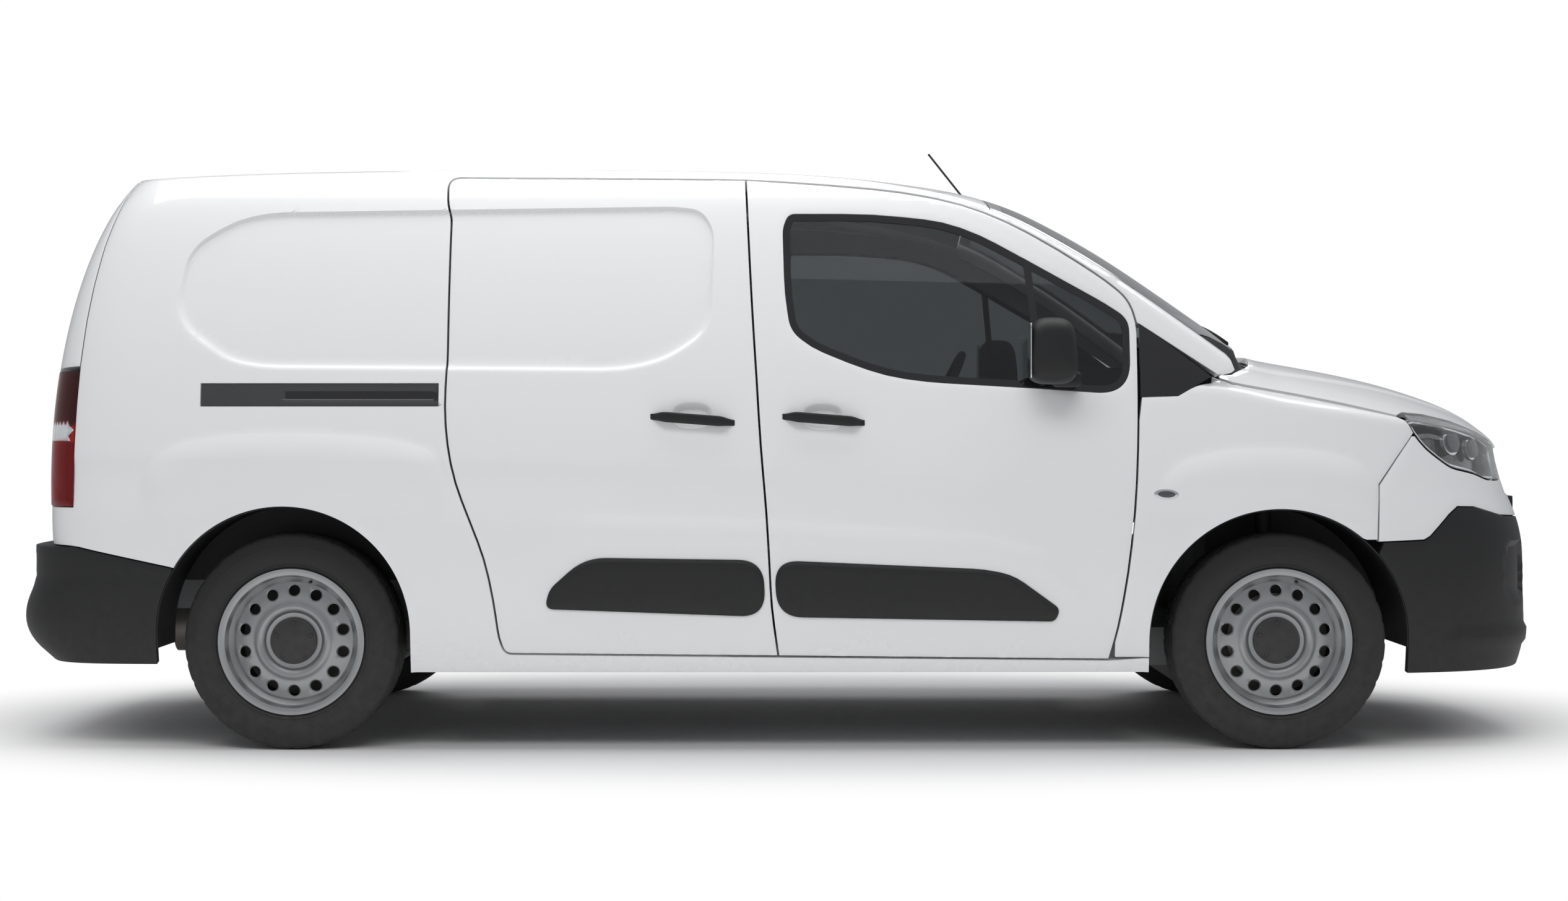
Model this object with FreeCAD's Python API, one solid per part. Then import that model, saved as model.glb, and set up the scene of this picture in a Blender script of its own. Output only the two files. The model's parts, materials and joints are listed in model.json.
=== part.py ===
import FreeCAD, Part
import math
import os

# Panel van with a closed load space, twin sliding side doors, twin rear doors and a hinged bonnet.
# Frame: +X forward, +Y left, +Z up, origin on the ground under the middle of the overall length.
# Stations along the van: -1 tail, 0 rear axle, 1 front axle, 2 nose. Heights are shares of roof_height.

V = FreeCAD.Vector

# Overall sizes
wheelbase = 2975.0
front_overhang = 892.0
rear_overhang = 886.0
half_width = 920.5
roof_height = 1812.0

# Wheels
tyre_radius = 326.0
tyre_width = 205.0
track_front = 1553.0
track_rear = 1568.0
rim_flange_radius = 220.5
rim_seat_radius = 203.0
rim_well_radius = 184.0
rim_half_width = 95.0
rim_wall = 6.0
disc_hole_radius = 16.0
disc_hole_circle = 152.0
disc_hole_count = 14
disc_ring_radius = 107.0
hub_cap_radius = 71.0
wheel_offset = 44.0
stub_radius = 30.0
stub_clearance = 0.3

# Body walls and gaps
wall = 50.0
wing_wall = 25.0
roof_wall = 30.0
bonnet_wall = 22.0
bumper_wall = 30.0
panel_gap = 6.5
seat_gap = 0.3
recess_depth = 10.0
flare_height = 12.0
cladding_height = 14.0
glass_wall = 5.0
glass_depth = 8.0
screen_foot_gap = 45.0
wiper_foot_gap = 70.0
screen_foot_share = 0.655
arch_radius_front = 395.0
arch_radius_rear = 383.0
arch_shift_rear = 20.0
arch_lift_front = 6.0
arch_lift_rear = 26.0
liner_wall = 4.0
liner_reach_front = 500.0
liner_reach_rear = 660.0
overrun = 200.0

# Floor and load space
load_floor_height = 585.0
cab_floor_height = 340.0
floor_wall = 40.0
rail_depth = 145.0
rail_width = 80.0
rail_spacing = 900.0
header_station = 0.712
step_x_share = 0.45
tow_hole_radius = 6.5
tow_hole_depth = 60.0
tow_hole_station = -0.63
tow_hole_spacing = 180.0
bulkhead_wall = 30.0

rear_axle_x = (rear_overhang - front_overhang - wheelbase) / 2
front_axle_x = rear_axle_x + wheelbase
tail_x = rear_axle_x - rear_overhang
nose_x = front_axle_x + front_overhang

# Body section by height: (height, half width, tail station, tail squareness, nose station, nose squareness)
section_shares = [
    (0.110, 0.960, -0.841, 8.0, 1.955, 3.8),
    (0.145, 0.974, -0.848, 8.0, 1.980, 3.8),
    (0.179, 0.986, -0.853, 8.0, 1.995, 3.8),
    (0.232, 0.993, -0.858, 8.0, 1.985, 3.8),
    (0.278, 0.997, -0.862, 8.0, 1.990, 3.8),
    (0.340, 0.999, -0.871, 8.0, 1.986, 3.7),
    (0.386, 1.000, -0.875, 8.0, 1.970, 3.5),
    (0.425, 0.9995, -0.877, 8.0, 1.936, 3.3),
    (0.487, 0.995, -0.878, 8.0, 1.914, 3.1),
    (0.576, 0.981, -0.869, 8.0, 1.905, 3.0),
    (0.666, 0.956, -0.846, 8.0, 1.905, 3.0),
    (0.745, 0.923, -0.815, 8.0, 1.905, 3.0),
    (0.825, 0.882, -0.773, 7.5, 1.905, 3.0),
    (0.894, 0.836, -0.724, 6.5, 1.905, 3.0),
    (0.944, 0.784, -0.674, 5.5, 1.905, 3.0),
    (0.975, 0.720, -0.635, 4.8, 1.905, 3.0),
    (1.000, 0.640, -0.600, 4.2, 1.905, 3.0),
]
# The rear bumper stands out behind the body: (height, half width, tail station)
bumper_section_shares = [
    (0.125, 0.960, -0.860),
    (0.145, 0.974, -0.890),
    (0.163, 0.981, -0.945),
    (0.188, 0.988, -0.985),
    (0.214, 0.991, -1.005),
    (0.247, 0.995, -0.988),
    (0.272, 0.997, -0.957),
    (0.309, 0.998, -0.954),
    (0.338, 0.999, -0.956),
    (0.355, 0.9995, -0.957),
]
bumper_squareness = 6.0
tail_bend_share = -0.236
nose_bend_share = 0.972
widest_share = 0.43
tail_taper_share = 0.012
nose_taper_share = 0.022

# Shares of the half outline's length at which each section is sampled, from tail to nose
sample_shares = [
    0.0, 0.03, 0.06, 0.085, 0.102, 0.114, 0.123, 0.131, 0.139, 0.148, 0.160, 0.178, 0.205, 0.25,
    0.31, 0.38, 0.45, 0.52, 0.59, 0.65, 0.70, 0.735, 0.765, 0.79, 0.812, 0.832, 0.850, 0.867,
    0.884, 0.902, 0.922, 0.945, 0.971, 1.0,
]

# Centre line of roof and windscreen, and of the bonnet: (station, height)
roof_line_shares = [
    (-1.05, 0.945), (-0.85, 0.962), (-0.744, 0.971), (-0.564, 0.983), (-0.24, 0.991), (0.036, 0.996),
    (0.25, 0.999), (0.42, 0.996), (0.5, 0.992), (0.567, 0.985), (0.639, 0.974), (0.690, 0.962),
    (0.739, 0.940), (0.783, 0.907), (0.837, 0.857), (0.892, 0.797), (0.94, 0.742), (0.97, 0.707),
    (1.02, 0.660), (1.10, 0.610), (1.25, 0.560),
]
bonnet_line_shares = [
    (0.85, 0.690), (0.938, 0.682), (0.991, 0.670), (1.058, 0.658), (1.266, 0.640), (1.457, 0.620),
    (1.608, 0.598), (1.732, 0.575), (1.817, 0.552), (1.874, 0.528), (1.905, 0.505), (1.945, 0.462),
    (2.05, 0.36),
]
roof_crown = 46.0
screen_crown = 92.0
roof_crown_end_share = 0.55
screen_crown_start_share = 0.80
bonnet_crown = 100.0
bonnet_sweep = 60.0
crown_width = 700.0
bonnet_crown_width = 800.0

# Side view outlines: (station, height)
tail_seam_shares = [
    (-0.560, 1.03), (-0.616, 0.948), (-0.639, 0.903), (-0.670, 0.842), (-0.694, 0.774), (-0.710, 0.715),
    (-0.725, 0.635), (-0.732, 0.573), (-0.737, 0.506), (-0.740, 0.442), (-0.741, 0.25),
]
slide_rear_shares = [
    (0.151, 0.962), (0.153, 0.913), (0.157, 0.893), (0.158, 0.640), (0.156, 0.574), (0.159, 0.508),
    (0.167, 0.444), (0.182, 0.382), (0.197, 0.319), (0.206, 0.250), (0.211, 0.188), (0.217, 0.161),
]
door_split_shares = [
    (0.459, 0.958), (0.466, 0.740), (0.471, 0.615), (0.475, 0.506), (0.481, 0.396), (0.484, 0.310),
    (0.486, 0.240), (0.493, 0.157),
]
door_top_shares = [
    (0.538, 0.949), (0.619, 0.936), (0.680, 0.915), (0.728, 0.883), (0.779, 0.835), (0.826, 0.783),
    (0.848, 0.752), (0.857, 0.712),
]
door_front_shares = [
    (0.857, 0.586), (0.856, 0.500), (0.853, 0.400), (0.846, 0.295), (0.836, 0.204), (0.827, 0.151),
]
window_shares = [
    (0.497, 0.872), (0.503, 0.897), (0.591, 0.897), (0.661, 0.884), (0.699, 0.861), (0.751, 0.813),
    (0.826, 0.743), (0.849, 0.717), (0.849, 0.590), (0.749, 0.601), (0.643, 0.611), (0.602, 0.621),
    (0.563, 0.643), (0.526, 0.669), (0.505, 0.697), (0.499, 0.760),
]
quarter_shares = [(0.860, 0.711), (0.932, 0.621), (0.914, 0.604), (0.897, 0.588), (0.860, 0.586)]
wing_top_shares = [(0.938, 0.622), (0.956, 0.608), (1.069, 0.590), (1.240, 0.573), (1.418, 0.554)]
lamp_shares = [
    (1.438, 0.551), (1.452, 0.559), (1.536, 0.556), (1.644, 0.545), (1.754, 0.525), (1.860, 0.497),
    (1.860, 0.446), (1.764, 0.447), (1.710, 0.458), (1.610, 0.468), (1.571, 0.480), (1.510, 0.501),
    (1.466, 0.527),
]
recess_shares = [
    (-0.095, 0.899), (-0.212, 0.886), (-0.369, 0.838), (-0.414, 0.711), (-0.221, 0.643), (-0.100, 0.631),
    (0.335, 0.626), (0.380, 0.643), (0.427, 0.696), (0.427, 0.869), (0.414, 0.903), (0.388, 0.909),
]
rail_shares = [(-0.306, 0.571), (0.150, 0.571), (0.150, 0.610), (-0.306, 0.610)]
rear_flare_shares = [
    (-0.480, 0.360), (-0.509, 0.440), (-0.490, 0.475), (-0.392, 0.511), (-0.207, 0.528), (0.025, 0.530),
    (0.104, 0.520), (0.148, 0.500), (0.158, 0.440), (0.150, 0.360),
]
front_flare_shares = [
    (0.868, 0.390), (0.880, 0.455), (0.901, 0.485), (0.948, 0.504), (1.037, 0.504), (1.170, 0.497),
    (1.280, 0.478), (1.345, 0.435), (1.370, 0.370),
]
slide_cladding_shares = [(0.258, 0.236), (0.262, 0.268), (0.298, 0.321), (0.478, 0.317), (0.480, 0.223)]
door_cladding_shares = [(0.4885, 0.317), (0.701, 0.302), (0.730, 0.292), (0.777, 0.236), (0.772, 0.215),
                        (0.492, 0.223)]
skirt_top_shares = [
    (1.336, 0.345), (1.495, 0.348), (1.517, 0.354), (1.590, 0.390), (1.625, 0.403), (1.692, 0.402),
    (1.804, 0.387), (2.100, 0.375),
]
bumper_rear_top_shares = [(-0.736, 0.338), (-0.398, 0.302)]
bumper_front_edge_shares = [(-0.426, 0.180), (-0.420, 0.142)]
sill_bottom_share = 0.130
tail_lamp_top_share = 0.632
tail_lamp_bottom_share = 0.405
rear_door_bottom_share = 0.341
rear_door_top_share = 0.962

# Smoothing of the outlines
level_tolerance = 0.01
ease_share = 0.45

# Posts, sill and hinges
door_post_depth = 56.0
door_post_wall = 40.0
post_half_width = 55.0
sill_depth = 110.0
sill_top_share = 0.1535
door_hinge_depth_share = 0.987
door_hinge_station = 0.8363
rear_hinge_y = 880.0
rear_hinge_station = -0.8753
rear_neck_half_width = 735.0

# Lamps, grille and intake
lamp_depth = 60.0
lamp_inner_y = 548.0
grille_top_share = 0.497
grille_bottom_share = 0.420
grille_half_width = 540.0
grille_bar = 16.0
grille_slots = 4
grille_depth = 34.0
grille_back = 8.0
intake_top_share = 0.345
intake_bottom_share = 0.205
intake_half_width = 430.0
intake_bar = 14.0
intake_bars = 3

# Mirrors, handles and rails
mirror_reach = 1053.5
mirror_station = 0.768
mirror_length = 130.0
mirror_bottom = 1118.0
mirror_height = 190.0
mirror_depth = 105.0
mirror_arm = 34.0
mirror_foot_height_share = 0.580
handle_proud = 36.0
handle_wall = 16.0
slide_handle_shares = (0.364, 0.449)
front_handle_shares = (0.497, 0.580)
handle_height_share = 0.5535
handle_drop_share = 0.0105
rail_cover_depth = 22.0
rail_face_depth = 3.0
rail_slot = 24.0
rail_slot_start_share = -0.245

# Cab
cab_half_width = 730.0
seat_width = 500.0
seat_spread = 360.0
seat_length = 480.0
seat_thickness = 130.0
seat_front_share = 0.662
seat_base_height = 560.0
back_height = 620.0
back_thickness = 110.0
back_lean = 110.0
headrest_width = 270.0
headrest_height = 170.0
headrest_thickness = 80.0
dash_profile_shares = [
    (0.760, 0.560), (0.772, 0.625), (0.800, 0.640), (0.905, 0.632), (0.930, 0.600), (0.930, 0.460),
    (0.830, 0.430), (0.790, 0.470),
]
firewall_station = 0.945
firewall_wall = 12.0
support_reach = 650.0
support_width = 50.0
support_bottom_share = 0.425
support_top_share = 0.440
steering_station = 0.682
steering_height = 1060.0
steering_offset = 380.0
steering_radius = 185.0
steering_grip = 14.0
steering_tilt = 25.0
steering_column = 24.0
steering_gap = 1.0

# Suspension, fuel and exhaust
kingpin_low_y = 700.0
kingpin_lean = 140.0
kingpin_rise = 740.0
kingpin_low_z = 190.0
strut_radius = 25.0
spring_radius = 62.0
arm_half_width = 35.0
arm_thickness = 26.0
ball_gap = 5.0
subframe_half_width = 430.0
subframe_length = 300.0
subframe_thickness = 65.0
subframe_bottom = 150.0
strut_top = 925.0
strut_gap = 12.0
spring_bottom = 740.0
spring_top = 915.0
ball_radius = 18.0
liner_inner_bottom = 500.0
carrier_length = 110.0
carrier_wall = 36.0
beam_radius = 38.0
beam_station = 0.115
beam_height = 340.0
arm_wall = 46.0
arm_inner_y = 560.0
tank_length = 560.0
tank_width = 470.0
tank_height = 210.0
tank_rounding = 40.0
pipe_radius = 27.0
pipe_offset = 200.0
pipe_height = 250.0
silencer_radius = 85.0
silencer_length = 420.0
silencer_height = 290.0
silencer_station = -0.20
tail_pipe_station = -0.83
damper_radius = 26.0
damper_top = 530.0

# Engine
engine_length = 520.0
engine_width = 720.0
engine_height = 540.0
engine_base_height = 330.0
engine_station = 1.04
engine_rounding = 40.0

# Chin lip, overlap of joined solids
lip_reach = 9.0
overlap = 2.0

# Wheel disc, rim and tyre sections
stub_reach = 46.0
disc_wall = 7.0
disc_dish = 12.0
ring_width = 20.0
ring_height = 12.0
cap_height = 10.0
cap_wall = 3.0
hub_radius = 62.0
hub_back = 5.0
well_edge = 60.0
well_slope = 14.0
well_back = 20.0
bead_width = 18.0
flange_cover = 14.0
side_ease = 6.0
bulge_radius = 264.0
shoulder_drop = 10.0
tread_half_width = 80.0
tread_wall = 14.0
side_wall = 9.0

# Steering column and wheel
column_length = 330.0
steering_hub = 44.0
steering_hub_radius = 44.0
steering_spoke = 11.0
headrest_post = 7.0

# Wipers and antenna
wiper_height = 10.0
wiper_width = 22.0
wiper_pivots_y = (-420.0, 220.0)
wiper_pivot_station = 0.975
wiper_tip_station = 0.945
wiper_reach = 560.0
antenna_station = 0.700
antenna_sweep = 115.0
antenna_rise = 153.0
antenna_rod = 3.5
antenna_foot = 18.0

# Places where panels start and end along the van
beyond_tail_station = -1.15
side_frame_shares = [(1.02, 1.03), (1.02, 0.665), (0.938, 0.624), (0.860, 0.714), (0.845, 0.500)]
pillar_foot_station = 0.845
sill_front_station = 0.900
sill_rear_station = -0.30
sill_inner_rear_station = 0.13
neck_station = -0.742
rail_top_share = 0.957
post_bottom_share = 0.145
cant_rear_station = 0.10
cant_front_station = 0.52
cant_bottom_share = 0.953
cant_top_share = 0.99
roof_rear_station = -0.66
roof_bottom_share = 0.8
liner_bottom_share = 0.17
floor_rear_station = -0.845
rail_rear_station = -0.80
rail_front_station = 1.02
bonnet_seam_rise_share = 0.0035
skirt_seam_rise_share = 0.003
bonnet_nose_shares = [(1.418, 0.5575), (1.448, 0.5625), (1.536, 0.5595), (1.644, 0.5485), (1.754, 0.5285),
                      (1.860, 0.5005), (2.05, 0.490)]
bonnet_rear_shares = [(0.90, 0.80), (0.920, 0.640)]
bonnet_edge_shares = [
    (0.932, -1.02), (0.950, -0.86), (0.988, -0.60), (1.012, -0.30), (1.018, 0.0), (1.012, 0.30),
    (0.988, 0.60), (0.950, 0.86), (0.932, 1.02),
]
wing_front_shares = [(1.418, 0.554), (1.440, 0.550), (1.466, 0.527), (1.400, 0.485), (1.336, 0.442), (1.30, 0.349)]
wing_rear_shares = [(0.862, 0.714), (0.935, 0.6235)]
wing_low_station = 0.93
wing_back_station = 0.80
wing_post_station = 0.866
bumper_side_shares = [(1.341, 0.4405), (1.336, 0.348)]
bumper_nose_shares = [(2.10, 0.378), (2.10, 0.4865), (1.860, 0.4965), (1.60, 0.53), (1.470, 0.5250), (1.404, 0.4835)]
skirt_rear_station = 1.25
skirt_bottom_share = 0.125
nose_cut_station = 1.5
lip_station = 1.6
lip_shares = (0.168, 0.192)
fog_pocket_shares = [(1.800, 0.235), (1.800, 0.345), (1.960, 0.350), (1.990, 0.235)]
fog_pocket_depth = 18.0
lamp_rear_station = 1.2
slot_bottom_depth = 25.5
rail_groove_depth = 15.4
inner_apron_bottom = 456.4
inner_apron_top_share = 0.57
apron_front_station = 1.80
cross_panel_shares = (0.32, 0.47)
grille_cut_top_share = 0.60
rear_door_top_station = -0.607
rear_door_cut_station = -0.4
lamp_cut_station = -0.6
press_shares = [(-0.14, 0.60), (-0.72, 0.60), (-0.66, 0.90), (-0.14, 0.90)]
rear_bumper_bottom_share = 0.142

def station(share):
    """Place along the van of a station between -1 at the tail and 2 at the nose."""
    if share < 0:
        return rear_axle_x + share * rear_overhang
    if share <= 1:
        return rear_axle_x + share * wheelbase
    return front_axle_x + (share - 1) * front_overhang


def height(share):
    return share * roof_height


def along(table, x):
    """Smooth curve through a table of (place, value) pairs, straight beyond its ends."""
    last = len(table) - 1
    slopes = []
    for i in range(last + 1):
        before, after = table[max(i - 1, 0)], table[min(i + 1, last)]
        slopes.append((after[1] - before[1]) / (after[0] - before[0]))
    if x <= table[0][0]:
        return table[0][1] + slopes[0] * (x - table[0][0])
    if x >= table[last][0]:
        return table[last][1] + slopes[last] * (x - table[last][0])
    i = max(k for k in range(last) if table[k][0] <= x)
    (x0, y0), (x1, y1) = table[i], table[i + 1]
    span = x1 - x0
    t = (x - x0) / span
    return (y0 * (1 + 2 * t) * (1 - t) ** 2 + slopes[i] * span * t * (1 - t) ** 2
            + y1 * t * t * (3 - 2 * t) + slopes[i + 1] * span * t * t * (t - 1))


def section_outline(width, tail, tail_power, nose, nose_power):
    """Points of one level section, from the tail's centre along one side to the nose's centre."""
    bend_tail, bend_nose = station(tail_bend_share), station(nose_bend_share)
    widest = station(widest_share)

    def side(x):
        reach = (x - widest) / (bend_nose - widest) if x > widest else (widest - x) / (widest - bend_tail)
        taper = nose_taper_share if x > widest else tail_taper_share
        y = width * (1 - taper * reach ** 2)
        if x > bend_nose:
            y *= max(0.0, 1 - ((x - bend_nose) / (nose - bend_nose)) ** nose_power) ** (1 / nose_power)
        if x < bend_tail:
            y *= max(0.0, 1 - ((bend_tail - x) / (bend_tail - tail)) ** tail_power) ** (1 / tail_power)
        return y

    steps = 160
    curve = []
    for k in range(steps + 1):
        turn = math.pi / 2 * k / steps
        curve.append(bend_tail - (bend_tail - tail) * math.cos(turn) ** (2 / tail_power))
    for k in range(1, steps):
        curve.append(bend_tail + (bend_nose - bend_tail) * k / steps)
    for k in range(steps + 1):
        turn = math.pi / 2 * k / steps
        curve.append(bend_nose + (nose - bend_nose) * math.sin(turn) ** (2 / nose_power))
    places = [(x, side(x)) for x in curve]
    places[0], places[-1] = (tail, 0.0), (nose, 0.0)
    lengths = [0.0]
    for a, b in zip(places, places[1:]):
        lengths.append(lengths[-1] + math.hypot(b[0] - a[0], b[1] - a[1]))
    samples, k = [], 0
    for share in sample_shares:
        target = share * lengths[-1]
        while k < len(lengths) - 2 and lengths[k + 1] < target:
            k += 1
        t = (target - lengths[k]) / (lengths[k + 1] - lengths[k])
        samples.append((places[k][0] + t * (places[k + 1][0] - places[k][0]),
                        places[k][1] + t * (places[k + 1][1] - places[k][1])))
    samples[0], samples[-1] = places[0], places[-1]
    return samples


def spline_face(rows):
    """Smooth cubic face that follows a grid of control points and ends on its border."""
    def knots(count):
        spans = count - 3
        return [4] + [1] * (spans - 1) + [4], [float(k) for k in range(spans + 1)]

    row_mults, row_knots = knots(len(rows))
    column_mults, column_knots = knots(len(rows[0]))
    surface = Part.BSplineSurface()
    surface.buildFromPolesMultsKnots(rows, row_mults, column_mults, row_knots, column_knots,
                                     False, False, 3, 3)
    return surface.toShape()


def shell_solid(levels, inset):
    """Closed solid whose side walls run smoothly through the level sections."""
    rows = []
    for z, width, tail, tail_power, nose, nose_power in levels:
        points = section_outline(width - inset, tail + inset, tail_power, nose - inset, nose_power)
        rows.append([V(x, -y, z) for x, y in points])
    right = spline_face(rows)
    left = right.mirror(V(0, 0, 0), V(0, 1, 0))
    faces = [right, left]
    for z in (levels[0][0], levels[-1][0]):
        rims = [e for f in (right, left) for e in f.Edges
                if all(abs(v.Z - z) < level_tolerance for v in e.Vertexes)]
        faces.append(Part.Face(Part.Wire(Part.__sortEdges__(rims))))
    shell = Part.makeShell(faces)
    shell.sewShape()
    if Part.makeSolid(shell).Volume < 0:
        shell.reverse()
    return Part.makeSolid(shell)


body_levels = [(height(z), w * half_width, station(t), tp, station(n), np)
               for z, w, t, tp, n, np in section_shares]
bumper_levels = [(height(z), w * half_width, station(t), bumper_squareness, station(1.9), 3.0)
                 for z, w, t in bumper_section_shares]





def roof_z(x, y):
    """Height of the roof and windscreen surface."""
    places = [(station(s), height(h)) for s, h in roof_line_shares]
    start, end = station(roof_crown_end_share), station(screen_crown_start_share)
    t = min(1.0, max(0.0, (x - start) / (end - start)))
    crown = roof_crown + (screen_crown - roof_crown) * t * t * (3 - 2 * t)
    return along(places, x) - crown * (y / crown_width) ** 2


def bonnet_z(x, y):
    """Height of the bonnet surface."""
    places = [(station(s), height(h)) for s, h in bonnet_line_shares]
    reach = abs(y) / bonnet_crown_width
    return along(places, x + bonnet_sweep * reach ** 2) - bonnet_crown * reach ** 2.4


def under(surface_z, line_shares, drop):
    """Solid of all that lies below a top surface lowered by drop."""
    stations = [s for s, h in line_shares]
    middles = [(a + b) / 2 for a, b in zip(stations, stations[1:])]
    xs = [station(s) for s in sorted(stations + middles)]
    reach = 2 * half_width
    ys = [reach * share for share in (-0.6, -0.46, -0.33, -0.2, -0.07, 0.07, 0.2, 0.33, 0.46, 0.6)]
    rows = [[V(x, y, surface_z(x, y) - drop) for y in ys] for x in xs]
    return spline_face(rows).extrude(V(0, 0, -2 * roof_height))


def rounded_wire(points, place):
    """Closed wire through points (a, b) or (a, b, radius); a corner with no radius is eased freely."""
    corners = []
    for i, point in enumerate(points):
        here = V(point[0], point[1], 0)
        back = V(points[i - 1][0], points[i - 1][1], 0) - here
        ahead = V(points[(i + 1) % len(points)][0], points[(i + 1) % len(points)][1], 0) - here
        turn = math.pi - back.getAngle(ahead)
        reach = ease_share * min(back.Length, ahead.Length)
        if len(point) > 2:
            reach = min(reach, point[2] * math.tan(turn / 2))
        if reach < level_tolerance or turn < level_tolerance:
            corners.append((here, None, here))
            continue
        radius = reach / math.tan(turn / 2)
        middle = back.normalize() + ahead.normalize()
        middle.normalize()
        top = here + middle * (math.hypot(radius, reach) - radius)
        corners.append((here + back * reach, top, here + ahead * reach))
    edges = []
    for i, (start, top, end) in enumerate(corners):
        if top is not None:
            edges.append(Part.Arc(place(start.x, start.y), place(top.x, top.y), place(end.x, end.y)).toShape())
        following = corners[(i + 1) % len(corners)][0]
        if (following - end).Length > level_tolerance:
            edges.append(Part.makeLine(place(end.x, end.y), place(following.x, following.y)))
    return Part.Wire(edges)




def grown(points, gap):
    """Outline moved out by gap on every side."""
    area = sum(points[i - 1][0] * p[1] - p[0] * points[i - 1][1] for i, p in enumerate(points))
    side = 1 if area > 0 else -1
    moved = []
    for i, point in enumerate(points):
        here = V(point[0], point[1], 0)
        along_in = here - V(points[i - 1][0], points[i - 1][1], 0)
        along_out = V(points[(i + 1) % len(points)][0], points[(i + 1) % len(points)][1], 0) - here
        along_in.normalize()
        along_out.normalize()
        normal = V(along_in.y + along_out.y, -along_in.x - along_out.x, 0)
        normal.normalize()
        reach = gap / max(ease_share, normal.dot(V(along_in.y, -along_in.x, 0)))
        place = here + normal * (side * reach)
        moved.append((place.x, place.y) + tuple(point[2:]))
    return moved


def side_points(shares):
    return [(station(p[0]), height(p[1])) + tuple(p[2:]) for p in shares]


def sharp(shares):
    """Side view points whose corners stay sharp."""
    return [(station(s), height(h), 0) for s, h in shares]


def side_prism(points, y_from=None, y_to=None):
    """Prism of a side view outline, reaching across the right half of the van unless told otherwise."""
    low = -half_width - overrun if y_from is None else y_from
    high = 0 if y_to is None else y_to
    wire = rounded_wire(points, lambda a, b: V(a, low, b))
    return Part.Face(wire).extrude(V(0, high - low, 0))


def box(x0, x1, y0, y1, z0, z1):
    return Part.makeBox(x1 - x0, y1 - y0, z1 - z0, V(x0, y0, z0))


def slab(x0=None, x1=None, y0=None, y1=None, z0=None, z1=None):
    """Box whose sides that are left out lie beyond the van."""
    far = wheelbase + front_overhang + rear_overhang
    low = [-far if v is None else v for v in (x0, y0, z0)]
    high = [far if v is None else v for v in (x1, y1, z1)]
    return box(low[0], high[0], low[1], high[1], low[2], high[2])


def mirrored(shape):
    return shape.mirror(V(0, 0, 0), V(0, 1, 0))


def both(shape):
    """The shape and its mirror image as solids that don't touch."""
    return Part.makeCompound(shape.Solids + mirrored(shape).Solids)


def y_cylinder(x, z, y0, y1, radius):
    return Part.makeCylinder(radius, y1 - y0, V(x, y0, z), V(0, 1, 0))


def rod(start, end, radius):
    return Part.makeCylinder(radius, (end - start).Length, start, end - start)


def rounded_box(x0, x1, y0, y1, z0, z1, radius):
    solid = box(x0, x1, y0, y1, z0, z1)
    return solid.makeFillet(radius, solid.Edges)


hulls = {}


def hull(inset):
    """Solid of the body's outer surface moved in by inset."""
    if inset not in hulls:
        hulls[inset] = shell_solid(body_levels, inset)
    return hulls[inset]


def below_roof(drop):
    return under(roof_z, roof_line_shares, drop)


def below_bonnet(drop):
    return under(bonnet_z, bonnet_line_shares, drop)


def skin(prism, outer, inner):
    """The part of the body's wall inside a prism, from depth outer to depth inner."""
    return prism.common(hull(outer)).cut(hull(inner))


def arch_prism(front, radius, y0, y1):
    """Wheel arch opening of one axle: a round head with straight sides down past the sill."""
    x = front_axle_x if front else rear_axle_x - arch_shift_rear
    z = tyre_radius + (arch_lift_front if front else arch_lift_rear)
    return y_cylinder(x, z, y0, y1, radius).fuse(box(x - radius, x + radius, y0, y1, -overrun, z))


arch_front = arch_prism(True, arch_radius_front, -half_width - overrun, 0)
arch_rear = arch_prism(False, arch_radius_rear, -half_width - overrun, 0)

slide_outline = side_points([(0.151, 0.962)] + slide_rear_shares[1:] + [
    (s, h) if 0 < i < len(door_split_shares) - 1 else (s, h, 0)
    for i, (s, h) in reversed(list(enumerate(door_split_shares)))])
door_outline = side_points([
    (s, h) if 0 < i < len(door_split_shares) - 1 else (s, h, 0)
    for i, (s, h) in reversed(list(enumerate(door_split_shares)))
] + door_top_shares + door_front_shares[:-1] + [door_front_shares[-1] + (0,)])
window_outline = side_points(window_shares)
quarter_outline = sharp(quarter_shares)
tail_seam = side_points(tail_seam_shares)
lamp_outline = side_points(lamp_shares)
half_gap = panel_gap / 2


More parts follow.
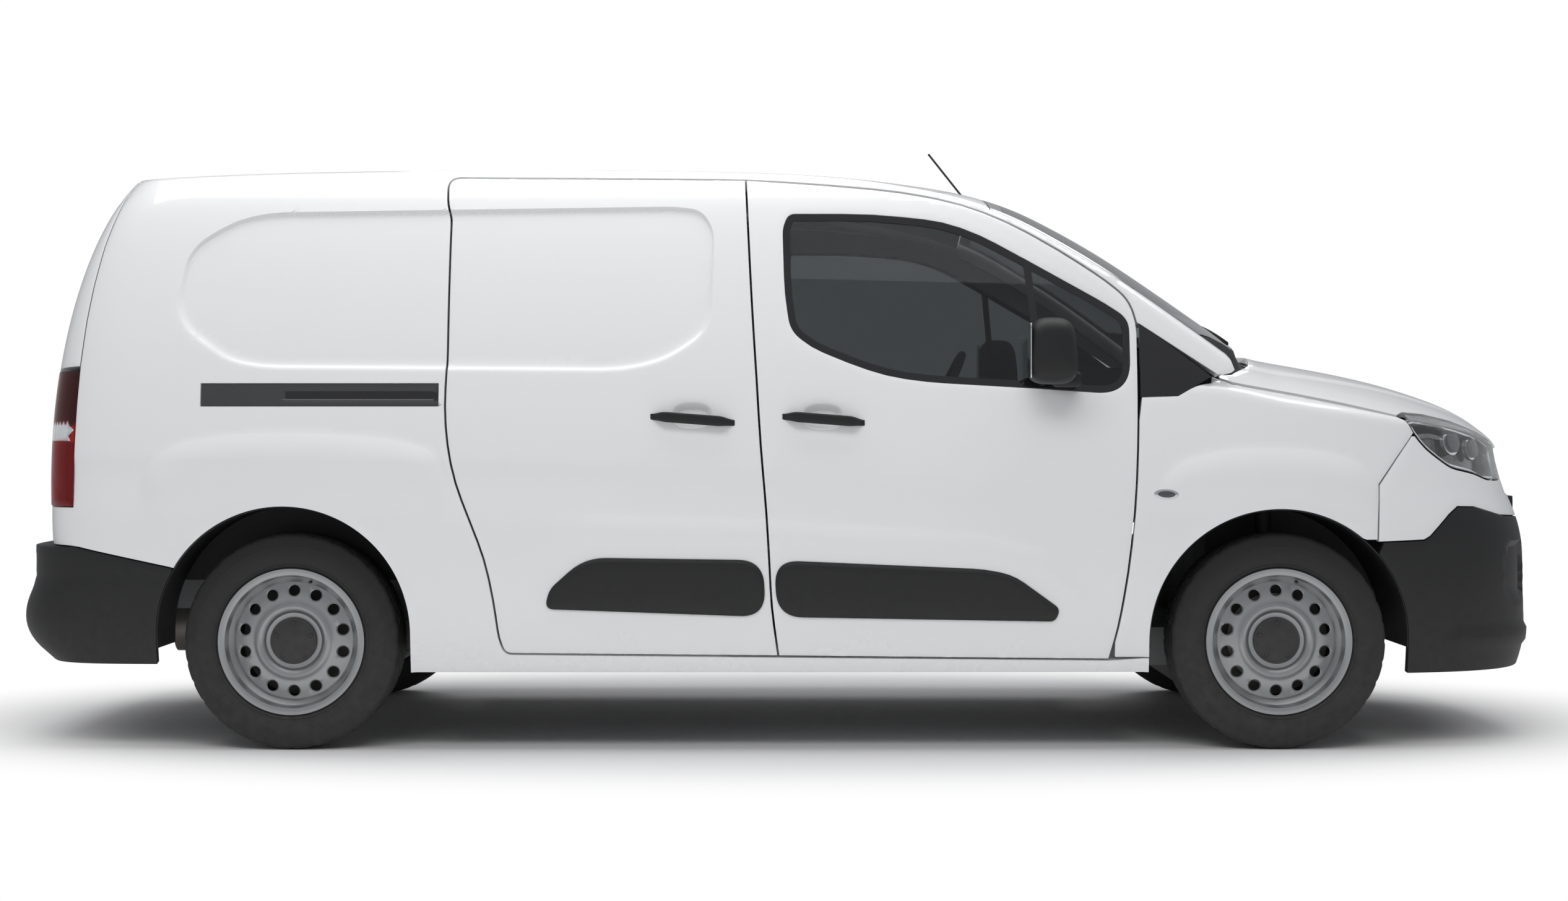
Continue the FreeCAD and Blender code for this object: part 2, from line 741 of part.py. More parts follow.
def body_sides():
    """Rear quarter, roof rail, pillars and sill of one side in a single wall, and its mirror image."""
    far_back = station(beyond_tail_station)
    lamp_split = height(tail_lamp_bottom_share) - half_gap
    step = height(bumper_rear_top_shares[0][1]) + half_gap
    outline = [(far_back, step, 0), (far_back, lamp_split, 0),
               (tail_seam[-2][0], lamp_split, 0)]
    outline += [p for p in reversed(tail_seam) if p[1] > lamp_split]
    outline += sharp(side_frame_shares + [
        (pillar_foot_station, sill_top_share), (sill_front_station, sill_top_share),
        (sill_front_station, sill_bottom_share), (sill_rear_station, sill_bottom_share)])
    edge = sharp(bumper_front_edge_shares[::-1] + bumper_rear_top_shares[1:])
    edge = [(x + panel_gap, z, 0) for x, z, r in edge]
    edge[-1] = (edge[-1][0], edge[-1][1] + panel_gap, 0)
    outline += edge + [(station(bumper_rear_top_shares[0][0]), step, 0)]
    side = side_prism(outline).common(hull(0))
    flare = side_prism(side_points(rear_flare_shares)).common(hull(-flare_height))
    side = side.fuse(flare).cut(hull(wall))
    sill = side_prism(sharp([
        (sill_inner_rear_station, sill_bottom_share), (sill_inner_rear_station, sill_top_share),
        (sill_front_station, sill_top_share), (sill_front_station, sill_bottom_share)]))
    side = side.fuse(skin(sill, wall - overlap, sill_depth))
    side = side.cut(side_prism(grown(slide_outline, half_gap))).cut(side_prism(grown(door_outline, half_gap)))
    side = side.cut(side_prism(side_points(recess_shares)).cut(hull(recess_depth)))
    side = side.cut(side_prism(sharp(rail_shares)).cut(hull(rail_cover_depth)))
    rail_top = height(rail_top_share)
    inner = door_post_depth + door_post_wall
    split = [station(s) for s, h in door_split_shares]
    post = side_prism([(split[0] - post_half_width, rail_top, 0), (split[0] + post_half_width, rail_top, 0),
                       (split[-1] + post_half_width, height(post_bottom_share), 0),
                       (split[-1] - post_half_width, height(post_bottom_share), 0)])
    side = side.fuse(skin(post, door_post_depth, inner).common(below_roof(roof_wall + seat_gap)))
    cant = side_prism(sharp([(cant_rear_station, cant_bottom_share), (cant_rear_station, cant_top_share),
                             (cant_front_station, cant_top_share), (cant_front_station, cant_bottom_share)]))
    cant = cant.cut(side_prism(grown(slide_outline, half_gap))).cut(side_prism(grown(door_outline, half_gap)))
    side = side.fuse(skin(cant, wall - overlap, inner).common(below_roof(roof_wall + seat_gap)))
    side = side.common(below_roof(0))
    side = side.cut(arch_front).cut(arch_rear)
    side = side.cut(slab(x1=station(neck_station), y0=-rear_neck_half_width - half_gap, y1=half_width))
    return side


def mains(shape):
    """The largest solid of a shape, without the slivers that a cut may leave."""
    return max(shape.Solids, key=lambda s: s.Volume)


def roof_panel():
    """Roof skin between the side walls, with the header over the rear doors."""
    header_x = station(header_station) - seat_gap
    skin_top = below_roof(0)
    panel = skin_top.cut(below_roof(roof_wall)).common(hull(wall + seat_gap))
    panel = panel.common(slab(x0=station(roof_rear_station), x1=header_x, z0=height(roof_bottom_share)))
    header_z = height(rear_door_top_share) + panel_gap
    far = station(beyond_tail_station)
    behind = [(far, tail_seam[1][1], 0), tail_seam[1] + (0,), tail_seam[0] + (0,), (far, tail_seam[0][1], 0)]
    header = hull(0).cut(hull(wall + roof_wall)).common(nose_region(grown(behind, -half_gap)))
    header = header.common(slab(z0=header_z)).common(skin_top)
    return mains(panel.fuse(header))


def windscreen():
    glass = below_roof(1.5 * seat_gap).cut(below_roof(1.5 * seat_gap + glass_wall))
    glass = glass.common(hull(wall + seat_gap)).common(rear_of_bonnet(-screen_foot_gap))
    return mains(glass.common(slab(x0=station(header_station), z0=height(screen_foot_share))))


def bulkhead():
    x = station(step_x_share)
    panel = slab(x0=x - bulkhead_wall, x1=x, z0=load_floor_height + seat_gap)
    inner = door_post_depth + door_post_wall + seat_gap
    return mains(panel.common(hull(inner)).common(below_roof(roof_wall + seat_gap)))


def floor_pan():
    """Load floor, cab floor, the step between them and the two long rails underneath."""
    step_x = station(step_x_share)
    inside = hull(sill_depth + seat_gap)
    load = slab(x0=station(floor_rear_station), x1=step_x, z0=load_floor_height - floor_wall, z1=load_floor_height)
    cab = slab(x0=step_x - floor_wall, x1=station(firewall_station), z0=cab_floor_height - floor_wall,
               z1=cab_floor_height)
    step = slab(x0=step_x - floor_wall, x1=step_x, z0=cab_floor_height - floor_wall, z1=load_floor_height)
    pan = load.common(hull(wall + seat_gap)).fuse(cab.common(inside)).fuse(step.common(inside))
    for side in (-1, 1):
        y = side * rail_spacing / 2
        pan = pan.fuse(box(station(rail_rear_station), step_x, y - rail_width / 2, y + rail_width / 2,
                           load_floor_height - floor_wall - rail_depth, load_floor_height - floor_wall))
        pan = pan.fuse(box(step_x - floor_wall, station(rail_front_station), y - rail_width / 2, y + rail_width / 2,
                           cab_floor_height - floor_wall - rail_width, cab_floor_height - floor_wall))
        for end in (-1, 1):
            foot = V(station(tow_hole_station) + end * tow_hole_spacing / 2, y,
                     load_floor_height - floor_wall - rail_depth)
            pan = pan.cut(Part.makeCylinder(tow_hole_radius, tow_hole_depth, foot))
    well_rear = arch_prism(False, arch_radius_rear, -half_width, -liner_reach_rear + seat_gap)
    well_front = arch_prism(True, arch_radius_front, -half_width, -liner_reach_front + seat_gap)
    for well in (well_rear, well_front):
        pan = pan.cut(well).cut(mirrored(well))
    return mains(pan)


def arch_liners():
    """Four wheel arch liners: half tubes over the wheels, the rear pair closed towards the load space."""
    liners = []
    edge = half_width - wing_wall
    for front, radius, reach in ((True, arch_radius_front, liner_reach_front),
                                 (False, arch_radius_rear, liner_reach_rear)):
        radius -= seat_gap
        x = front_axle_x if front else rear_axle_x - arch_shift_rear
        tube = arch_prism(front, radius, -edge, -reach)
        bore = arch_prism(front, radius - liner_wall, -edge - overrun, -reach + (overrun if front else 0))
        if not front:
            bore = bore.common(slab(y1=-reach - liner_wall))
        tube = tube.cut(bore).common(slab(z0=height(liner_bottom_share)))
        if front:
            low, top = kingpin_point(kingpin_low_z), kingpin_point(strut_top)
            tube = tube.cut(rod(low, top, spring_radius + strut_gap))
        else:
            tube = tube.cut(slab(y0=-reach - 2 * liner_wall, z1=liner_inner_bottom))
        tube = tube.common(hull(glass_wall))
        liners += [tube, mirrored(tube)]
    return Part.makeCompound(liners)


def sliding_doors():
    door = skin(side_prism(grown(slide_outline, -half_gap)), 0, wall)
    door = door.cut(side_prism(side_points(recess_shares)).cut(hull(recess_depth)))
    flare = skin(side_prism(side_points(rear_flare_shares)), -flare_height, wall - overlap)
    door = door.fuse(flare.common(side_prism(grown(slide_outline, -half_gap))))
    return both(mains(door))


def skin_y(z):
    """Half width of the body at a height, near the middle of its length."""
    return along([(level[0], level[1]) for level in body_levels], z)


def tail_surface_x(z):
    return along([(level[0], level[2]) for level in body_levels], z)


def within_swing(hinge_x, hinge_y, edge):
    """All that a door may hold so that its free edge, given as (x, y, z) points, swings past its frame."""
    points = [(math.hypot(x - hinge_x, y - hinge_y), z) for x, y, z in edge]
    points = [(0.0, points[0][1])] + points + [(0.0, points[-1][1])]
    wire = Part.makePolygon([V(hinge_x + r, hinge_y, z) for r, z in points + points[:1]])
    return Part.Face(wire).revolve(V(hinge_x, hinge_y, 0), V(0, 0, 1), 360)


def front_door():
    """Right front door with its window frame, in one wall as thick as the whole door."""
    door = skin(side_prism(grown(door_outline, -half_gap)), 0, wall)
    edge = [(station(s) + half_gap, -skin_y(height(h)), height(h)) for s, h in door_split_shares]
    top, low = edge[0], edge[-1]
    edge = [(low[0], low[1], 0.0)] + edge[::-1] + [(top[0], top[1], 2 * roof_height)]
    swing = within_swing(station(door_hinge_station), -door_hinge_depth_share * half_width, edge)
    return mains(door.common(swing).cut(side_prism(window_outline)))


def door_glass():
    pane = skin(side_prism(grown(window_outline, -seat_gap)), glass_depth, glass_depth + glass_wall)
    return mains(pane)


def handle(start, end):
    """Pull handle: a bar tapered at both ends on two feet, standing off the door."""
    z0, z1 = height(handle_height_share), height(handle_height_share - handle_drop_share)
    x0, x1 = station(start), station(end)
    half = handle_wall / 2 + half_gap
    third = (x1 - x0) / 4
    bar = side_prism([(x0, z0 + half / 2), (x0 + third, z0 + half), (x1 - third, z1 + half),
                      (x1, z1 + half / 2), (x1 - third, z1 - half), (x0 + third, z0 - half)])
    bar = skin(bar, -handle_proud, -handle_proud + handle_wall)
    for x, z in ((x0 + third / 2, z0), (x1 - third / 2, z1)):
        foot = side_prism([(x - half, z - half / 2), (x + half, z - half / 2), (x + half, z + half / 2),
                           (x - half, z + half / 2)])
        bar = bar.fuse(skin(foot, -handle_proud + handle_wall / 2, -seat_gap))
    return mains(bar)


def cladding(shares):
    return mains(skin(side_prism(side_points(shares)), -cladding_height, -seat_gap))


def mirror():
    """Door mirror: rounded housing on an arm that leaves the door at the window's lower front corner."""
    x = station(mirror_station)
    inner = mirror_reach - mirror_length
    shapes = []
    for y, grow in ((-inner, 0.62), (-inner - 0.25 * mirror_length, 0.92), (-inner - 0.6 * mirror_length, 1.0),
                    (-mirror_reach + 0.1 * mirror_length, 0.86), (-mirror_reach, 0.55)):
        depth, rise = mirror_depth * grow / 2, mirror_height * grow / 2
        z = mirror_bottom + mirror_height / 2
        points = [(x - depth, z - rise), (x + depth * 0.9, z - rise), (x + depth * 0.8, z + rise),
                  (x - depth * 0.7, z + rise)]
        shapes.append(rounded_wire(points, lambda a, b, y=y: V(a, y, b)))
    housing = Part.makeLoft(shapes, True)
    low, high = height(mirror_foot_height_share), mirror_bottom + mirror_arm
    arm = side_prism([(x - mirror_arm, low), (x + mirror_arm, low), (x + mirror_arm, high),
                      (x - mirror_arm, high)], -inner - mirror_length / 2, 0)
    return mains(housing.fuse(arm.cut(hull(-seat_gap))))


def quarter_trims():
    return mains(skin(side_prism(grown(quarter_outline, -seat_gap)), 0, wing_wall))


def front_wings():
    """Wing from the door's front edge to the lamp and bumper, with its arch flare."""
    edge = [(x + level_tolerance, z, 0) if i in (0, len(door_front_shares) - 1) else (x, z)
            for i, (x, z) in enumerate(side_points(door_front_shares))]
    outline = sharp(wing_rear_shares) + side_points(wing_top_shares[1:-1]) + sharp(
        wing_front_shares + [(wing_low_station, sill_top_share)]) + edge[::-1]
    flare = side_prism(side_points(front_flare_shares)).common(side_prism(outline))
    inside = hull(wing_wall).common(below_bonnet(wing_wall))
    wing = side_prism(outline).common(hull(0)).fuse(flare.common(hull(-flare_height))).cut(inside)
    wing = wing.cut(side_prism(grown(door_outline, panel_gap - half_gap))).cut(side_prism(quarter_outline))
    wing = wing.cut(side_prism(grown(lamp_outline, half_gap))).cut(arch_front).common(below_bonnet(0))
    wing = wing.cut(hull(wing_wall).common(slab(x1=station(wing_post_station))))
    return mains(wing.common(slab(x0=station(wing_back_station), z0=height(sill_top_share) + seat_gap)))


def bonnet():
    """Bonnet skin with its turned-down sides and nose."""
    rise = bonnet_seam_rise_share
    first, nose = wing_top_shares[0], bonnet_nose_shares
    outline = sharp(bonnet_rear_shares + [(first[0], first[1] + rise)])
    outline += side_points([(s, h + rise) for s, h in wing_top_shares[1:-1]])
    outline += sharp(nose[:2]) + side_points(nose[2:-2]) + sharp(nose[-2:] + [(nose[-1][0], bonnet_rear_shares[0][1])])
    across = 2 * (half_width + overrun)
    region = side_prism(outline, -across / 2, across / 2)
    outer = hull(0).common(below_bonnet(0)).common(region)
    inner = hull(bonnet_wall).common(below_bonnet(bonnet_wall))
    skin_part = outer.cut(inner)
    return mains(skin_part.cut(rear_of_bonnet(0)))


def rear_of_bonnet(shift):
    """Everything behind the bonnet's swept rear edge, moved forward by shift."""
    edge = [V(station(s) + shift, y * half_width, 0) for s, y in bonnet_edge_shares]
    curve = Part.BSplineCurve()
    curve.interpolate(edge)
    far = V(rear_axle_x, edge[0].y, 0)
    other = V(rear_axle_x, edge[-1].y, 0)
    wire = Part.Wire([curve.toShape(), Part.makeLine(edge[-1], other), Part.makeLine(other, far),
                      Part.makeLine(far, edge[0])])
    return Part.Face(wire).extrude(V(0, 0, 2 * roof_height))


def scuttle():
    """Cowl panel under the windscreen's lower edge and the bonnet's rear edge."""
    panel = below_bonnet(bonnet_wall + panel_gap).cut(below_bonnet(2 * bonnet_wall + panel_gap))
    panel = panel.common(hull(wall + seat_gap)).common(rear_of_bonnet(bonnet_sweep))
    return mains(panel.common(slab(x0=station(firewall_station) - firewall_wall)).cut(
        slab(x0=rear_axle_x, x1=station(firewall_station) - firewall_wall)))


def engine_bay():
    """Firewall behind the engine and the two inner aprons, joined by the front cross panel."""
    x = station(firewall_station)
    top = below_bonnet(2 * bonnet_wall + panel_gap + seat_gap)
    bay = slab(x0=x, x1=x + firewall_wall, z0=cab_floor_height - floor_wall).common(
        hull(door_post_depth + door_post_wall + seat_gap))
    front = station(apron_front_station)
    inner = liner_reach_front - liner_wall - firewall_wall
    for side in (-1, 1):
        y0, y1 = sorted((side * inner, side * (inner - firewall_wall)))
        bay = bay.fuse(box(x, front, y0, y1, inner_apron_bottom, height(inner_apron_top_share)))
    bay = bay.fuse(box(front - 3 * firewall_wall, front, -inner, inner,
                       *[height(h) for h in cross_panel_shares]))
    well = arch_prism(True, arch_radius_front, -half_width, -liner_reach_front + seat_gap)
    bay = bay.cut(well).cut(mirrored(well))
    low, high = height(support_bottom_share), height(support_top_share)
    bay = bay.fuse(box(front - 3 * firewall_wall, front, -support_reach, support_reach, low, high))
    for side in (-1, 1):
        y0, y1 = sorted((side * support_reach, side * (support_reach - support_width)))
        bay = bay.fuse(box(front - firewall_wall, nose_x, y0, y1, low, high).common(
            hull(bumper_wall + seat_gap)))
    return mains(bay.common(top).common(hull(bumper_wall + seat_gap)))


def headlamps():
    lamp = skin(side_prism(lamp_outline), 0, lamp_depth).common(slab(x0=station(lamp_rear_station), y1=-lamp_inner_y))
    return both(mains(lamp))


def nose_region(outline):
    across = half_width + overrun
    return side_prism(outline, -across, across)


def front_bumper():
    """Painted upper bumper under the lamps, open for the grille."""
    outline = sharp(bumper_side_shares)
    outline += side_points([(s, h + skirt_seam_rise_share) for s, h in skirt_top_shares[1:-1]])
    outline += sharp(bumper_nose_shares)
    piece = nose_region(outline).common(hull(0)).cut(hull(bumper_wall))
    lamp = side_prism(grown(lamp_outline, half_gap)).common(slab(y1=-lamp_inner_y + half_gap))
    opening = box(station(nose_cut_station), nose_x + overrun, -grille_half_width, grille_half_width,
                  height(grille_bottom_share), height(grille_cut_top_share))
    piece = piece.cut(lamp).cut(mirrored(lamp)).cut(opening)
    arch = arch_front.fuse(mirrored(arch_front))
    return mains(piece.cut(arch))


def front_skirt():
    """Dark lower bumper with the centre intake, lamp recesses and the chin lip."""
    first, last = skirt_top_shares[0], skirt_top_shares[-1]
    outline = sharp([(skirt_rear_station, first[1]), first]) + side_points(skirt_top_shares[1:-1])
    outline += sharp([last, (last[0], skirt_bottom_share), (skirt_rear_station, skirt_bottom_share)])
    piece = nose_region(outline).common(hull(0)).cut(hull(bumper_wall))
    lip = box(station(lip_station), nose_x + overrun, -half_width, half_width, *[height(h) for h in lip_shares])
    piece = piece.fuse(lip.common(hull(-lip_reach)).cut(hull(bumper_wall)))
    low, high = height(intake_bottom_share), height(intake_top_share)
    intake = box(station(nose_cut_station), nose_x + overrun, -intake_half_width, intake_half_width, low, high)
    piece = piece.cut(intake)
    pitch = (high - low) / (intake_bars + 1)
    for k in range(intake_bars):
        z = low + (k + 1) * pitch
        bar = box(station(nose_cut_station), nose_x + overrun, -intake_half_width - overlap,
                  intake_half_width + overlap,
                  z - intake_bar / 2, z + intake_bar / 2)
        piece = piece.fuse(bar.common(hull(grille_back)).cut(hull(bumper_wall)))
    pocket = side_prism(side_points(fog_pocket_shares))
    pocket = pocket.common(slab(y1=-intake_half_width - 2 * intake_bar)).cut(hull(fog_pocket_depth))
    piece = piece.cut(pocket).cut(mirrored(pocket))
    arch = arch_front.fuse(mirrored(arch_front))
    return mains(piece.cut(arch))




def grille():
    """Grille of level bars in a frame, between the lamps."""
    low, high = height(grille_bottom_share), height(grille_top_share) - panel_gap
    frame = box(station(nose_cut_station), nose_x, -grille_half_width + seat_gap, grille_half_width - seat_gap,
                low + seat_gap, high)
    frame = frame.common(hull(grille_back)).cut(hull(grille_back + grille_depth))
    lamp = side_prism(grown(lamp_outline, half_gap)).common(slab(y1=-lamp_inner_y + half_gap))
    frame = frame.cut(lamp).cut(mirrored(lamp))
    pitch = (high - low) / (grille_slots + 1)
    for k in range(grille_slots):
        z = low + (k + 1) * pitch
        slot = box(station(nose_cut_station), nose_x, -grille_half_width + 2 * grille_bar,
                   grille_half_width - 2 * grille_bar, z - pitch / 2 + grille_bar / 4,
                   z + pitch / 2 - grille_bar / 4)
        frame = frame.cut(slot.cut(hull(slot_bottom_depth)))
    return mains(frame)


def rear_doors():
    """Right rear door: half the tail with its wrapped upper edge and a pressed recess."""
    far = station(beyond_tail_station)
    region = [(far, height(rear_door_bottom_share), 0)]
    region += [(x, min(z, height(rear_door_top_share))) for x, z in reversed(tail_seam[1:-1])]
    region += [(station(rear_door_top_station), height(rear_door_top_share), 0),
               (far, height(rear_door_top_share), 0)]
    region[1] = (region[1][0], height(rear_door_bottom_share), 0)
    levels = [z for z, w, t, tp, n, np in body_levels]
    free_y = -half_gap + seat_gap
    edge = [(tail_surface_x(z), free_y, z) for z in levels]
    edge = [(edge[0][0], free_y, 0.0)] + edge + [(edge[-1][0], free_y, 2 * roof_height)]
    swing = within_swing(station(rear_hinge_station), -rear_hinge_y, edge)
    door = skin(side_prism(grown(region, -half_gap), -half_width - overrun, -half_gap), 0, wall).common(swing)
    neck = height(tail_lamp_top_share) + half_gap
    door = door.cut(slab(x1=station(rear_door_cut_station), y1=-rear_neck_half_width + half_gap, z1=neck))
    press = rounded_wire([(y * half_width, height(h)) for y, h in press_shares],
                         lambda a, b: V(tail_x - overrun, a, b))
    press = Part.Face(press).extrude(V(rear_overhang, 0, 0)).cut(hull(recess_depth))
    return mains(door.cut(press))


def tail_lamps():
    top, low = height(tail_lamp_top_share) - half_gap, height(tail_lamp_bottom_share)
    far = station(beyond_tail_station)
    region = [(far, low, 0), (far, top, 0)]
    region += [p for p in tail_seam if low < p[1] < top]
    region += [(tail_seam[-2][0], low, 0)]
    lamp = skin(side_prism(grown(region, -seat_gap)), 0, wall)
    lamp = lamp.cut(slab(x1=station(lamp_cut_station), y0=-rear_neck_half_width - half_gap, y1=half_width))
    return both(mains(lamp))


def rear_bumper():
    """Wrap-round rear bumper with a flat step under the doors."""
    top = bumper_rear_top_shares[0][1]
    outline = sharp([(beyond_tail_station, top)] + bumper_rear_top_shares + bumper_front_edge_shares
                    + [(beyond_tail_station, rear_bumper_bottom_share)])
    across = half_width + overrun
    outer = side_prism(outline, -across, across).common(shell_solid(bumper_levels, 0))
    hollow = shell_solid(bumper_levels, bumper_wall).common(slab(z1=height(top) - bumper_wall))
    bumper = outer.cut(hollow).cut(hull(wall))
    return mains(bumper.cut(arch_rear).cut(mirrored(arch_rear)))


def slide_rail():
    """Rail for the sliding door's rear roller, in the slot under the load space window line."""
    rail = skin(side_prism(grown(sharp(rail_shares), -seat_gap)),
                rail_face_depth, rail_cover_depth - seat_gap)
    low, high = height(rail_shares[0][1]), height(rail_shares[2][1])
    middle = (low + high) / 2
    slot = side_prism([(station(rail_slot_start_share), middle - rail_slot / 2, 0),
                       (station(rail_shares[1][0]) + overrun, middle - rail_slot / 2, 0),
                       (station(rail_shares[1][0]) + overrun, middle + rail_slot / 2, 0),
                       (station(rail_slot_start_share), middle + rail_slot / 2, 0)])
    return mains(rail.cut(slot.cut(hull(rail_groove_depth))))


def body_trims():
    """Dark trim of both sides: quarter panels, sliding door handles and cladding, and rear rails."""
    pieces = [quarter_trims(), handle(*slide_handle_shares), cladding(slide_cladding_shares), slide_rail()]
    return both(Part.makeCompound(pieces))


def door_fittings():
    """Dark parts that ride the right front door: mirror, handle and cladding."""
    return Part.makeCompound([mirror(), handle(*front_handle_shares), cladding(door_cladding_shares)])


def wipers():
    """Two wiper arms with blades lying just above the glass."""
    layer = below_roof(-2 * seat_gap - wiper_height).cut(below_roof(-2 * seat_gap))
    layer = layer.common(rear_of_bonnet(-wiper_foot_gap))
    pieces = []
    for pivot_y in wiper_pivots_y:
        pivot = V(station(wiper_pivot_station), pivot_y, 0)
        tip = V(station(wiper_tip_station), pivot_y + wiper_reach, 0)
        run = tip - pivot
        across = V(-run.y, run.x, 0).normalize() * (wiper_width / 2)
        wire = Part.makePolygon([pivot + across, pivot - across, tip - across, tip + across, pivot + across])
        pieces.append(Part.Face(wire).extrude(V(0, 0, 2 * roof_height)).common(layer))
    return Part.makeCompound([mains(p) for p in pieces])


def antenna():
    """Rod antenna leaning back from a round foot on the roof."""
    x = station(antenna_station)
    slope = (roof_z(x, 0) - roof_z(x - antenna_foot, 0)) / antenna_foot
    upright = V(-slope, 0, 1).normalize()
    reach = Part.makeLine(V(x, 0, roof_height / 2), V(x, 0, 2 * roof_height))
    roof_top = reach.common(below_roof(0)).BoundBox.ZMax
    base = V(x, 0, roof_top) + upright * 2 * seat_gap
    tip = V(x - antenna_sweep, 0, roof_z(x, 0) + antenna_rise)
    foot = Part.makeCone(antenna_foot, antenna_foot / 2, antenna_foot, base, upright)
    return foot.fuse(rod(base + upright * (antenna_foot / 2), tip, antenna_rod))


def engine_block():
    x = station(engine_station)
    return rounded_box(x, x + engine_length, -engine_width / 2, engine_width / 2, engine_base_height,
                       engine_base_height + engine_height, engine_rounding)


def dashboard():
    """Dashboard across the cab with its hood and the steering column."""
    points = side_points(dash_profile_shares)
    far = station(firewall_station) - seat_gap
    points = [(far if i in (4, 5) else p[0], p[1]) for i, p in enumerate(points)]
    dash = side_prism(points, -cab_half_width, cab_half_width)
    centre, away = steering_frame()
    dash = dash.fuse(rod(centre - away * (steering_hub / 2 + steering_gap), centre - away * column_length,
                         steering_column))
    return mains(dash)


def steering_frame():
    """Centre of the steering wheel and the direction of its column, out towards the driver."""
    turn = math.radians(steering_tilt)
    return V(station(steering_station), steering_offset, steering_height), V(-math.cos(turn), 0, math.sin(turn))


def steering_wheel():
    centre, away = steering_frame()
    rim = Part.makeTorus(steering_radius, steering_grip, centre, away)
    hub = Part.makeCylinder(steering_hub_radius, steering_hub, centre - away * (steering_hub / 2), away)
    up = V(away.z, 0, -away.x)
    for direction in (V(0, 1, 0), V(0, -1, 0), up * -1):
        spoke = rod(centre, centre + direction * steering_radius, steering_spoke)
        hub = hub.fuse(spoke)
    return mains(rim.fuse(hub))


def seats():
    """Two seats, each a pedestal, a cushion, a leaning back and a headrest."""
    front = station(seat_front_share)
    rear = front - seat_length
    top = seat_base_height + seat_thickness
    half = seat_width / 2
    pieces = []
    for y in (-seat_spread, seat_spread):
        pedestal = box(rear + back_thickness, front - back_thickness, y - 0.7 * half, y + 0.7 * half,
                       cab_floor_height + seat_gap, seat_base_height + seat_thickness / 2)
        cushion = rounded_box(rear, front, y - half, y + half, seat_base_height, top, seat_thickness / 4)
        foot, lean = rear + back_thickness / 4, back_lean / back_height
        profile = [(foot, seat_base_height + seat_thickness / 2), (foot + back_thickness, seat_base_height
                   + seat_thickness / 2), (foot + back_thickness - back_lean, top + back_height),
                   (foot - back_lean, top + back_height)]
        back = side_prism(profile, y - half, y + half)
        head_x = foot + (back_thickness - headrest_thickness) / 2 - lean * (back_height + headrest_height)
        head_z = top + back_height + seat_thickness / 4
        head = rounded_box(head_x, head_x + headrest_thickness, y - headrest_width / 2,
                           y + headrest_width / 2, head_z, head_z + headrest_height, headrest_thickness / 4)
        seat = pedestal.fuse(cushion).fuse(back)
        for side in (-1, 1):
            post_y = y + side * headrest_width / 4
            seat = seat.fuse(rod(V(head_x + headrest_thickness / 2, post_y, top + back_height - seat_thickness),
                                 V(head_x + headrest_thickness / 2, post_y, head_z + headrest_height / 2),
                                 headrest_post))
        pieces.append(mains(seat.fuse(head)))
    return Part.makeCompound(pieces)


def kingpin_point(z):
    """Point of the right wheel's steering axis at a height."""
    share = (z - kingpin_low_z) / kingpin_rise
    return V(front_axle_x, -kingpin_low_y + kingpin_lean * share, z)


def knuckle():
    """Right front hub carrier with its stub axle, lower ball leg, strut and spring."""
    wheel_y = -track_front / 2
    z = tyre_radius
    carrier_y = wheel_y + carrier_wall
    carrier = y_cylinder(front_axle_x, z, carrier_y, carrier_y + carrier_wall * 2, carrier_length / 2)
    stub = y_cylinder(front_axle_x, z, wheel_y - stub_reach, carrier_y + carrier_wall, stub_radius)
    leg = rod(kingpin_point(kingpin_low_z + ball_radius), kingpin_point(z), ball_radius)
    strut = rod(kingpin_point(z), kingpin_point(strut_top), strut_radius)
    spring = rod(kingpin_point(spring_bottom), kingpin_point(spring_top), spring_radius)
    ball = Part.makeSphere(ball_radius, kingpin_point(kingpin_low_z + ball_radius))
    return mains(carrier.fuse(stub).fuse(leg).fuse(strut).fuse(spring).fuse(ball))


def front_subframe():
    """Cross member under the engine with a lower arm out to each wheel."""
    half = subframe_length / 2
    top = subframe_bottom + subframe_thickness
    frame = box(front_axle_x - half, front_axle_x + half, -subframe_half_width, subframe_half_width,
                subframe_bottom, top)
    arm_z = kingpin_low_z - ball_gap - arm_thickness
    reach = kingpin_low_y
    for side in (-1, 1):
        y0, y1 = sorted((side * (subframe_half_width - overlap), side * reach))
        frame = frame.fuse(box(front_axle_x - arm_half_width, front_axle_x + arm_half_width, y0, y1,
                               arm_z, arm_z + arm_thickness))
    tie_z = cab_floor_height - floor_wall - rail_width
    frame = frame.fuse(box(front_axle_x - half - rail_width, front_axle_x - half + overlap,
                           -subframe_half_width, subframe_half_width, subframe_bottom, tie_z - seat_gap))
    return mains(frame)


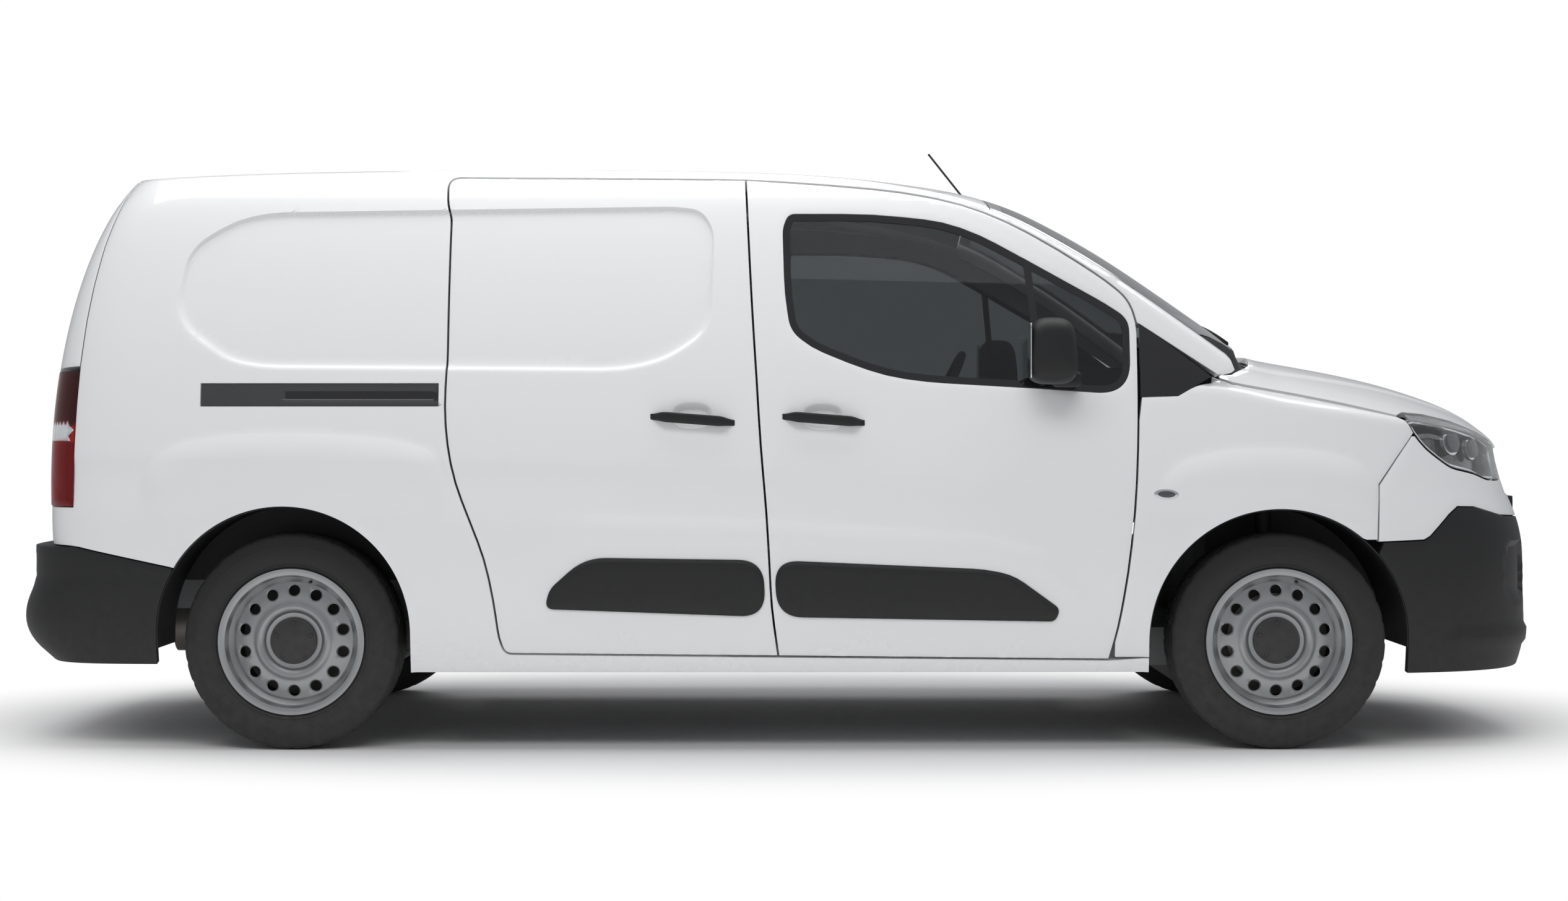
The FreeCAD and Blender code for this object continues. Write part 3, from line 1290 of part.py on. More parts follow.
def rear_axle():
    """Twist beam: cross tube, two trailing arms and the stub axles."""
    x = station(beam_station)
    beam = y_cylinder(x, beam_height, -arm_inner_y - arm_wall, arm_inner_y + arm_wall, beam_radius)
    for side in (-1, 1):
        y0, y1 = sorted((side * arm_inner_y, side * (arm_inner_y + arm_wall)))
        beam = beam.fuse(box(rear_axle_x - carrier_length / 2, x + 2 * carrier_length, y0, y1,
                             tyre_radius - arm_wall, tyre_radius + arm_wall))
        y0, y1 = sorted((side * (arm_inner_y + overlap), side * (track_rear / 2 + stub_reach)))
        beam = beam.fuse(y_cylinder(rear_axle_x, tyre_radius, y0, y1, stub_radius))
        y0, y1 = sorted((side * (arm_inner_y + overlap), side * (track_rear / 2 - carrier_wall)))
        beam = beam.fuse(y_cylinder(rear_axle_x, tyre_radius, y0, y1, carrier_length / 2))
        low = V(rear_axle_x - carrier_length / 4, side * (arm_inner_y + arm_wall / 2), tyre_radius)
        high = V(rear_axle_x - carrier_length, side * (rail_spacing / 2), damper_top)
        beam = beam.fuse(rod(low, V(low.x - carrier_length / 2, low.y, damper_top), damper_radius))
        mount = box(x + 1.2 * carrier_length, x + 2 * carrier_length, -arm_inner_y - arm_wall,
                    -rail_spacing / 2, tyre_radius + arm_wall - overlap, load_floor_height - floor_wall
                    - rail_depth - seat_gap)
        beam = beam.fuse(mount if side < 0 else mirrored(mount))
    return mains(beam)


def wheel_at(front, side, shape):
    """Carry a wheel part, built with its outer side towards -Y, to its axle end."""
    x = front_axle_x if front else rear_axle_x
    y = (track_front if front else track_rear) / 2
    placed = shape if side < 0 else mirrored(shape)
    return placed.translated(V(x, side * y, tyre_radius))


def turned(points):
    """Solid of revolution about the Y axis from (radius, outward) points."""
    wire = Part.makePolygon([V(r, -out, 0) for r, out in points + points[:1]])
    return Part.Face(wire).revolve(V(0, 0, 0), V(0, 1, 0), 360)


def wheel():
    """Pressed steel wheel: rim with a drop well, holed disc with its raised ring, hub and cap."""
    lip = rim_half_width - rim_wall
    inner_seat, inner_well = rim_seat_radius - rim_wall, rim_well_radius - rim_wall
    rim = turned([(rim_flange_radius, rim_half_width), (rim_flange_radius, lip), (rim_seat_radius, lip),
                  (rim_seat_radius, well_edge), (rim_well_radius, well_edge - well_slope),
                  (rim_well_radius, -well_back), (rim_seat_radius, -well_back - well_slope),
                  (rim_seat_radius, -lip), (rim_flange_radius, -lip), (rim_flange_radius, -rim_half_width),
                  (inner_seat, -rim_half_width), (inner_seat, -well_back - well_slope - rim_wall / 2),
                  (inner_well, -well_back - rim_wall / 2), (inner_well, well_edge - well_slope + rim_wall / 2),
                  (inner_seat, well_edge + rim_wall / 2), (inner_seat, rim_half_width)])
    face = wheel_offset + disc_wall
    bore = stub_radius + stub_clearance
    disc = turned([(0, face + cap_height), (hub_cap_radius - cap_height, face + cap_height),
                   (hub_cap_radius, face), (disc_ring_radius - ring_width, face),
                   (disc_ring_radius - ring_width / 2, face + ring_height), (disc_ring_radius, face + ring_height),
                   (disc_ring_radius + ring_width, face), (inner_well + rim_wall / 2, face - disc_dish),
                   (inner_well + rim_wall / 2, face - disc_dish - disc_wall),
                   (disc_ring_radius + ring_width, face - disc_wall), (hub_radius, face - disc_wall),
                   (hub_radius, hub_back), (bore, hub_back), (bore, face - cap_wall), (0, face - cap_wall)])
    for k in range(disc_hole_count):
        turn = 2 * math.pi * k / disc_hole_count
        x, z = disc_hole_circle * math.cos(turn), disc_hole_circle * math.sin(turn)
        disc = disc.cut(y_cylinder(x, z, -2 * rim_half_width, 0, disc_hole_radius))
    return rim.fuse(disc)


def tyre():
    """Hollow tyre seated on the rim, with a flat tread and bulged side walls."""
    bead = rim_seat_radius + seat_gap
    lip = rim_half_width - rim_wall - seat_gap
    half = tyre_width / 2
    side = [(bead, lip - bead_width), (bead, lip), (rim_flange_radius + seat_gap, lip),
            (rim_flange_radius + flange_cover, half - side_ease), (bulge_radius, half),
            (bulge_radius + flange_cover, half - side_ease), (tyre_radius - shoulder_drop, tread_half_width + side_ease),
            (tyre_radius, tread_half_width)]
    inside = [(tyre_radius - tread_wall, tread_half_width - side_ease), (bulge_radius, half - side_wall)]
    outline = side + [(r, -out) for r, out in reversed(side)]
    outline += [(r, -out) for r, out in reversed(inside)] + inside
    return turned(outline)


def exhaust():
    """Pipe from the engine along the floor to a silencer behind the rear axle and its tail pipe."""
    x = station(engine_station) + silencer_radius
    start = V(x, pipe_offset, pipe_height)
    muffler = station(silencer_station)
    pipe = rod(start, V(muffler - overlap, pipe_offset, pipe_height), pipe_radius)
    pipe = pipe.fuse(rod(start, V(x, pipe_offset, engine_base_height - seat_gap), pipe_radius))
    pipe = pipe.fuse(Part.makeSphere(pipe_radius, start))
    box_end = muffler - silencer_length
    pipe = pipe.fuse(rod(V(muffler, pipe_offset, silencer_height), V(box_end, pipe_offset, silencer_height),
                         silencer_radius))
    return mains(pipe.fuse(rod(V(box_end + overlap, pipe_offset, silencer_height),
                               V(station(tail_pipe_station), pipe_offset, silencer_height), pipe_radius)))


def fuel_tank():
    y0 = -(rail_spacing - rail_width) / 2 + seat_gap
    x1 = station(step_x_share) - floor_wall - seat_gap
    top = load_floor_height - floor_wall - seat_gap
    return rounded_box(x1 - tank_length, x1, y0, y0 + tank_width, top - tank_height, top, tank_rounding)



nodes = {}


def write_all():
    root = {
        "floor_pan": floor_pan, "body_sides": lambda: both(mains(body_sides())), "roof_panel": roof_panel,
        "bulkhead": bulkhead, "windscreen": windscreen, "front_wings": lambda: both(front_wings()),
        "scuttle": scuttle, "engine_bay": engine_bay, "engine_block": engine_block,
        "front_bumper": front_bumper, "front_skirt": front_skirt, "grille": grille, "headlamps": headlamps,
        "wipers": wipers, "antenna": antenna, "arch_liners": arch_liners, "sliding_doors": sliding_doors,
        "body_trims": body_trims, "tail_lamps": tail_lamps, "rear_bumper": rear_bumper,
        "rear_axle": rear_axle, "front_subframe": front_subframe, "exhaust": exhaust, "fuel_tank": fuel_tank,
        "dashboard": dashboard, "seats": seats, "bonnet": bonnet, "steering_wheel": steering_wheel,
    }
    paired = {"front_door": front_door, "door_glass": door_glass, "door_fittings": door_fittings,
              "rear_door": rear_doors, "knuckle": knuckle}
    for name, build in root.items():
        nodes[name] = build()
    for name, build in paired.items():
        right = build()
        nodes[name + "_right"], nodes[name + "_left"] = right, mirrored(right)
    steel, rubber = wheel(), tyre()
    for front in (True, False):
        for side in (-1, 1):
            end = ("front" if front else "rear") + ("_right" if side < 0 else "_left")
            nodes["wheel_" + end] = wheel_at(front, side, steel)
            nodes["tyre_" + end] = wheel_at(front, side, rubber)
    os.makedirs("parts", exist_ok=True)
    for name, shape in nodes.items():
        shape.exportStep("parts/" + name + ".step")


write_all()
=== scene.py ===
import json
import math

import bpy
import numpy as np
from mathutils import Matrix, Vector
from mathutils.geometry import delaunay_2d_cdt


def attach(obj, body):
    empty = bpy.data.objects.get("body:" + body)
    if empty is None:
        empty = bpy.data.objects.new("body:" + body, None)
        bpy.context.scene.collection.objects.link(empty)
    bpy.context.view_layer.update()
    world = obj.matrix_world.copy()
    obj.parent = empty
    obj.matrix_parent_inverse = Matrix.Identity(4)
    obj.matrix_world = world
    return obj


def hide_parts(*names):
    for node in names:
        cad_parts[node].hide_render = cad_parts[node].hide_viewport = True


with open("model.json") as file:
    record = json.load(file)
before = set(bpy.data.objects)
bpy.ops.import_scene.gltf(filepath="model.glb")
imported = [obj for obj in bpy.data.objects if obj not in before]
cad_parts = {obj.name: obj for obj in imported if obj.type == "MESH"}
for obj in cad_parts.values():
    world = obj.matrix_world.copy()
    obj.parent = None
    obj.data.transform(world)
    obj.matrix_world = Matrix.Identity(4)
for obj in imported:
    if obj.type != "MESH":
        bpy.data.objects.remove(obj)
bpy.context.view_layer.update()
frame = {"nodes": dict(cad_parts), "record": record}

# Panel van. Lengths here are millimetres in the frame of the CAD part and become metres in each mesh.
# Stations run from -1 at the tail over the rear axle 0 and front axle 1 to 2 at the nose.

WHEELBASE, FRONT_OVERHANG, REAR_OVERHANG = 2975.0, 892.0, 886.0
HALF_WIDTH, ROOF = 920.5, 1812.0
REAR_AXLE = (REAR_OVERHANG - FRONT_OVERHANG - WHEELBASE) / 2
FRONT_AXLE = REAR_AXLE + WHEELBASE
TYRE_RADIUS = 326.0
WALL, GAP = 50.0, 6.5
HALF_GAP = GAP / 2
NOSE_SHARE = 0.7
WHEEL_HOLES, HOLE_CIRCLE, HOLE_RADIUS = 14, 152.0, 16.0
RECESS_DEPTH, RAIL_DEPTH, CUP_DEPTH, WAIST_DEPTH = 13, 12, 24, 4.2
FLARE_RISE, LIP_RISE, SCULPT_RISE = 12, 4.0, 6.0
# Makes the crest of t (1 - t) ** 2 one
CREST = 6.75
CORNER_X, CORNER_Z = -2036.0, 1717.0

# Height, half width, tail station, tail squareness, nose station, nose squareness of the level sections
SECTIONS = [
    (0.110, 0.960, -0.841, 8.0, 1.955, 3.8), (0.145, 0.974, -0.848, 8.0, 1.980, 3.8),
    (0.179, 0.986, -0.853, 8.0, 1.995, 3.8), (0.232, 0.993, -0.858, 8.0, 1.985, 3.8),
    (0.278, 0.997, -0.862, 8.0, 1.990, 3.8), (0.340, 0.999, -0.871, 8.0, 1.986, 3.7),
    (0.386, 1.000, -0.875, 8.0, 1.970, 3.5), (0.425, 0.9995, -0.877, 8.0, 1.936, 3.3),
    (0.487, 0.995, -0.878, 8.0, 1.914, 3.1), (0.576, 0.981, -0.869, 8.0, 1.905, 3.0),
    (0.666, 0.956, -0.846, 8.0, 1.905, 3.0), (0.745, 0.923, -0.815, 8.0, 1.905, 3.0),
    (0.825, 0.882, -0.773, 7.5, 1.905, 3.0), (0.894, 0.836, -0.724, 6.5, 1.905, 3.0),
    (0.944, 0.784, -0.674, 5.5, 1.905, 3.0), (0.975, 0.720, -0.635, 4.8, 1.905, 3.0),
    (1.000, 0.640, -0.600, 4.2, 1.905, 3.0),
]
BUMPER_SECTIONS = [
    (0.125, 0.960, -0.860), (0.145, 0.974, -0.890), (0.163, 0.981, -0.945), (0.188, 0.988, -0.985),
    (0.214, 0.991, -1.000), (0.247, 0.995, -0.988), (0.272, 0.997, -0.957), (0.309, 0.998, -0.954),
    (0.338, 0.999, -0.956), (0.355, 0.9995, -0.957),
]
SAMPLES = [
    0.0, 0.03, 0.06, 0.085, 0.102, 0.114, 0.123, 0.131, 0.139, 0.148, 0.160, 0.178, 0.205, 0.25,
    0.31, 0.38, 0.45, 0.52, 0.59, 0.65, 0.70, 0.735, 0.765, 0.79, 0.812, 0.832, 0.850, 0.867,
    0.884, 0.902, 0.922, 0.945, 0.971, 1.0,
]
ROOF_LINE = [
    (-1.05, 0.945), (-0.85, 0.962), (-0.744, 0.971), (-0.564, 0.983), (-0.24, 0.991), (0.036, 0.996),
    (0.25, 0.999), (0.42, 0.996), (0.5, 0.992), (0.567, 0.985), (0.639, 0.974), (0.690, 0.962),
    (0.739, 0.940), (0.783, 0.907), (0.837, 0.857), (0.892, 0.797), (0.94, 0.742), (0.97, 0.707),
    (1.02, 0.660), (1.10, 0.610), (1.25, 0.560),
]
BONNET_LINE = [
    (0.85, 0.690), (0.938, 0.682), (0.991, 0.670), (1.058, 0.658), (1.266, 0.640), (1.457, 0.620),
    (1.608, 0.598), (1.732, 0.575), (1.817, 0.552), (1.874, 0.528), (1.905, 0.505), (1.945, 0.462),
    (2.05, 0.36),
]
TAIL_SEAM = [
    (-0.560, 1.03), (-0.616, 0.948), (-0.639, 0.903), (-0.670, 0.842), (-0.694, 0.774), (-0.710, 0.715),
    (-0.725, 0.635), (-0.732, 0.573), (-0.737, 0.506), (-0.740, 0.442), (-0.741, 0.25),
]
SLIDE_REAR = [
    (0.151, 0.962), (0.153, 0.913), (0.157, 0.893), (0.158, 0.640), (0.156, 0.574), (0.159, 0.508),
    (0.167, 0.444), (0.182, 0.382), (0.197, 0.319), (0.206, 0.250), (0.211, 0.188), (0.217, 0.161),
]
SPLIT = [
    (0.459, 0.958), (0.466, 0.740), (0.471, 0.615), (0.475, 0.506), (0.481, 0.396), (0.484, 0.310),
    (0.486, 0.240), (0.493, 0.157),
]
DOOR_TOP = [
    (0.538, 0.949), (0.619, 0.936), (0.680, 0.915), (0.728, 0.883), (0.779, 0.835), (0.826, 0.783),
    (0.848, 0.752), (0.857, 0.712),
]
DOOR_FRONT = [
    (0.857, 0.586), (0.856, 0.500), (0.853, 0.400), (0.846, 0.295), (0.836, 0.204), (0.827, 0.151),
]
WINDOW = [
    (0.497, 0.872), (0.503, 0.897), (0.591, 0.897), (0.661, 0.884), (0.699, 0.861), (0.751, 0.813),
    (0.826, 0.743), (0.849, 0.717), (0.849, 0.590), (0.749, 0.601), (0.643, 0.611), (0.602, 0.621),
    (0.563, 0.643), (0.526, 0.669), (0.505, 0.697), (0.499, 0.760),
]
QUARTER = [(0.8588, 0.712), (0.932, 0.621), (0.914, 0.604), (0.897, 0.588), (0.8588, 0.586)]
WING_TOP = [(0.938, 0.622), (0.956, 0.608), (1.069, 0.590), (1.240, 0.573), (1.418, 0.554)]
LAMP = [
    (1.438, 0.551), (1.452, 0.559), (1.536, 0.556), (1.644, 0.545), (1.754, 0.525), (1.860, 0.497),
    (1.860, 0.446), (1.764, 0.447), (1.710, 0.458), (1.610, 0.468), (1.571, 0.480), (1.510, 0.501),
    (1.466, 0.527),
]
RECESS = [
    (-0.095, 0.899), (-0.212, 0.886), (-0.369, 0.838), (-0.414, 0.711), (-0.221, 0.643), (-0.100, 0.631),
    (0.335, 0.626), (0.380, 0.643), (0.427, 0.696), (0.427, 0.869), (0.414, 0.903), (0.388, 0.909),
]
RAIL = [(-0.306, 0.571), (0.150, 0.571), (0.150, 0.610), (-0.306, 0.610)]
SLIDE_CLADDING = [(0.258, 0.236), (0.262, 0.268), (0.298, 0.321), (0.478, 0.317), (0.480, 0.223)]
DOOR_CLADDING = [(0.4885, 0.317), (0.701, 0.302), (0.730, 0.292), (0.777, 0.236), (0.772, 0.215),
                 (0.492, 0.223)]
SKIRT_TOP = [
    (1.336, 0.345), (1.495, 0.348), (1.517, 0.354), (1.590, 0.390), (1.625, 0.403), (1.692, 0.402),
    (1.804, 0.387), (2.100, 0.375),
]


def station(share):
    """Place along the van of a station."""
    if share < 0:
        return REAR_AXLE + share * REAR_OVERHANG
    if share <= 1:
        return REAR_AXLE + share * WHEELBASE
    return FRONT_AXLE + (share - 1) * FRONT_OVERHANG


def height(share):
    """Height of a share of the roof's height."""
    return share * ROOF


def side_points(shares):
    """Places (x, z) of (station, height) pairs; a third value, a corner's radius, stays."""
    return [(station(p[0]), height(p[1])) + tuple(p[2:]) for p in shares]


def along(table, x):
    """Smooth curve through a table of (place, value) pairs, straight beyond its ends, as in the CAD."""
    last = len(table) - 1
    slopes = []
    for i in range(last + 1):
        before, after = table[max(i - 1, 0)], table[min(i + 1, last)]
        slopes.append((after[1] - before[1]) / (after[0] - before[0]))
    if x <= table[0][0]:
        return table[0][1] + slopes[0] * (x - table[0][0])
    if x >= table[last][0]:
        return table[last][1] + slopes[last] * (x - table[last][0])
    i = max(k for k in range(last) if table[k][0] <= x)
    (x0, y0), (x1, y1) = table[i], table[i + 1]
    span = x1 - x0
    t = (x - x0) / span
    return (y0 * (1 + 2 * t) * (1 - t) ** 2 + slopes[i] * span * t * (1 - t) ** 2
            + y1 * t * t * (3 - 2 * t) + slopes[i + 1] * span * t * t * (t - 1))


def section_outline(width, tail, tail_power, nose, nose_power):
    """Points of one level section, from the tail's centre along one side to the nose's centre."""
    bend_tail, bend_nose, widest = station(-0.236), station(0.972), station(0.43)

    def side(x):
        reach = (x - widest) / (bend_nose - widest) if x > widest else (widest - x) / (widest - bend_tail)
        y = width * (1 - (0.022 if x > widest else 0.012) * reach ** 2)
        if x > bend_nose:
            y *= max(0.0, 1 - ((x - bend_nose) / (nose - bend_nose)) ** nose_power) ** (1 / nose_power)
        if x < bend_tail:
            y *= max(0.0, 1 - ((bend_tail - x) / (bend_tail - tail)) ** tail_power) ** (1 / tail_power)
        return y

    steps = 160
    turns = [math.pi / 2 * k / steps for k in range(steps + 1)]
    curve = [bend_tail - (bend_tail - tail) * math.cos(t) ** (2 / tail_power) for t in turns]
    curve += [bend_tail + (bend_nose - bend_tail) * k / steps for k in range(1, steps)]
    curve += [bend_nose + (nose - bend_nose) * math.sin(t) ** (2 / nose_power) for t in turns]
    places = np.array([(x, side(x)) for x in curve])
    places[0], places[-1] = (tail, 0.0), (nose, 0.0)
    lengths = np.concatenate([[0], np.cumsum(np.hypot(*np.diff(places, axis=0).T))])
    targets = np.array(SAMPLES) * lengths[-1]
    samples = np.stack([np.interp(targets, lengths, places[:, k]) for k in (0, 1)], 1)
    samples[0], samples[-1] = places[0], places[-1]
    return samples


def spline_weights(count, u):
    """Weights of count control points on a clamped uniform cubic spline at u from 0 to count - 3."""
    knots = np.concatenate([[0.0] * 3, np.arange(count - 2), [count - 3.0] * 3])
    u = np.clip(np.asarray(u, float), 0, count - 3 - 1e-9)[:, None]
    weights = ((knots[:-1] <= u) & (u < knots[1:])).astype(float)
    for degree in (1, 2, 3):
        left, right = knots[:-degree - 1], knots[degree + 1:]
        rise = knots[degree:-1] - left
        fall = right - knots[1:len(knots) - degree]
        weights = (np.where(rise > 0, (u - left) / np.where(rise > 0, rise, 1), 0) * weights[:, :-1]
                   + np.where(fall > 0, (right - u) / np.where(fall > 0, fall, 1), 0) * weights[:, 1:])
    return weights


class Shell:
    """The body's side surface: level sections joined by a smooth spline, open at top and bottom.

    A point is given by its run along the section, in millimetres from the tail's centre, and its height."""

    def __init__(self, levels):
        self.z_poles = np.array([level[0] for level in levels])
        nets = [section_outline(*level[1:]) for level in levels]
        self.net = np.array(nets)
        rows, columns = len(levels), len(SAMPLES)
        u = np.linspace(0, rows - 3, 1500)
        self.u_table, self.z_table = u, spline_weights(rows, u) @ self.z_poles
        v = np.linspace(0, columns - 3, 3000)
        middle = np.full(len(v), (rows - 3) * 0.45)
        xy = self.at_uv(middle, v)[:, :2]
        self.v_table = v
        self.run_table = np.concatenate([[0], np.cumsum(np.hypot(*np.diff(xy, axis=0).T))])
        self.end = self.run_table[-1]

    def at_uv(self, u, v):
        """Points of the right side at spline parameters."""
        rows = spline_weights(len(self.z_poles), u)
        across = np.einsum("nr,rck->nck", rows, self.net)
        xy = np.einsum("nc,nck->nk", spline_weights(len(SAMPLES), v), across)
        return np.concatenate([xy * [1, -1], (rows @ self.z_poles)[:, None]], 1)

    def at(self, run, z):
        """Points of the right side; a run below 0 or past the end carries on over the left side."""
        run = np.asarray(run, float)
        folded = np.where(run < 0, -run, np.where(run > self.end, 2 * self.end - run, run))
        flip = (run < 0) | (run > self.end)
        points = self.at_uv(np.interp(z, self.z_table, self.u_table),
                            np.interp(folded, self.run_table, self.v_table))
        points[flip, 1] *= -1
        return points

    def normal(self, run, z, step=4.0):
        """Directions straight out of the side."""
        run, z = np.asarray(run, float), np.asarray(z, float)
        low, high = self.z_table[0], self.z_table[-1]
        a = self.at(run + step, z) - self.at(run - step, z)
        b = self.at(run, np.minimum(z + step, high)) - self.at(run, np.maximum(z - step, low))
        n = np.cross(a, b)
        return n / np.linalg.norm(n, axis=1)[:, None]

    def run_of(self, value, z, axis=0, low=None, high=None):
        """Run at which the surface reaches a place x (axis 0) or half width (axis 1) at a height."""
        value, z = np.broadcast_arrays(np.asarray(value, float), np.asarray(z, float))
        lo = np.full(value.shape, 0.0 if low is None else low)
        hi = np.full(value.shape, self.end if high is None else high)
        rising = 1 if (axis == 0 or (low or 0) == 0) else -1
        for _ in range(26):
            middle = (lo + hi) / 2
            here = self.at(middle, z)
            here = here[:, 0] if axis == 0 else -here[:, 1]
            above = (here - value) * rising > 0
            hi, lo = np.where(above, middle, hi), np.where(above, lo, middle)
        return (lo + hi) / 2


class Top:
    """A top surface over (x, y): the roof with the windscreen, or the bonnet."""

    def __init__(self, line, z_of):
        stations = [row[0] for row in line]
        middles = [(a + b) / 2 for a, b in zip(stations, stations[1:])]
        self.xs = np.array([station(s) for s in sorted(stations + middles)])
        self.ys = 2 * HALF_WIDTH * np.array((-0.6, -0.46, -0.33, -0.2, -0.07, 0.07, 0.2, 0.33, 0.46, 0.6))
        self.net = np.array([[z_of(x, y) for y in self.ys] for x in self.xs])
        self.tables = []
        for poles in (self.xs, self.ys):
            u = np.linspace(0, len(poles) - 3, 3000)
            self.tables.append((spline_weights(len(poles), u) @ poles, u))

    def z(self, x, y):
        """Heights of the surface."""
        (xt, xu), (yt, yu) = self.tables
        a = spline_weights(len(self.xs), np.interp(x, xt, xu))
        b = spline_weights(len(self.ys), np.interp(y, yt, yu))
        return np.einsum("nr,rc,nc->n", a, self.net, b)

    def at(self, x, y):
        x, y = np.asarray(x, float), np.asarray(y, float)
        return np.stack([x, y, self.z(x, y)], 1)

    def normal(self, x, y, step=5.0):
        """Directions straight up from the surface."""
        x, y = np.asarray(x, float), np.asarray(y, float)
        dx = (self.z(x + step, y) - self.z(x - step, y)) / (2 * step)
        dy = (self.z(x, y + step) - self.z(x, y - step)) / (2 * step)
        n = np.stack([-dx, -dy, np.ones_like(dx)], 1)
        return n / np.linalg.norm(n, axis=1)[:, None]


def roof_z(x, y):
    """Height of the roof's control net at a place."""
    places = [(station(s), height(h)) for s, h in ROOF_LINE]
    start, end = station(0.55), station(0.80)
    t = min(1.0, max(0.0, (x - start) / (end - start)))
    return along(places, x) - (46.0 + 46.0 * t * t * (3 - 2 * t)) * (y / 700.0) ** 2


def bonnet_z(x, y):
    """Height of the bonnet's control net at a place."""
    places = [(station(s), height(h)) for s, h in BONNET_LINE]
    reach = abs(y) / 800.0
    return along(places, x + 60.0 * reach ** 2) - 100.0 * reach ** 2.4


LEVELS = [(height(z), w * HALF_WIDTH, station(t), tp, station(n), np_) for z, w, t, tp, n, np_ in SECTIONS]
BUMPER_LEVELS = [(height(z), w * HALF_WIDTH, station(t), 6.0, station(1.9), 3.0)
                 for z, w, t in BUMPER_SECTIONS]
body = Shell(LEVELS)
tail_bumper = Shell(BUMPER_LEVELS)
roof = Top(ROOF_LINE, roof_z)
hood = Top(BONNET_LINE, bonnet_z)


def resample(points, spacing, closed=True):
    """Points along a line at about even spacing, with its sharp corners kept."""
    points = np.asarray(points, float)
    ring = np.concatenate([points, points[:1]]) if closed else points
    result = []
    for a, b in zip(ring, ring[1:]):
        count = max(1, int(round(np.hypot(*(b - a)[:2]) / spacing)))
        result += [a + (b - a) * k / count for k in range(count)]
    if not closed:
        result.append(ring[-1])
    return np.array(result)


def rounded(points):
    """Outline with its corners eased as in the CAD source, as a dense line."""
    corners = []
    for i, point in enumerate(points):
        here = np.array(point[:2], float)
        back = np.array(points[i - 1][:2], float) - here
        ahead = np.array(points[(i + 1) % len(points)][:2], float) - here
        lengths = np.hypot(*back), np.hypot(*ahead)
        back, ahead = back / lengths[0], ahead / lengths[1]
        turn = math.pi - math.acos(max(-1.0, min(1.0, float(back @ ahead))))
        reach = 0.45 * min(lengths)
        if len(point) > 2:
            reach = min(reach, point[2] * math.tan(turn / 2))
        if reach < 0.01 or turn < 0.01:
            corners.append(here)
            continue
        steps = max(2, int(math.degrees(turn) / 7))
        start, end = here + back * reach, here + ahead * reach
        for k in range(steps + 1):
            t = k / steps
            corners.append((1 - t) ** 2 * start + 2 * t * (1 - t) * here + t * t * end)
    return np.array(corners)


def moved_out(points, gap):
    """Dense outline moved out by gap; a negative gap moves it in."""
    points = np.asarray(points, float)
    x, y = points.T[:2]
    area = np.sum(x * np.roll(y, -1) - np.roll(x, -1) * y)
    before, after = points - np.roll(points, 1, 0), np.roll(points, -1, 0) - points
    before /= np.maximum(np.linalg.norm(before, axis=1), 1e-9)[:, None]
    after /= np.maximum(np.linalg.norm(after, axis=1), 1e-9)[:, None]
    normal = np.stack([before[:, 1] + after[:, 1], -before[:, 0] - after[:, 0]], 1)
    normal /= np.maximum(np.linalg.norm(normal, axis=1), 1e-9)[:, None]
    share = np.maximum(0.5, np.sum(normal * np.stack([before[:, 1], -before[:, 0]], 1), 1))
    return points + normal * (np.sign(area) * gap / share)[:, None]


def inside(points, ring):
    """Which points lie inside a closed line."""
    result = np.zeros(len(points), bool)
    px, py = points[:, 0], points[:, 1]
    for (x0, y0), (x1, y1) in zip(ring, np.roll(ring, -1, 0)):
        if y0 == y1:
            continue
        crosses = (y0 > py) != (y1 > py)
        result ^= crosses & (px < (x1 - x0) * (py - y0) / (y1 - y0) + x0)
    return result


def distance(points, line, closed=True):
    """Distance of points from a line."""
    best = np.full(len(points), 1e9)
    pairs = zip(line, np.roll(line, -1, 0)) if closed else zip(line[:-1], line[1:])
    for a, b in pairs:
        d = b - a
        t = np.clip(((points - a) @ d) / max(d @ d, 1e-9), 0, 1)
        best = np.minimum(best, np.hypot(*(points - a - t[:, None] * d).T))
    return best


def ease(t):
    """Smooth step from 0 to 1 as t goes from 0 to 1."""
    t = np.clip(t, 0, 1)
    return t * t * (3 - 2 * t)


def bulge(value, power):
    """A sine or cosine with its curve squared off by a power below 1."""
    return math.copysign(abs(value) ** power, value)


def round_turn(count):
    """Cosine and sine of even steps round a full turn."""
    turns = [2 * math.pi * k / count for k in range(count)]
    return [(math.cos(a), math.sin(a)) for a in turns]


def run_at(x, z, shell=None):
    """Run at which the side passes one station x at one height."""
    return float((shell or body).run_of(np.array([x]), np.array([z]))[0])


def tail_run(half, z):
    """Run at which the tail's face reaches a half width at one height."""
    return float(body.run_of(np.array([half]), np.array([z]), axis=1)[0])


def nose_run(half, z):
    """Run at which the nose has narrowed to a half width at one height."""
    return float(body.run_of(np.array([half]), np.array([z]), axis=1, low=body.end * NOSE_SHARE)[0])


def nose_runs(half, zs):
    """The same for a list of heights."""
    return body.run_of(np.full(len(zs), half), zs, axis=1, low=body.end * NOSE_SHARE)


def signed(points, ring):
    """Distance of points from a closed line, above zero inside it."""
    d = distance(points, ring)
    return np.where(inside(points, ring), d, -d)


def to_run(points, shell=None, z_shift=0.0):
    """Side view points (x, z) of the right side as (run, height) points."""
    points = np.asarray(points, float)
    shell = shell or body
    return np.stack([shell.run_of(points[:, 0], points[:, 1]), points[:, 1] + z_shift], 1)


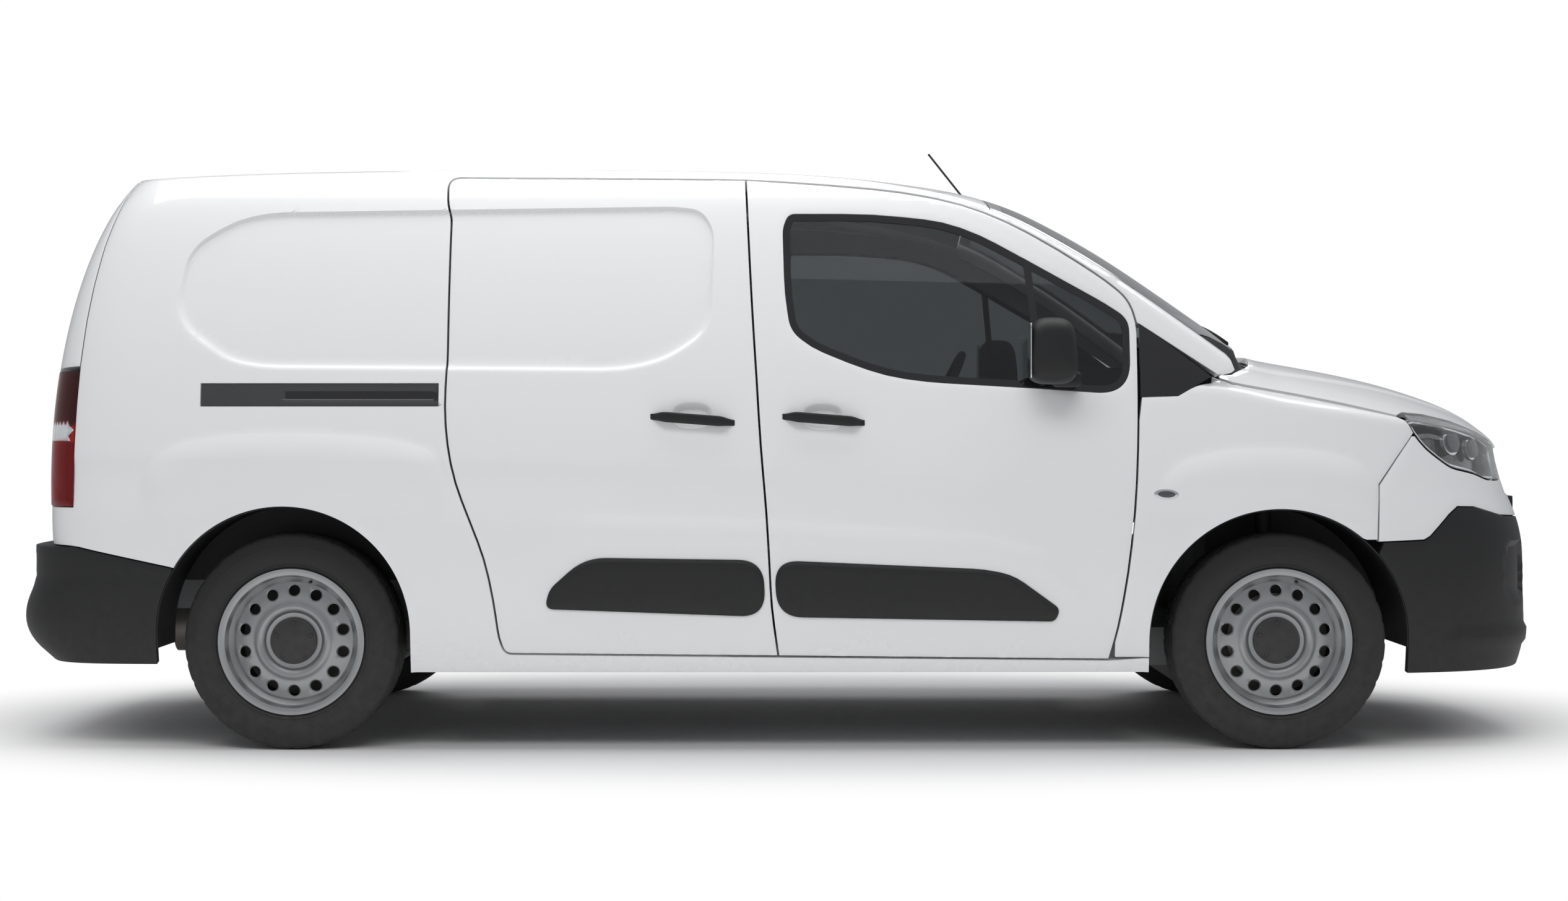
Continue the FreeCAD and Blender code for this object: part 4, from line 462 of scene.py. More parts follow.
def triangulated(ring, holes=(), spacing=18.0, rows=(), cuts=()):
    """Fill an outline with even triangles.

    Rows are (points, reach) lines of extra points that follow a crease. Cuts are closed lines that triangles
    don't cross."""
    rings = [np.asarray(r, float) for r in (ring, *holes)]
    points = list(rings)
    edges, count = [], 0
    for r in rings:
        n = len(r)
        edges += [(count + i, count + (i + 1) % n) for i in range(n)]
        count += n
    low, high = rings[0].min(0), rings[0].max(0)
    for cut in cuts:
        points.append(cut)
        edges += [(count + i, count + (i + 1) % len(cut)) for i in range(len(cut))]
        count += len(cut)
    free = []
    for k, r in enumerate(rings):
        free.append((moved_out(resample(r, 14), -4.0 if k == 0 else 4.0), 3.0))
    free += [(np.asarray(p, float), reach) for p, reach in rows]
    xs = np.arange(low[0] + spacing / 2, high[0], spacing)
    zs = np.arange(low[1] + spacing / 2, high[1], spacing * 0.87)
    grid = np.array([(x + (j % 2) * spacing / 2, z) for j, z in enumerate(zs) for x in xs])
    blocked = np.zeros(len(grid), bool)
    kept = []
    for line, reach in free:
        ok = inside(line, rings[0])
        for hole in rings[1:]:
            ok &= ~inside(line, hole)
        line = line[ok]
        if not len(line):
            continue
        near = np.min([distance(line, r) for r in rings], 0)
        line = line[near > 2.0]
        for other in kept:
            if len(line) and len(other):
                gaps = np.min(np.hypot(line[:, None, 0] - other[None, :, 0],
                                       line[:, None, 1] - other[None, :, 1]), 1)
                line = line[gaps > 2.0]
        kept.append(line)
        for chunk in np.array_split(np.arange(len(grid)), max(1, len(grid) // 400)):
            if len(line):
                d = np.min(np.hypot(grid[chunk, None, 0] - line[None, :, 0],
                                    grid[chunk, None, 1] - line[None, :, 1]), 1)
                blocked[chunk] |= d < spacing * 0.55
    ok = ~blocked & inside(grid, rings[0])
    for hole in rings[1:]:
        ok &= ~inside(grid, hole)
    grid = grid[ok]
    if len(grid):
        near = np.min([distance(grid, r) for r in rings + list(cuts)], 0)
        grid = grid[near > spacing * 0.45]
    every = np.concatenate(points + kept + [grid])
    result = delaunay_2d_cdt([Vector(p) for p in every], edges, [], 0, 1e-4)
    verts = np.array([tuple(v) for v in result[0]])
    tris = np.array([f for f in result[2] if len(f) == 3])
    middle = verts[tris].mean(1)
    ok = inside(middle, rings[0])
    for hole in rings[1:]:
        ok &= ~inside(middle, hole)
    tris = tris[ok]
    turned = verts[tris]
    area = np.cross(turned[:, 1] - turned[:, 0], turned[:, 2] - turned[:, 0])
    tris[area < 0] = tris[area < 0][:, ::-1]
    return verts, tris[np.abs(area) > 1e-6]


def walled(points, normals, tris, depth, drop=1.2):
    """Closed solid from an open skin: the skin, its copy at a depth and walls round the borders."""
    used, back = np.unique(tris, return_inverse=True)
    tris = back.reshape(-1, 3)
    points, normals = points[used], normals[used]
    pairs = np.concatenate([tris[:, [0, 1]], tris[:, [1, 2]], tris[:, [2, 0]]])
    keys = dict.fromkeys(map(tuple, pairs.tolist()))
    border = [(a, b) for a, b in keys if (b, a) not in keys]
    n = len(points)
    rim = sorted({a for a, b in border})
    front = points.copy()
    front[rim] -= normals[rim] * drop
    middle = {v: 2 * n + i for i, v in enumerate(rim)}
    verts = np.concatenate([front, points - normals * depth, points[rim] - normals[rim] * (drop * 2.2)])
    faces = tris.tolist() + (tris[:, ::-1] + n).tolist()
    for a, b in border:
        faces.append((b, a, middle[a], middle[b]))
        faces.append((middle[b], middle[a], a + n, b + n))
    return verts, faces


materials = {}


def placed(name, data):
    """A new object of the scene for a mesh, light or camera."""
    made = bpy.data.objects.new(name, data)
    bpy.context.scene.collection.objects.link(made)
    return made


def build(name, verts, faces, material, ride, slot, replaces=(), face_materials=None, extra=(), smooth=38.0,
          mirror=False):
    """Make one closed piece, in millimetres, that rides a body of the frame."""
    verts = np.asarray(verts, float) / 1000.0
    if mirror:
        verts = verts * [1, -1, 1]
        faces = [tuple(reversed(f)) for f in faces]
    mesh = bpy.data.meshes.new(name)
    mesh.from_pydata(verts.tolist(), [], [tuple(f) for f in faces])
    for key in (material, *extra):
        mesh.materials.append(materials[key])
    if face_materials is not None:
        mesh.polygons.foreach_set("material_index", np.asarray(face_materials, np.int32))
    mesh.polygons.foreach_set("use_smooth", np.ones(len(mesh.polygons), bool))
    mesh.set_sharp_from_angle(angle=math.radians(smooth))
    mesh.update()
    piece = placed(name, mesh)
    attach(piece, ride)
    if replaces:
        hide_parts(*replaces)
    return piece


RECESS_RING = rounded(side_points(RECESS))
RAIL_RING = np.array(side_points(RAIL))
REAR_FLARE = [
    (-0.480, 0.360), (-0.509, 0.440), (-0.490, 0.475), (-0.392, 0.511), (-0.207, 0.528), (0.025, 0.530),
    (0.104, 0.520), (0.148, 0.500), (0.158, 0.440), (0.150, 0.360),
]
FRONT_FLARE = [
    (0.868, 0.390), (0.880, 0.455), (0.901, 0.485), (0.948, 0.504), (1.037, 0.504), (1.170, 0.497),
    (1.280, 0.478), (1.345, 0.435), (1.370, 0.370),
]
FLARES = [rounded(side_points(REAR_FLARE)), rounded(side_points(FRONT_FLARE))]
WAIST = np.array([(-2150.0, 882.0), (-1600.0, 880.0), (-958.0, 871.0), (-50.0, 845.0), (795.0, 788.0),
                  (1100.0, 770.0)])
SCULPT = np.array([(-711.0, 715.0), (-66.0, 698.0), (579.0, 656.0), (767.0, 609.0), (931.0, 445.0)])
ARCHES = [(REAR_AXLE - 20.0, TYRE_RADIUS + 26.0, 383.0), (FRONT_AXLE, TYRE_RADIUS + 6.0, 395.0)]

CUPS = [(-282.0, 1008.0), (110.0, 1004.0)]
TAIL_LINE = np.array(sorted(side_points(TAIL_SEAM), key=lambda p: p[1]))


def cup_line(centre, grow):
    """Outline of a handle cup, grown by a distance."""
    return np.array([(centre[0] + (62 + grow) * bulge(math.cos(t), 0.8),
                      centre[1] + (41 + grow) * bulge(math.sin(t), 0.8))
                     for t in np.linspace(0, 2 * math.pi, 56, endpoint=False)])


def side_relief(points):
    """How far the pressed side stands out from the plain body, for points (x, y, z)."""
    q = points[:, [0, 2]]
    x, z = q.T
    out = np.zeros(len(q))
    d = signed(q, RECESS_RING)
    soft = 5.5 + 24 * ease((height(0.86) - z) / 350)
    out -= RECESS_DEPTH * ease(d / soft)
    out -= RAIL_DEPTH * ease(signed(q, RAIL_RING) / 2.5)
    for ring, (cx, cz, r) in zip(FLARES, ARCHES):
        d = signed(q, ring)
        fade = ease((z - height(0.375)) / 150)
        t = np.clip(d / 80, 0, 1)
        out += FLARE_RISE * (1 - (1 - t) ** 2.6) * fade
        rim = np.hypot(x - cx, np.maximum(z - cz, 0)) - r
        out += LIP_RISE * ease(1 - rim / 16) * (rim > -2) * (z > cz - 150) * (np.abs(x - cx) < r + 20)
    line = np.interp(x, WAIST[:, 0], WAIST[:, 1])
    t = np.clip((line - z) / 210, 0, 1)
    weight = ease((900 - x) / 500)
    out -= WAIST_DEPTH * CREST * t * (1 - t) ** 2 * weight
    ahead = np.interp(x, SCULPT[:, 0], SCULPT[:, 1])
    t = np.clip((ahead - z) / 150, 0, 1)
    weight = ease((x + 760) / 260) * ease((960 - x) / 260)
    out += SCULPT_RISE * CREST * t * (1 - t) ** 2 * weight
    for cup in CUPS:
        out -= CUP_DEPTH * ease(signed(q, cup_line(cup, 0)) / 20)
    return out


def crease_rows(lines):
    """Rows of points that follow creases given in the side view, as (run, height) points."""
    rows = []
    for line, offsets, closed in lines:
        line = resample(line, 14, closed)
        for offset in offsets:
            shifted = moved_out(line, offset) if closed else line + [0.0, offset]
            rows.append((to_run(shifted), 8.0))
    return rows


CUP_ROWS = [(cup_line(cup, grow), 3.0) for cup in CUPS for grow in (1, -3, -7, -12, -18, -24)]
SIDE_ROWS = crease_rows([
    (RECESS_RING, (0.5, -2.7, -5.6, -12, -20, -29), True), (RAIL_RING, (0.3, -2.6), True),
    (FLARES[0], (1, -7, -20), True), (FLARES[1], (1, -7, -20), True),
    (WAIST, (2, -6, -20), False), (SCULPT, (2, -6, -20), False),
]) + [(to_run(line), reach) for line, reach in CUP_ROWS]
crossings = {}


def top_crossing(top, name):
    """Heights at which the body's side meets the roof or bonnet, as a table over the run along the side."""
    if name not in crossings:
        lo, hi = 0.0, body.end
        runs = np.linspace(lo, hi, 500)
        zl = np.full(runs.shape, height(0.45) if name == "hood" else height(0.52))
        zh = np.full(runs.shape, height(0.999))
        for _ in range(24):
            z = (zl + zh) / 2
            p = body.at(runs, z)
            above = p[:, 2] > top.z(p[:, 0], p[:, 1])
            zh, zl = np.where(above, z, zh), np.where(above, zl, z)
        z = (zl + zh) / 2
        p = body.at(runs, z)
        n = body.normal(runs, np.minimum(z, height(0.99)))
        crossings[name] = (runs, z, p, n)
    return crossings[name]


def over_top(top, name, radius=12.0):
    """Place and normal of points on the side that carry on over its upper edge, onto the roof or bonnet."""
    runs, zc, edge, en = top_crossing(top, name)

    def fold(run):
        return np.where(run < 0, -run, np.where(run > body.end, 2 * body.end - run, run))

    def roof_point(run, reach):
        f = fold(run)
        p = np.stack([np.interp(f, runs, edge[:, k]) for k in range(3)], 1)
        n = np.stack([np.interp(f, runs, en[:, k]) for k in range(2)], 1)
        n /= np.linalg.norm(n, axis=1)[:, None]
        x, y = p[:, 0] - n[:, 0] * reach, p[:, 1] - n[:, 1] * reach
        other = (run < 0) | (run > body.end)
        y = np.where(other, -y, y)
        return top.at(x, y)

    def place(q):
        run, z = q.T
        edge_z = np.interp(fold(run), runs, zc)
        a = body.at(run, np.minimum(z, edge_z - radius))
        b = roof_point(run, np.maximum(z - edge_z, radius))
        c = body.at(run, edge_z)
        t = np.clip((z - edge_z + radius) / (2 * radius), 0, 1)[:, None]
        return (1 - t) ** 2 * a + 2 * t * (1 - t) * c + t * t * b

    def normal(q):
        e = 2.0
        a = place(q + [e, 0]) - place(q - [e, 0])
        b = place(q + [0, e]) - place(q - [0, e])
        n = np.cross(a, b)
        return n / np.linalg.norm(n, axis=1)[:, None]

    def edge_height(run):
        return np.interp(fold(np.asarray(run, float)), runs, zc)

    return place, normal, edge_height, roof_point


roof_place, roof_normal, roof_edge = over_top(roof, "roof")[:3]
hood_place, hood_normal, hood_edge, hood_inward = over_top(hood, "hood", 16.0)


def on_body(q):
    """Points of the plain side at (run, height) points."""
    return body.at(q[:, 0], q[:, 1])


def on_bumper(q):
    """Points of the rear bumper at (run, height) points."""
    return tail_bumper.at(q[:, 0], q[:, 1])


def off_bumper(q):
    """Directions straight out of the rear bumper."""
    return tail_bumper.normal(q[:, 0], q[:, 1])


def off_body(q):
    """Directions straight out of the plain side."""
    return body.normal(q[:, 0], q[:, 1])


def skin_choice(choose, middle, faces):
    """Material of every face of a walled solid, from a choice for the triangles of its skin."""
    if choose is None:
        return None
    chosen = choose(middle)
    return np.concatenate([chosen, chosen, np.zeros(len(faces) - 2 * len(chosen), int)])


def body_panel(name, ring, material, ride, slot, replaces=(), holes=(), depth=WALL, place=on_body,
               normal=off_body, relief=None, rows=(), spacing=18.0, both=True, cuts=(), cut_materials=None,
               extra=(), left_ride=None, left_replaces=(), out=0.0, drop=1.2):
    """A pressed panel that follows the body, from an outline in (run, height) points, and its mirror."""
    q, tris = triangulated(ring, holes, spacing, rows, cuts)
    points, normals = place(q), normal(q)
    if relief is not None:
        points = points + normals * relief(points)[:, None]
    points = points + normals * out
    verts, faces = walled(points, normals, tris, depth, drop)
    chosen = skin_choice(cut_materials, q[tris].mean(1), faces)
    build(name + ("_right" if both else ""), verts, faces, material, ride, slot, replaces, chosen, extra)
    if both:
        build(name + "_left", verts, faces, material, left_ride or ride, slot, left_replaces, chosen, extra,
              mirror=True)


# Finishes


def group(name, inputs, outputs, make):
    """A shader node group: inputs and outputs are (name, kind, value), and make fills it."""
    tree = bpy.data.node_groups.new(name, "ShaderNodeTree")
    for label, kind, value in inputs:
        socket = tree.interface.new_socket(label, in_out="INPUT", socket_type="NodeSocket" + kind)
        if value is not None:
            socket.default_value = value
    for label, kind in outputs:
        tree.interface.new_socket(label, in_out="OUTPUT", socket_type="NodeSocket" + kind)
    start, end = tree.nodes.new("NodeGroupInput"), tree.nodes.new("NodeGroupOutput")
    make(tree, start, end)
    return tree


def node(tree, kind, inputs=(), **values):
    """A new shader node with some of its settings and (socket, value) inputs."""
    made = tree.nodes.new("ShaderNode" + kind)
    for key, value in values.items():
        setattr(made, key, value)
    for socket, value in inputs:
        made.inputs[socket].default_value = value
    return made


def wire(tree, *links):
    """Join outputs to inputs, each given as (node, output, node, input)."""
    for source, output, target, socket in links:
        tree.links.new(source.outputs[output], target.inputs[socket])


def tone(tree, start, end):
    """Two close tones that drift over the surface, and settled dust that grows towards the road."""
    place, split = node(tree, "TexCoord"), node(tree, "SeparateXYZ")
    drift = node(tree, "TexNoise", [("Detail", 4)])
    speck = node(tree, "TexNoise", [("Scale", 38.0), ("Detail", 6)])
    base = node(tree, "Mix", data_type="RGBA")
    final = node(tree, "Mix", [(7, (0.36, 0.34, 0.31, 1))], data_type="RGBA")
    level = node(tree, "MapRange", [("From Max", 0.12)], interpolation_type="SMOOTHSTEP")
    both = node(tree, "Math", operation="MULTIPLY")
    share = node(tree, "Math", operation="MULTIPLY", use_clamp=True)
    rough = node(tree, "MapRange")
    more = node(tree, "Math", [(1, 0.5)], operation="MULTIPLY_ADD", use_clamp=True)
    wire(tree, (place, "Object", drift, "Vector"), (start, "Scale", drift, "Scale"),
         (drift, "Fac", base, "Factor"),
         (start, "Colour", base, 6), (start, "Second", base, 7), (place, "Object", split, 0),
         (split, "Z", level, "Value"), (start, "Dust top", level, "From Min"),
         (place, "Object", speck, "Vector"),
         (level, 0, both, 0), (speck, "Fac", both, 1), (both, 0, share, 0), (start, "Dust", share, 1),
         (share, 0, final, "Factor"), (base, 2, final, 6), (final, 2, end, "Colour"),
         (drift, "Fac", rough, "Value"),
         (start, "Smooth", rough, "To Min"), (start, "Rough", rough, "To Max"), (share, 0, more, 0),
         (rough, 0, more, 2), (more, 0, end, "Roughness"))


surface_tone = group("surface_tone", [
    ("Colour", "Color", (0.8, 0.8, 0.8, 1)), ("Second", "Color", (0.7, 0.7, 0.7, 1)), ("Scale", "Float", 6.0),
    ("Dust", "Float", 0.3), ("Dust top", "Float", 0.7), ("Smooth", "Float", 0.3), ("Rough", "Float", 0.4),
], [("Colour", "Color"), ("Roughness", "Float")], tone)


def grain(tree, start, end):
    """Fine relief of a moulded, cast or sprayed face."""
    place, cells, mix = node(tree, "TexCoord"), node(tree, "TexVoronoi"), node(tree, "Mix")
    fine = node(tree, "TexNoise", [("Detail", 2)])
    wire(tree, (place, "Object", fine, "Vector"), (start, "Scale", fine, "Scale"),
         (place, "Object", cells, "Vector"),
         (start, "Scale", cells, "Scale"), (start, "Cells", mix, "Factor"), (fine, "Fac", mix, 2),
         (cells, "Distance", mix, 3), (mix, 0, end, "Height"))


surface_grain = group("surface_grain", [("Scale", "Float", 300.0), ("Cells", "Float", 0.0)],
                      [("Height", "Float")], grain)


def toned(name, colour, second, scale, dust, dust_top, smooth, rough):
    """A new material with the shared tone and dust: its tree, its shader and the tone's node."""
    material = materials[name] = bpy.data.materials.new(name)
    material.use_nodes = True
    tree = material.node_tree
    shader = tree.nodes["Principled BSDF"]
    tint = node(tree, "Group", [
        ("Colour", (*colour, 1)), ("Second", (*second, 1)), ("Scale", scale), ("Dust", dust),
        ("Dust top", dust_top), ("Smooth", smooth), ("Rough", rough)], node_tree=surface_tone)
    wire(tree, (tint, "Colour", shader, "Base Color"))
    return tree, shader, tint


def finish(name, colour, second, smooth, rough, scale=6.0, dust=0.3, dust_top=0.7, grain_scale=None,
           grain_depth=0.0, cells=0.0, **settings):
    """Material of one finish: drifting tone, dust and grain around a plain shader."""
    tree, shader, tint = toned(name, colour, second, scale, dust, dust_top, smooth, rough)
    wire(tree, (tint, "Roughness", shader, "Roughness"))
    if grain_scale:
        fine = node(tree, "Group", [("Scale", grain_scale), ("Cells", cells)], node_tree=surface_grain)
        bump = node(tree, "Bump", [("Strength", 1.0), ("Distance", grain_depth)])
        wire(tree, (fine, "Height", bump, "Height"), (bump, "Normal", shader, "Normal"))
    for label, value in settings.items():
        shader.inputs[label.replace("_", " ").title()].default_value = value


finish("paint", (0.87, 0.873, 0.876), (0.865, 0.868, 0.872), 0.25, 0.28, dust=0.06, dust_top=0.45,
       grain_scale=160.0, grain_depth=0.00004, coat_weight=1.0, coat_roughness=0.04)
finish("moulding", (0.009, 0.0093, 0.0098), (0.012, 0.0124, 0.013), 0.50, 0.60, dust=0.06, grain_scale=700.0,
       grain_depth=0.00025, cells=0.6)
finish("gloss_black", (0.010, 0.010, 0.011), (0.014, 0.014, 0.015), 0.12, 0.2, dust=0.1, coat_weight=0.6,
       coat_roughness=0.05)
finish("black_border", (0.006, 0.006, 0.007), (0.009, 0.009, 0.010), 0.08, 0.12, dust=0.1, coat_weight=0.8,
       coat_roughness=0.03)
finish("chassis", (0.028, 0.028, 0.030), (0.045, 0.043, 0.041), 0.45, 0.65, scale=14.0, dust=0.7,
       grain_scale=260.0, grain_depth=0.0002, metallic=0.3)
finish("wheel_silver", (0.37, 0.378, 0.386), (0.44, 0.448, 0.456), 0.27, 0.37, dust=0.15, dust_top=0.9,
       grain_scale=900.0, grain_depth=0.00003, metallic=0.75)
finish("rubber", (0.013, 0.013, 0.0135), (0.019, 0.019, 0.019), 0.6, 0.75, scale=20.0, dust=0.10,
       grain_scale=420.0, grain_depth=0.0002)
finish("bare_steel", (0.42, 0.40, 0.38), (0.30, 0.27, 0.24), 0.35, 0.6, scale=18.0, dust=0.4, metallic=0.9)
finish("engine_cast", (0.30, 0.30, 0.31), (0.20, 0.20, 0.21), 0.45, 0.65, scale=12.0, dust=0.3,
       grain_scale=220.0, grain_depth=0.0006, metallic=0.7)
finish("cab_moulding", (0.045, 0.046, 0.050), (0.060, 0.061, 0.065), 0.55, 0.7, dust=0.1, grain_scale=900.0,
       grain_depth=0.0002, cells=0.5)
finish("seat_cloth", (0.050, 0.052, 0.058), (0.085, 0.087, 0.095), 0.85, 0.95, scale=90.0, dust=0.1,
       grain_scale=1400.0, grain_depth=0.0004)
finish("floor_coat", (0.30, 0.31, 0.32), (0.22, 0.23, 0.24), 0.5, 0.7, scale=9.0, dust=0.4, grain_scale=300.0,
       grain_depth=0.0003)
finish("rail_grey", (0.045, 0.046, 0.048), (0.060, 0.061, 0.063), 0.45, 0.6, dust=0.2, grain_scale=500.0,
       grain_depth=0.0001)
finish("lamp_silver", (0.75, 0.76, 0.77), (0.62, 0.63, 0.64), 0.12, 0.2, dust=0.05, metallic=0.9)
finish("mirror_silver", (0.86, 0.87, 0.88), (0.84, 0.85, 0.86), 0.02, 0.03, dust=0.05, metallic=1.0)
finish("cap_grey", (0.018, 0.018, 0.020), (0.028, 0.028, 0.030), 0.5, 0.6, dust=0.15, grain_scale=600.0,
       grain_depth=0.0002)
finish("plate_white", (0.70, 0.71, 0.72), (0.66, 0.67, 0.68), 0.25, 0.35, dust=0.2)


def clear(name, colour, rough):
    """A see-through material with a little settled dust."""
    shader = toned(name, colour, [c * 0.9 for c in colour], 3.0, 0.08, 0.5, rough, rough * 1.3)[1]
    for label, value in (("Roughness", rough), ("Transmission Weight", 1.0), ("IOR", 1.45)):
        shader.inputs[label].default_value = value


clear("glass", (0.20, 0.215, 0.22), 0.0)
clear("lens_clear", (0.93, 0.95, 0.96), 0.01)
clear("lens_red", (0.42, 0.012, 0.010), 0.02)
clear("lens_smoke", (0.20, 0.035, 0.03), 0.02)
clear("lens_dark", (0.10, 0.105, 0.11), 0.01)


def arc(centre, radius, start, end, steps=48):
    """Points of a round arch from one angle to another, in degrees."""
    return [(centre[0] + radius * math.cos(math.radians(a)), centre[1] + radius * math.sin(math.radians(a)))
            for a in np.linspace(start, end, steps)]


def angle_at(centre, radius, z, left):
    """Angle in degrees at which a round arch passes a height, on its left or right."""
    turn = math.degrees(math.asin((z - centre[1]) / radius))
    return 180 - turn if left else turn


opening = moved_out(rounded(side_points(
    SLIDE_REAR[::-1] + [(0.459, 0.958), (0.538, 0.949)] + DOOR_TOP[1:] + DOOR_FRONT[:-1]
    + [(DOOR_FRONT[-1][0], DOOR_FRONT[-1][1], 0.0)])), HALF_GAP)
start = int(np.argmin(np.hypot(opening[:, 0] - station(0.8385), opening[:, 1] - height(0.1535))))
opening = np.roll(opening, -start, 0)
if opening[20, 0] > opening[0, 0] - 5 and opening[20, 1] > opening[0, 1] + 5:
    opening = np.roll(opening[::-1], 1, 0)
end = int(np.argmin(np.hypot(opening[:, 0] - station(0.860), opening[:, 1] - height(0.714))))
whole_opening = opening
opening = opening[:end + 1]


def body_side_ring():
    """Outline of the body side: round the door opening, the roof's edge, the tail and the sill."""
    seam = TAIL_LINE
    split = height(0.405) - HALF_GAP
    rear, front = ARCHES
    ring = [(front[0] - front[2], height(0.130)), (front[0] - front[2], height(0.1535))]
    ring += [tuple(p) for p in opening]
    foot = station(0.955)
    ring += [(station(0.938), height(0.6245)), (foot, height(0.632))]
    lower = to_run(resample(ring, 16, False))
    runs = np.linspace(lower[-1, 0], run_at(CORNER_X, CORNER_Z), 260)
    band = np.stack([runs, roof_edge(runs) + 46.0], 1)
    top = float(roof_edge(runs[-1:])[0])
    down = [(runs[-1], top + 46.0), (runs[-1], top + 12), (runs[-1], top - 12)]
    side = seam[(seam[:, 1] < top - 25) & (seam[:, 1] > split)][::-1]
    down = np.concatenate([resample(down, 16, False), to_run(resample(
        np.concatenate([side, [[np.interp(split, seam[:, 1], seam[:, 0]), split]]]), 16, False))])
    neck = tail_run(738.25, split)
    low = height(0.338) + HALF_GAP
    tail = resample([tuple(down[-1]), (neck, split), (neck, low)], 16, False)[1:]
    meet = (station(-0.398) + GAP, height(0.302) + HALF_GAP)
    under = [(station(-0.736), low), meet]
    a0, a1 = angle_at(rear[:2], rear[2], meet[1], True), 0.0
    under += arc(rear[:2], rear[2], a0, a1, 60)[1:]
    under += [(rear[0] + rear[2], height(0.130)), (front[0] - front[2], height(0.130))]
    under = to_run(resample(under, 16, False))[:-1]
    return np.concatenate([lower, band[1:], down[1:], tail, under[1:]])


window_ring = to_run(resample(rounded(side_points(WINDOW)), 12))
body_panel("body_side", body_side_ring(), "paint", "van_body", "paint", replaces=("body_sides",),
           place=roof_place, normal=roof_normal, relief=side_relief, rows=SIDE_ROWS)

SPLIT_SEAM = [(s, h) if 0 < i < len(SPLIT) - 1 else (s, h, 0) for i, (s, h) in enumerate(SPLIT)][::-1]
slide = moved_out(rounded(side_points([(0.151, 0.962)] + SLIDE_REAR[1:] + SPLIT_SEAM)), -HALF_GAP)
body_panel("sliding_door", to_run(resample(slide, 14)), "paint", "van_body", "paint",
           replaces=("sliding_doors",), relief=side_relief, rows=SIDE_ROWS)

door = side_points(SPLIT_SEAM + DOOR_TOP + DOOR_FRONT[:-1] + [DOOR_FRONT[-1] + (0,)])
door = moved_out(rounded(door), -HALF_GAP)
body_panel("front_door", to_run(resample(door, 14)), "paint", "right_front_door", "paint",
           replaces=("front_door_right",), left_ride="left_front_door", left_replaces=("front_door_left",),
           holes=(window_ring,), relief=side_relief, rows=SIDE_ROWS)


def wing_ring():
    """Outline of a front wing, which folds over to the bonnet's seam."""
    seam = side_points(WING_TOP)
    top = []
    for x, z in resample(seam, 16, False):
        run = run_at(x, float(np.interp(x, [p[0] for p in seam], [1088, 1057, 1046, 1022, 997])))
        lo, hi = 0.0, 130.0
        for _ in range(20):
            reach = (lo + hi) / 2
            p = hood_inward(np.array([run]), np.array([reach]))[0]
            lo, hi = (reach, hi) if p[2] < z else (lo, reach)
        top.append((run, float(hood_edge(np.array([run]))[0]) + reach))
    front = ARCHES[1]
    rest = side_points([(1.440, 0.550), (1.466, 0.527), (1.400, 0.485), (1.336, 0.442)])
    rest += [(1778.5, 634.0), (1745.0, 634.0)]
    a0 = math.degrees(math.acos((rest[-1][0] - front[0]) / front[2]))
    rest += arc(front[:2], front[2], a0, 180.0, 60)[1:]
    low = height(0.1555)
    rest += [(front[0] - front[2], low)]
    edge = sorted((tuple(p) for p in whole_opening if p[0] > station(0.80) and low < p[1] < height(0.584)),
                  key=lambda p: p[1])
    rest += [(edge[0][0], low)] + edge
    rest += side_points([(0.8605, 0.586), (0.897, 0.588), (0.914, 0.604), (0.932, 0.621)])
    return np.concatenate([np.array(top), to_run(resample(rest, 16, False))])


body_panel("front_wing", wing_ring(), "paint", "van_body", "paint", replaces=("front_wings",), depth=22.0,
           place=hood_place, normal=hood_normal, relief=side_relief, rows=SIDE_ROWS)


def rear_door_ring():
    """Outline of a rear door, whose upper part wraps round the corner."""
    seam = TAIL_LINE
    low, high = height(0.341) + HALF_GAP, height(0.962) - HALF_GAP
    neck = height(0.632) + HALF_GAP
    inner = 3.0
    right = np.linspace(neck, 1690, 60)
    x = np.interp(right, seam[:, 1], seam[:, 0]) - HALF_GAP
    side = np.stack([body.run_of(x, right), right], 1)
    corner = [(float(side[-1, 0]) - 4, 1712.0), (float(side[-1, 0]) - 22, 1731.0),
              (float(side[-1, 0]) - 50, high)]
    neck_run = tail_run(731.75, 1000.0)
    ring = [(inner, low), (neck_run - 14, low), (neck_run, low + 14), (neck_run, neck - 14),
            (neck_run + 14, neck)]
    ring += [tuple(p) for p in side[1:]] + corner + [(inner, high)]
    return resample(ring, 15)


def press_relief(points):
    """Pressed field of a rear door."""
    return -9.0 * ease(signed(points[:, 1:], press * [-1, 1]) / 14) * (points[:, 0] < -1900)


press = rounded([(0.14 * HALF_WIDTH, height(0.60)), (0.72 * HALF_WIDTH, height(0.60)),
                 (0.66 * HALF_WIDTH, height(0.90)), (0.14 * HALF_WIDTH, height(0.90))])
press_rows = []
for offset in (1, -4, -10, -15):
    line = moved_out(resample(press, 14), offset)
    runs = body.run_of(line[:, 0], line[:, 1], axis=1, high=1000.0)
    press_rows.append((np.stack([runs, line[:, 1]], 1), 8.0))
body_panel("rear_door", rear_door_ring(), "paint", "right_rear_door", "paint", replaces=("rear_door_right",),
           left_ride="left_rear_door", left_replaces=("rear_door_left",), relief=press_relief,
           rows=press_rows)


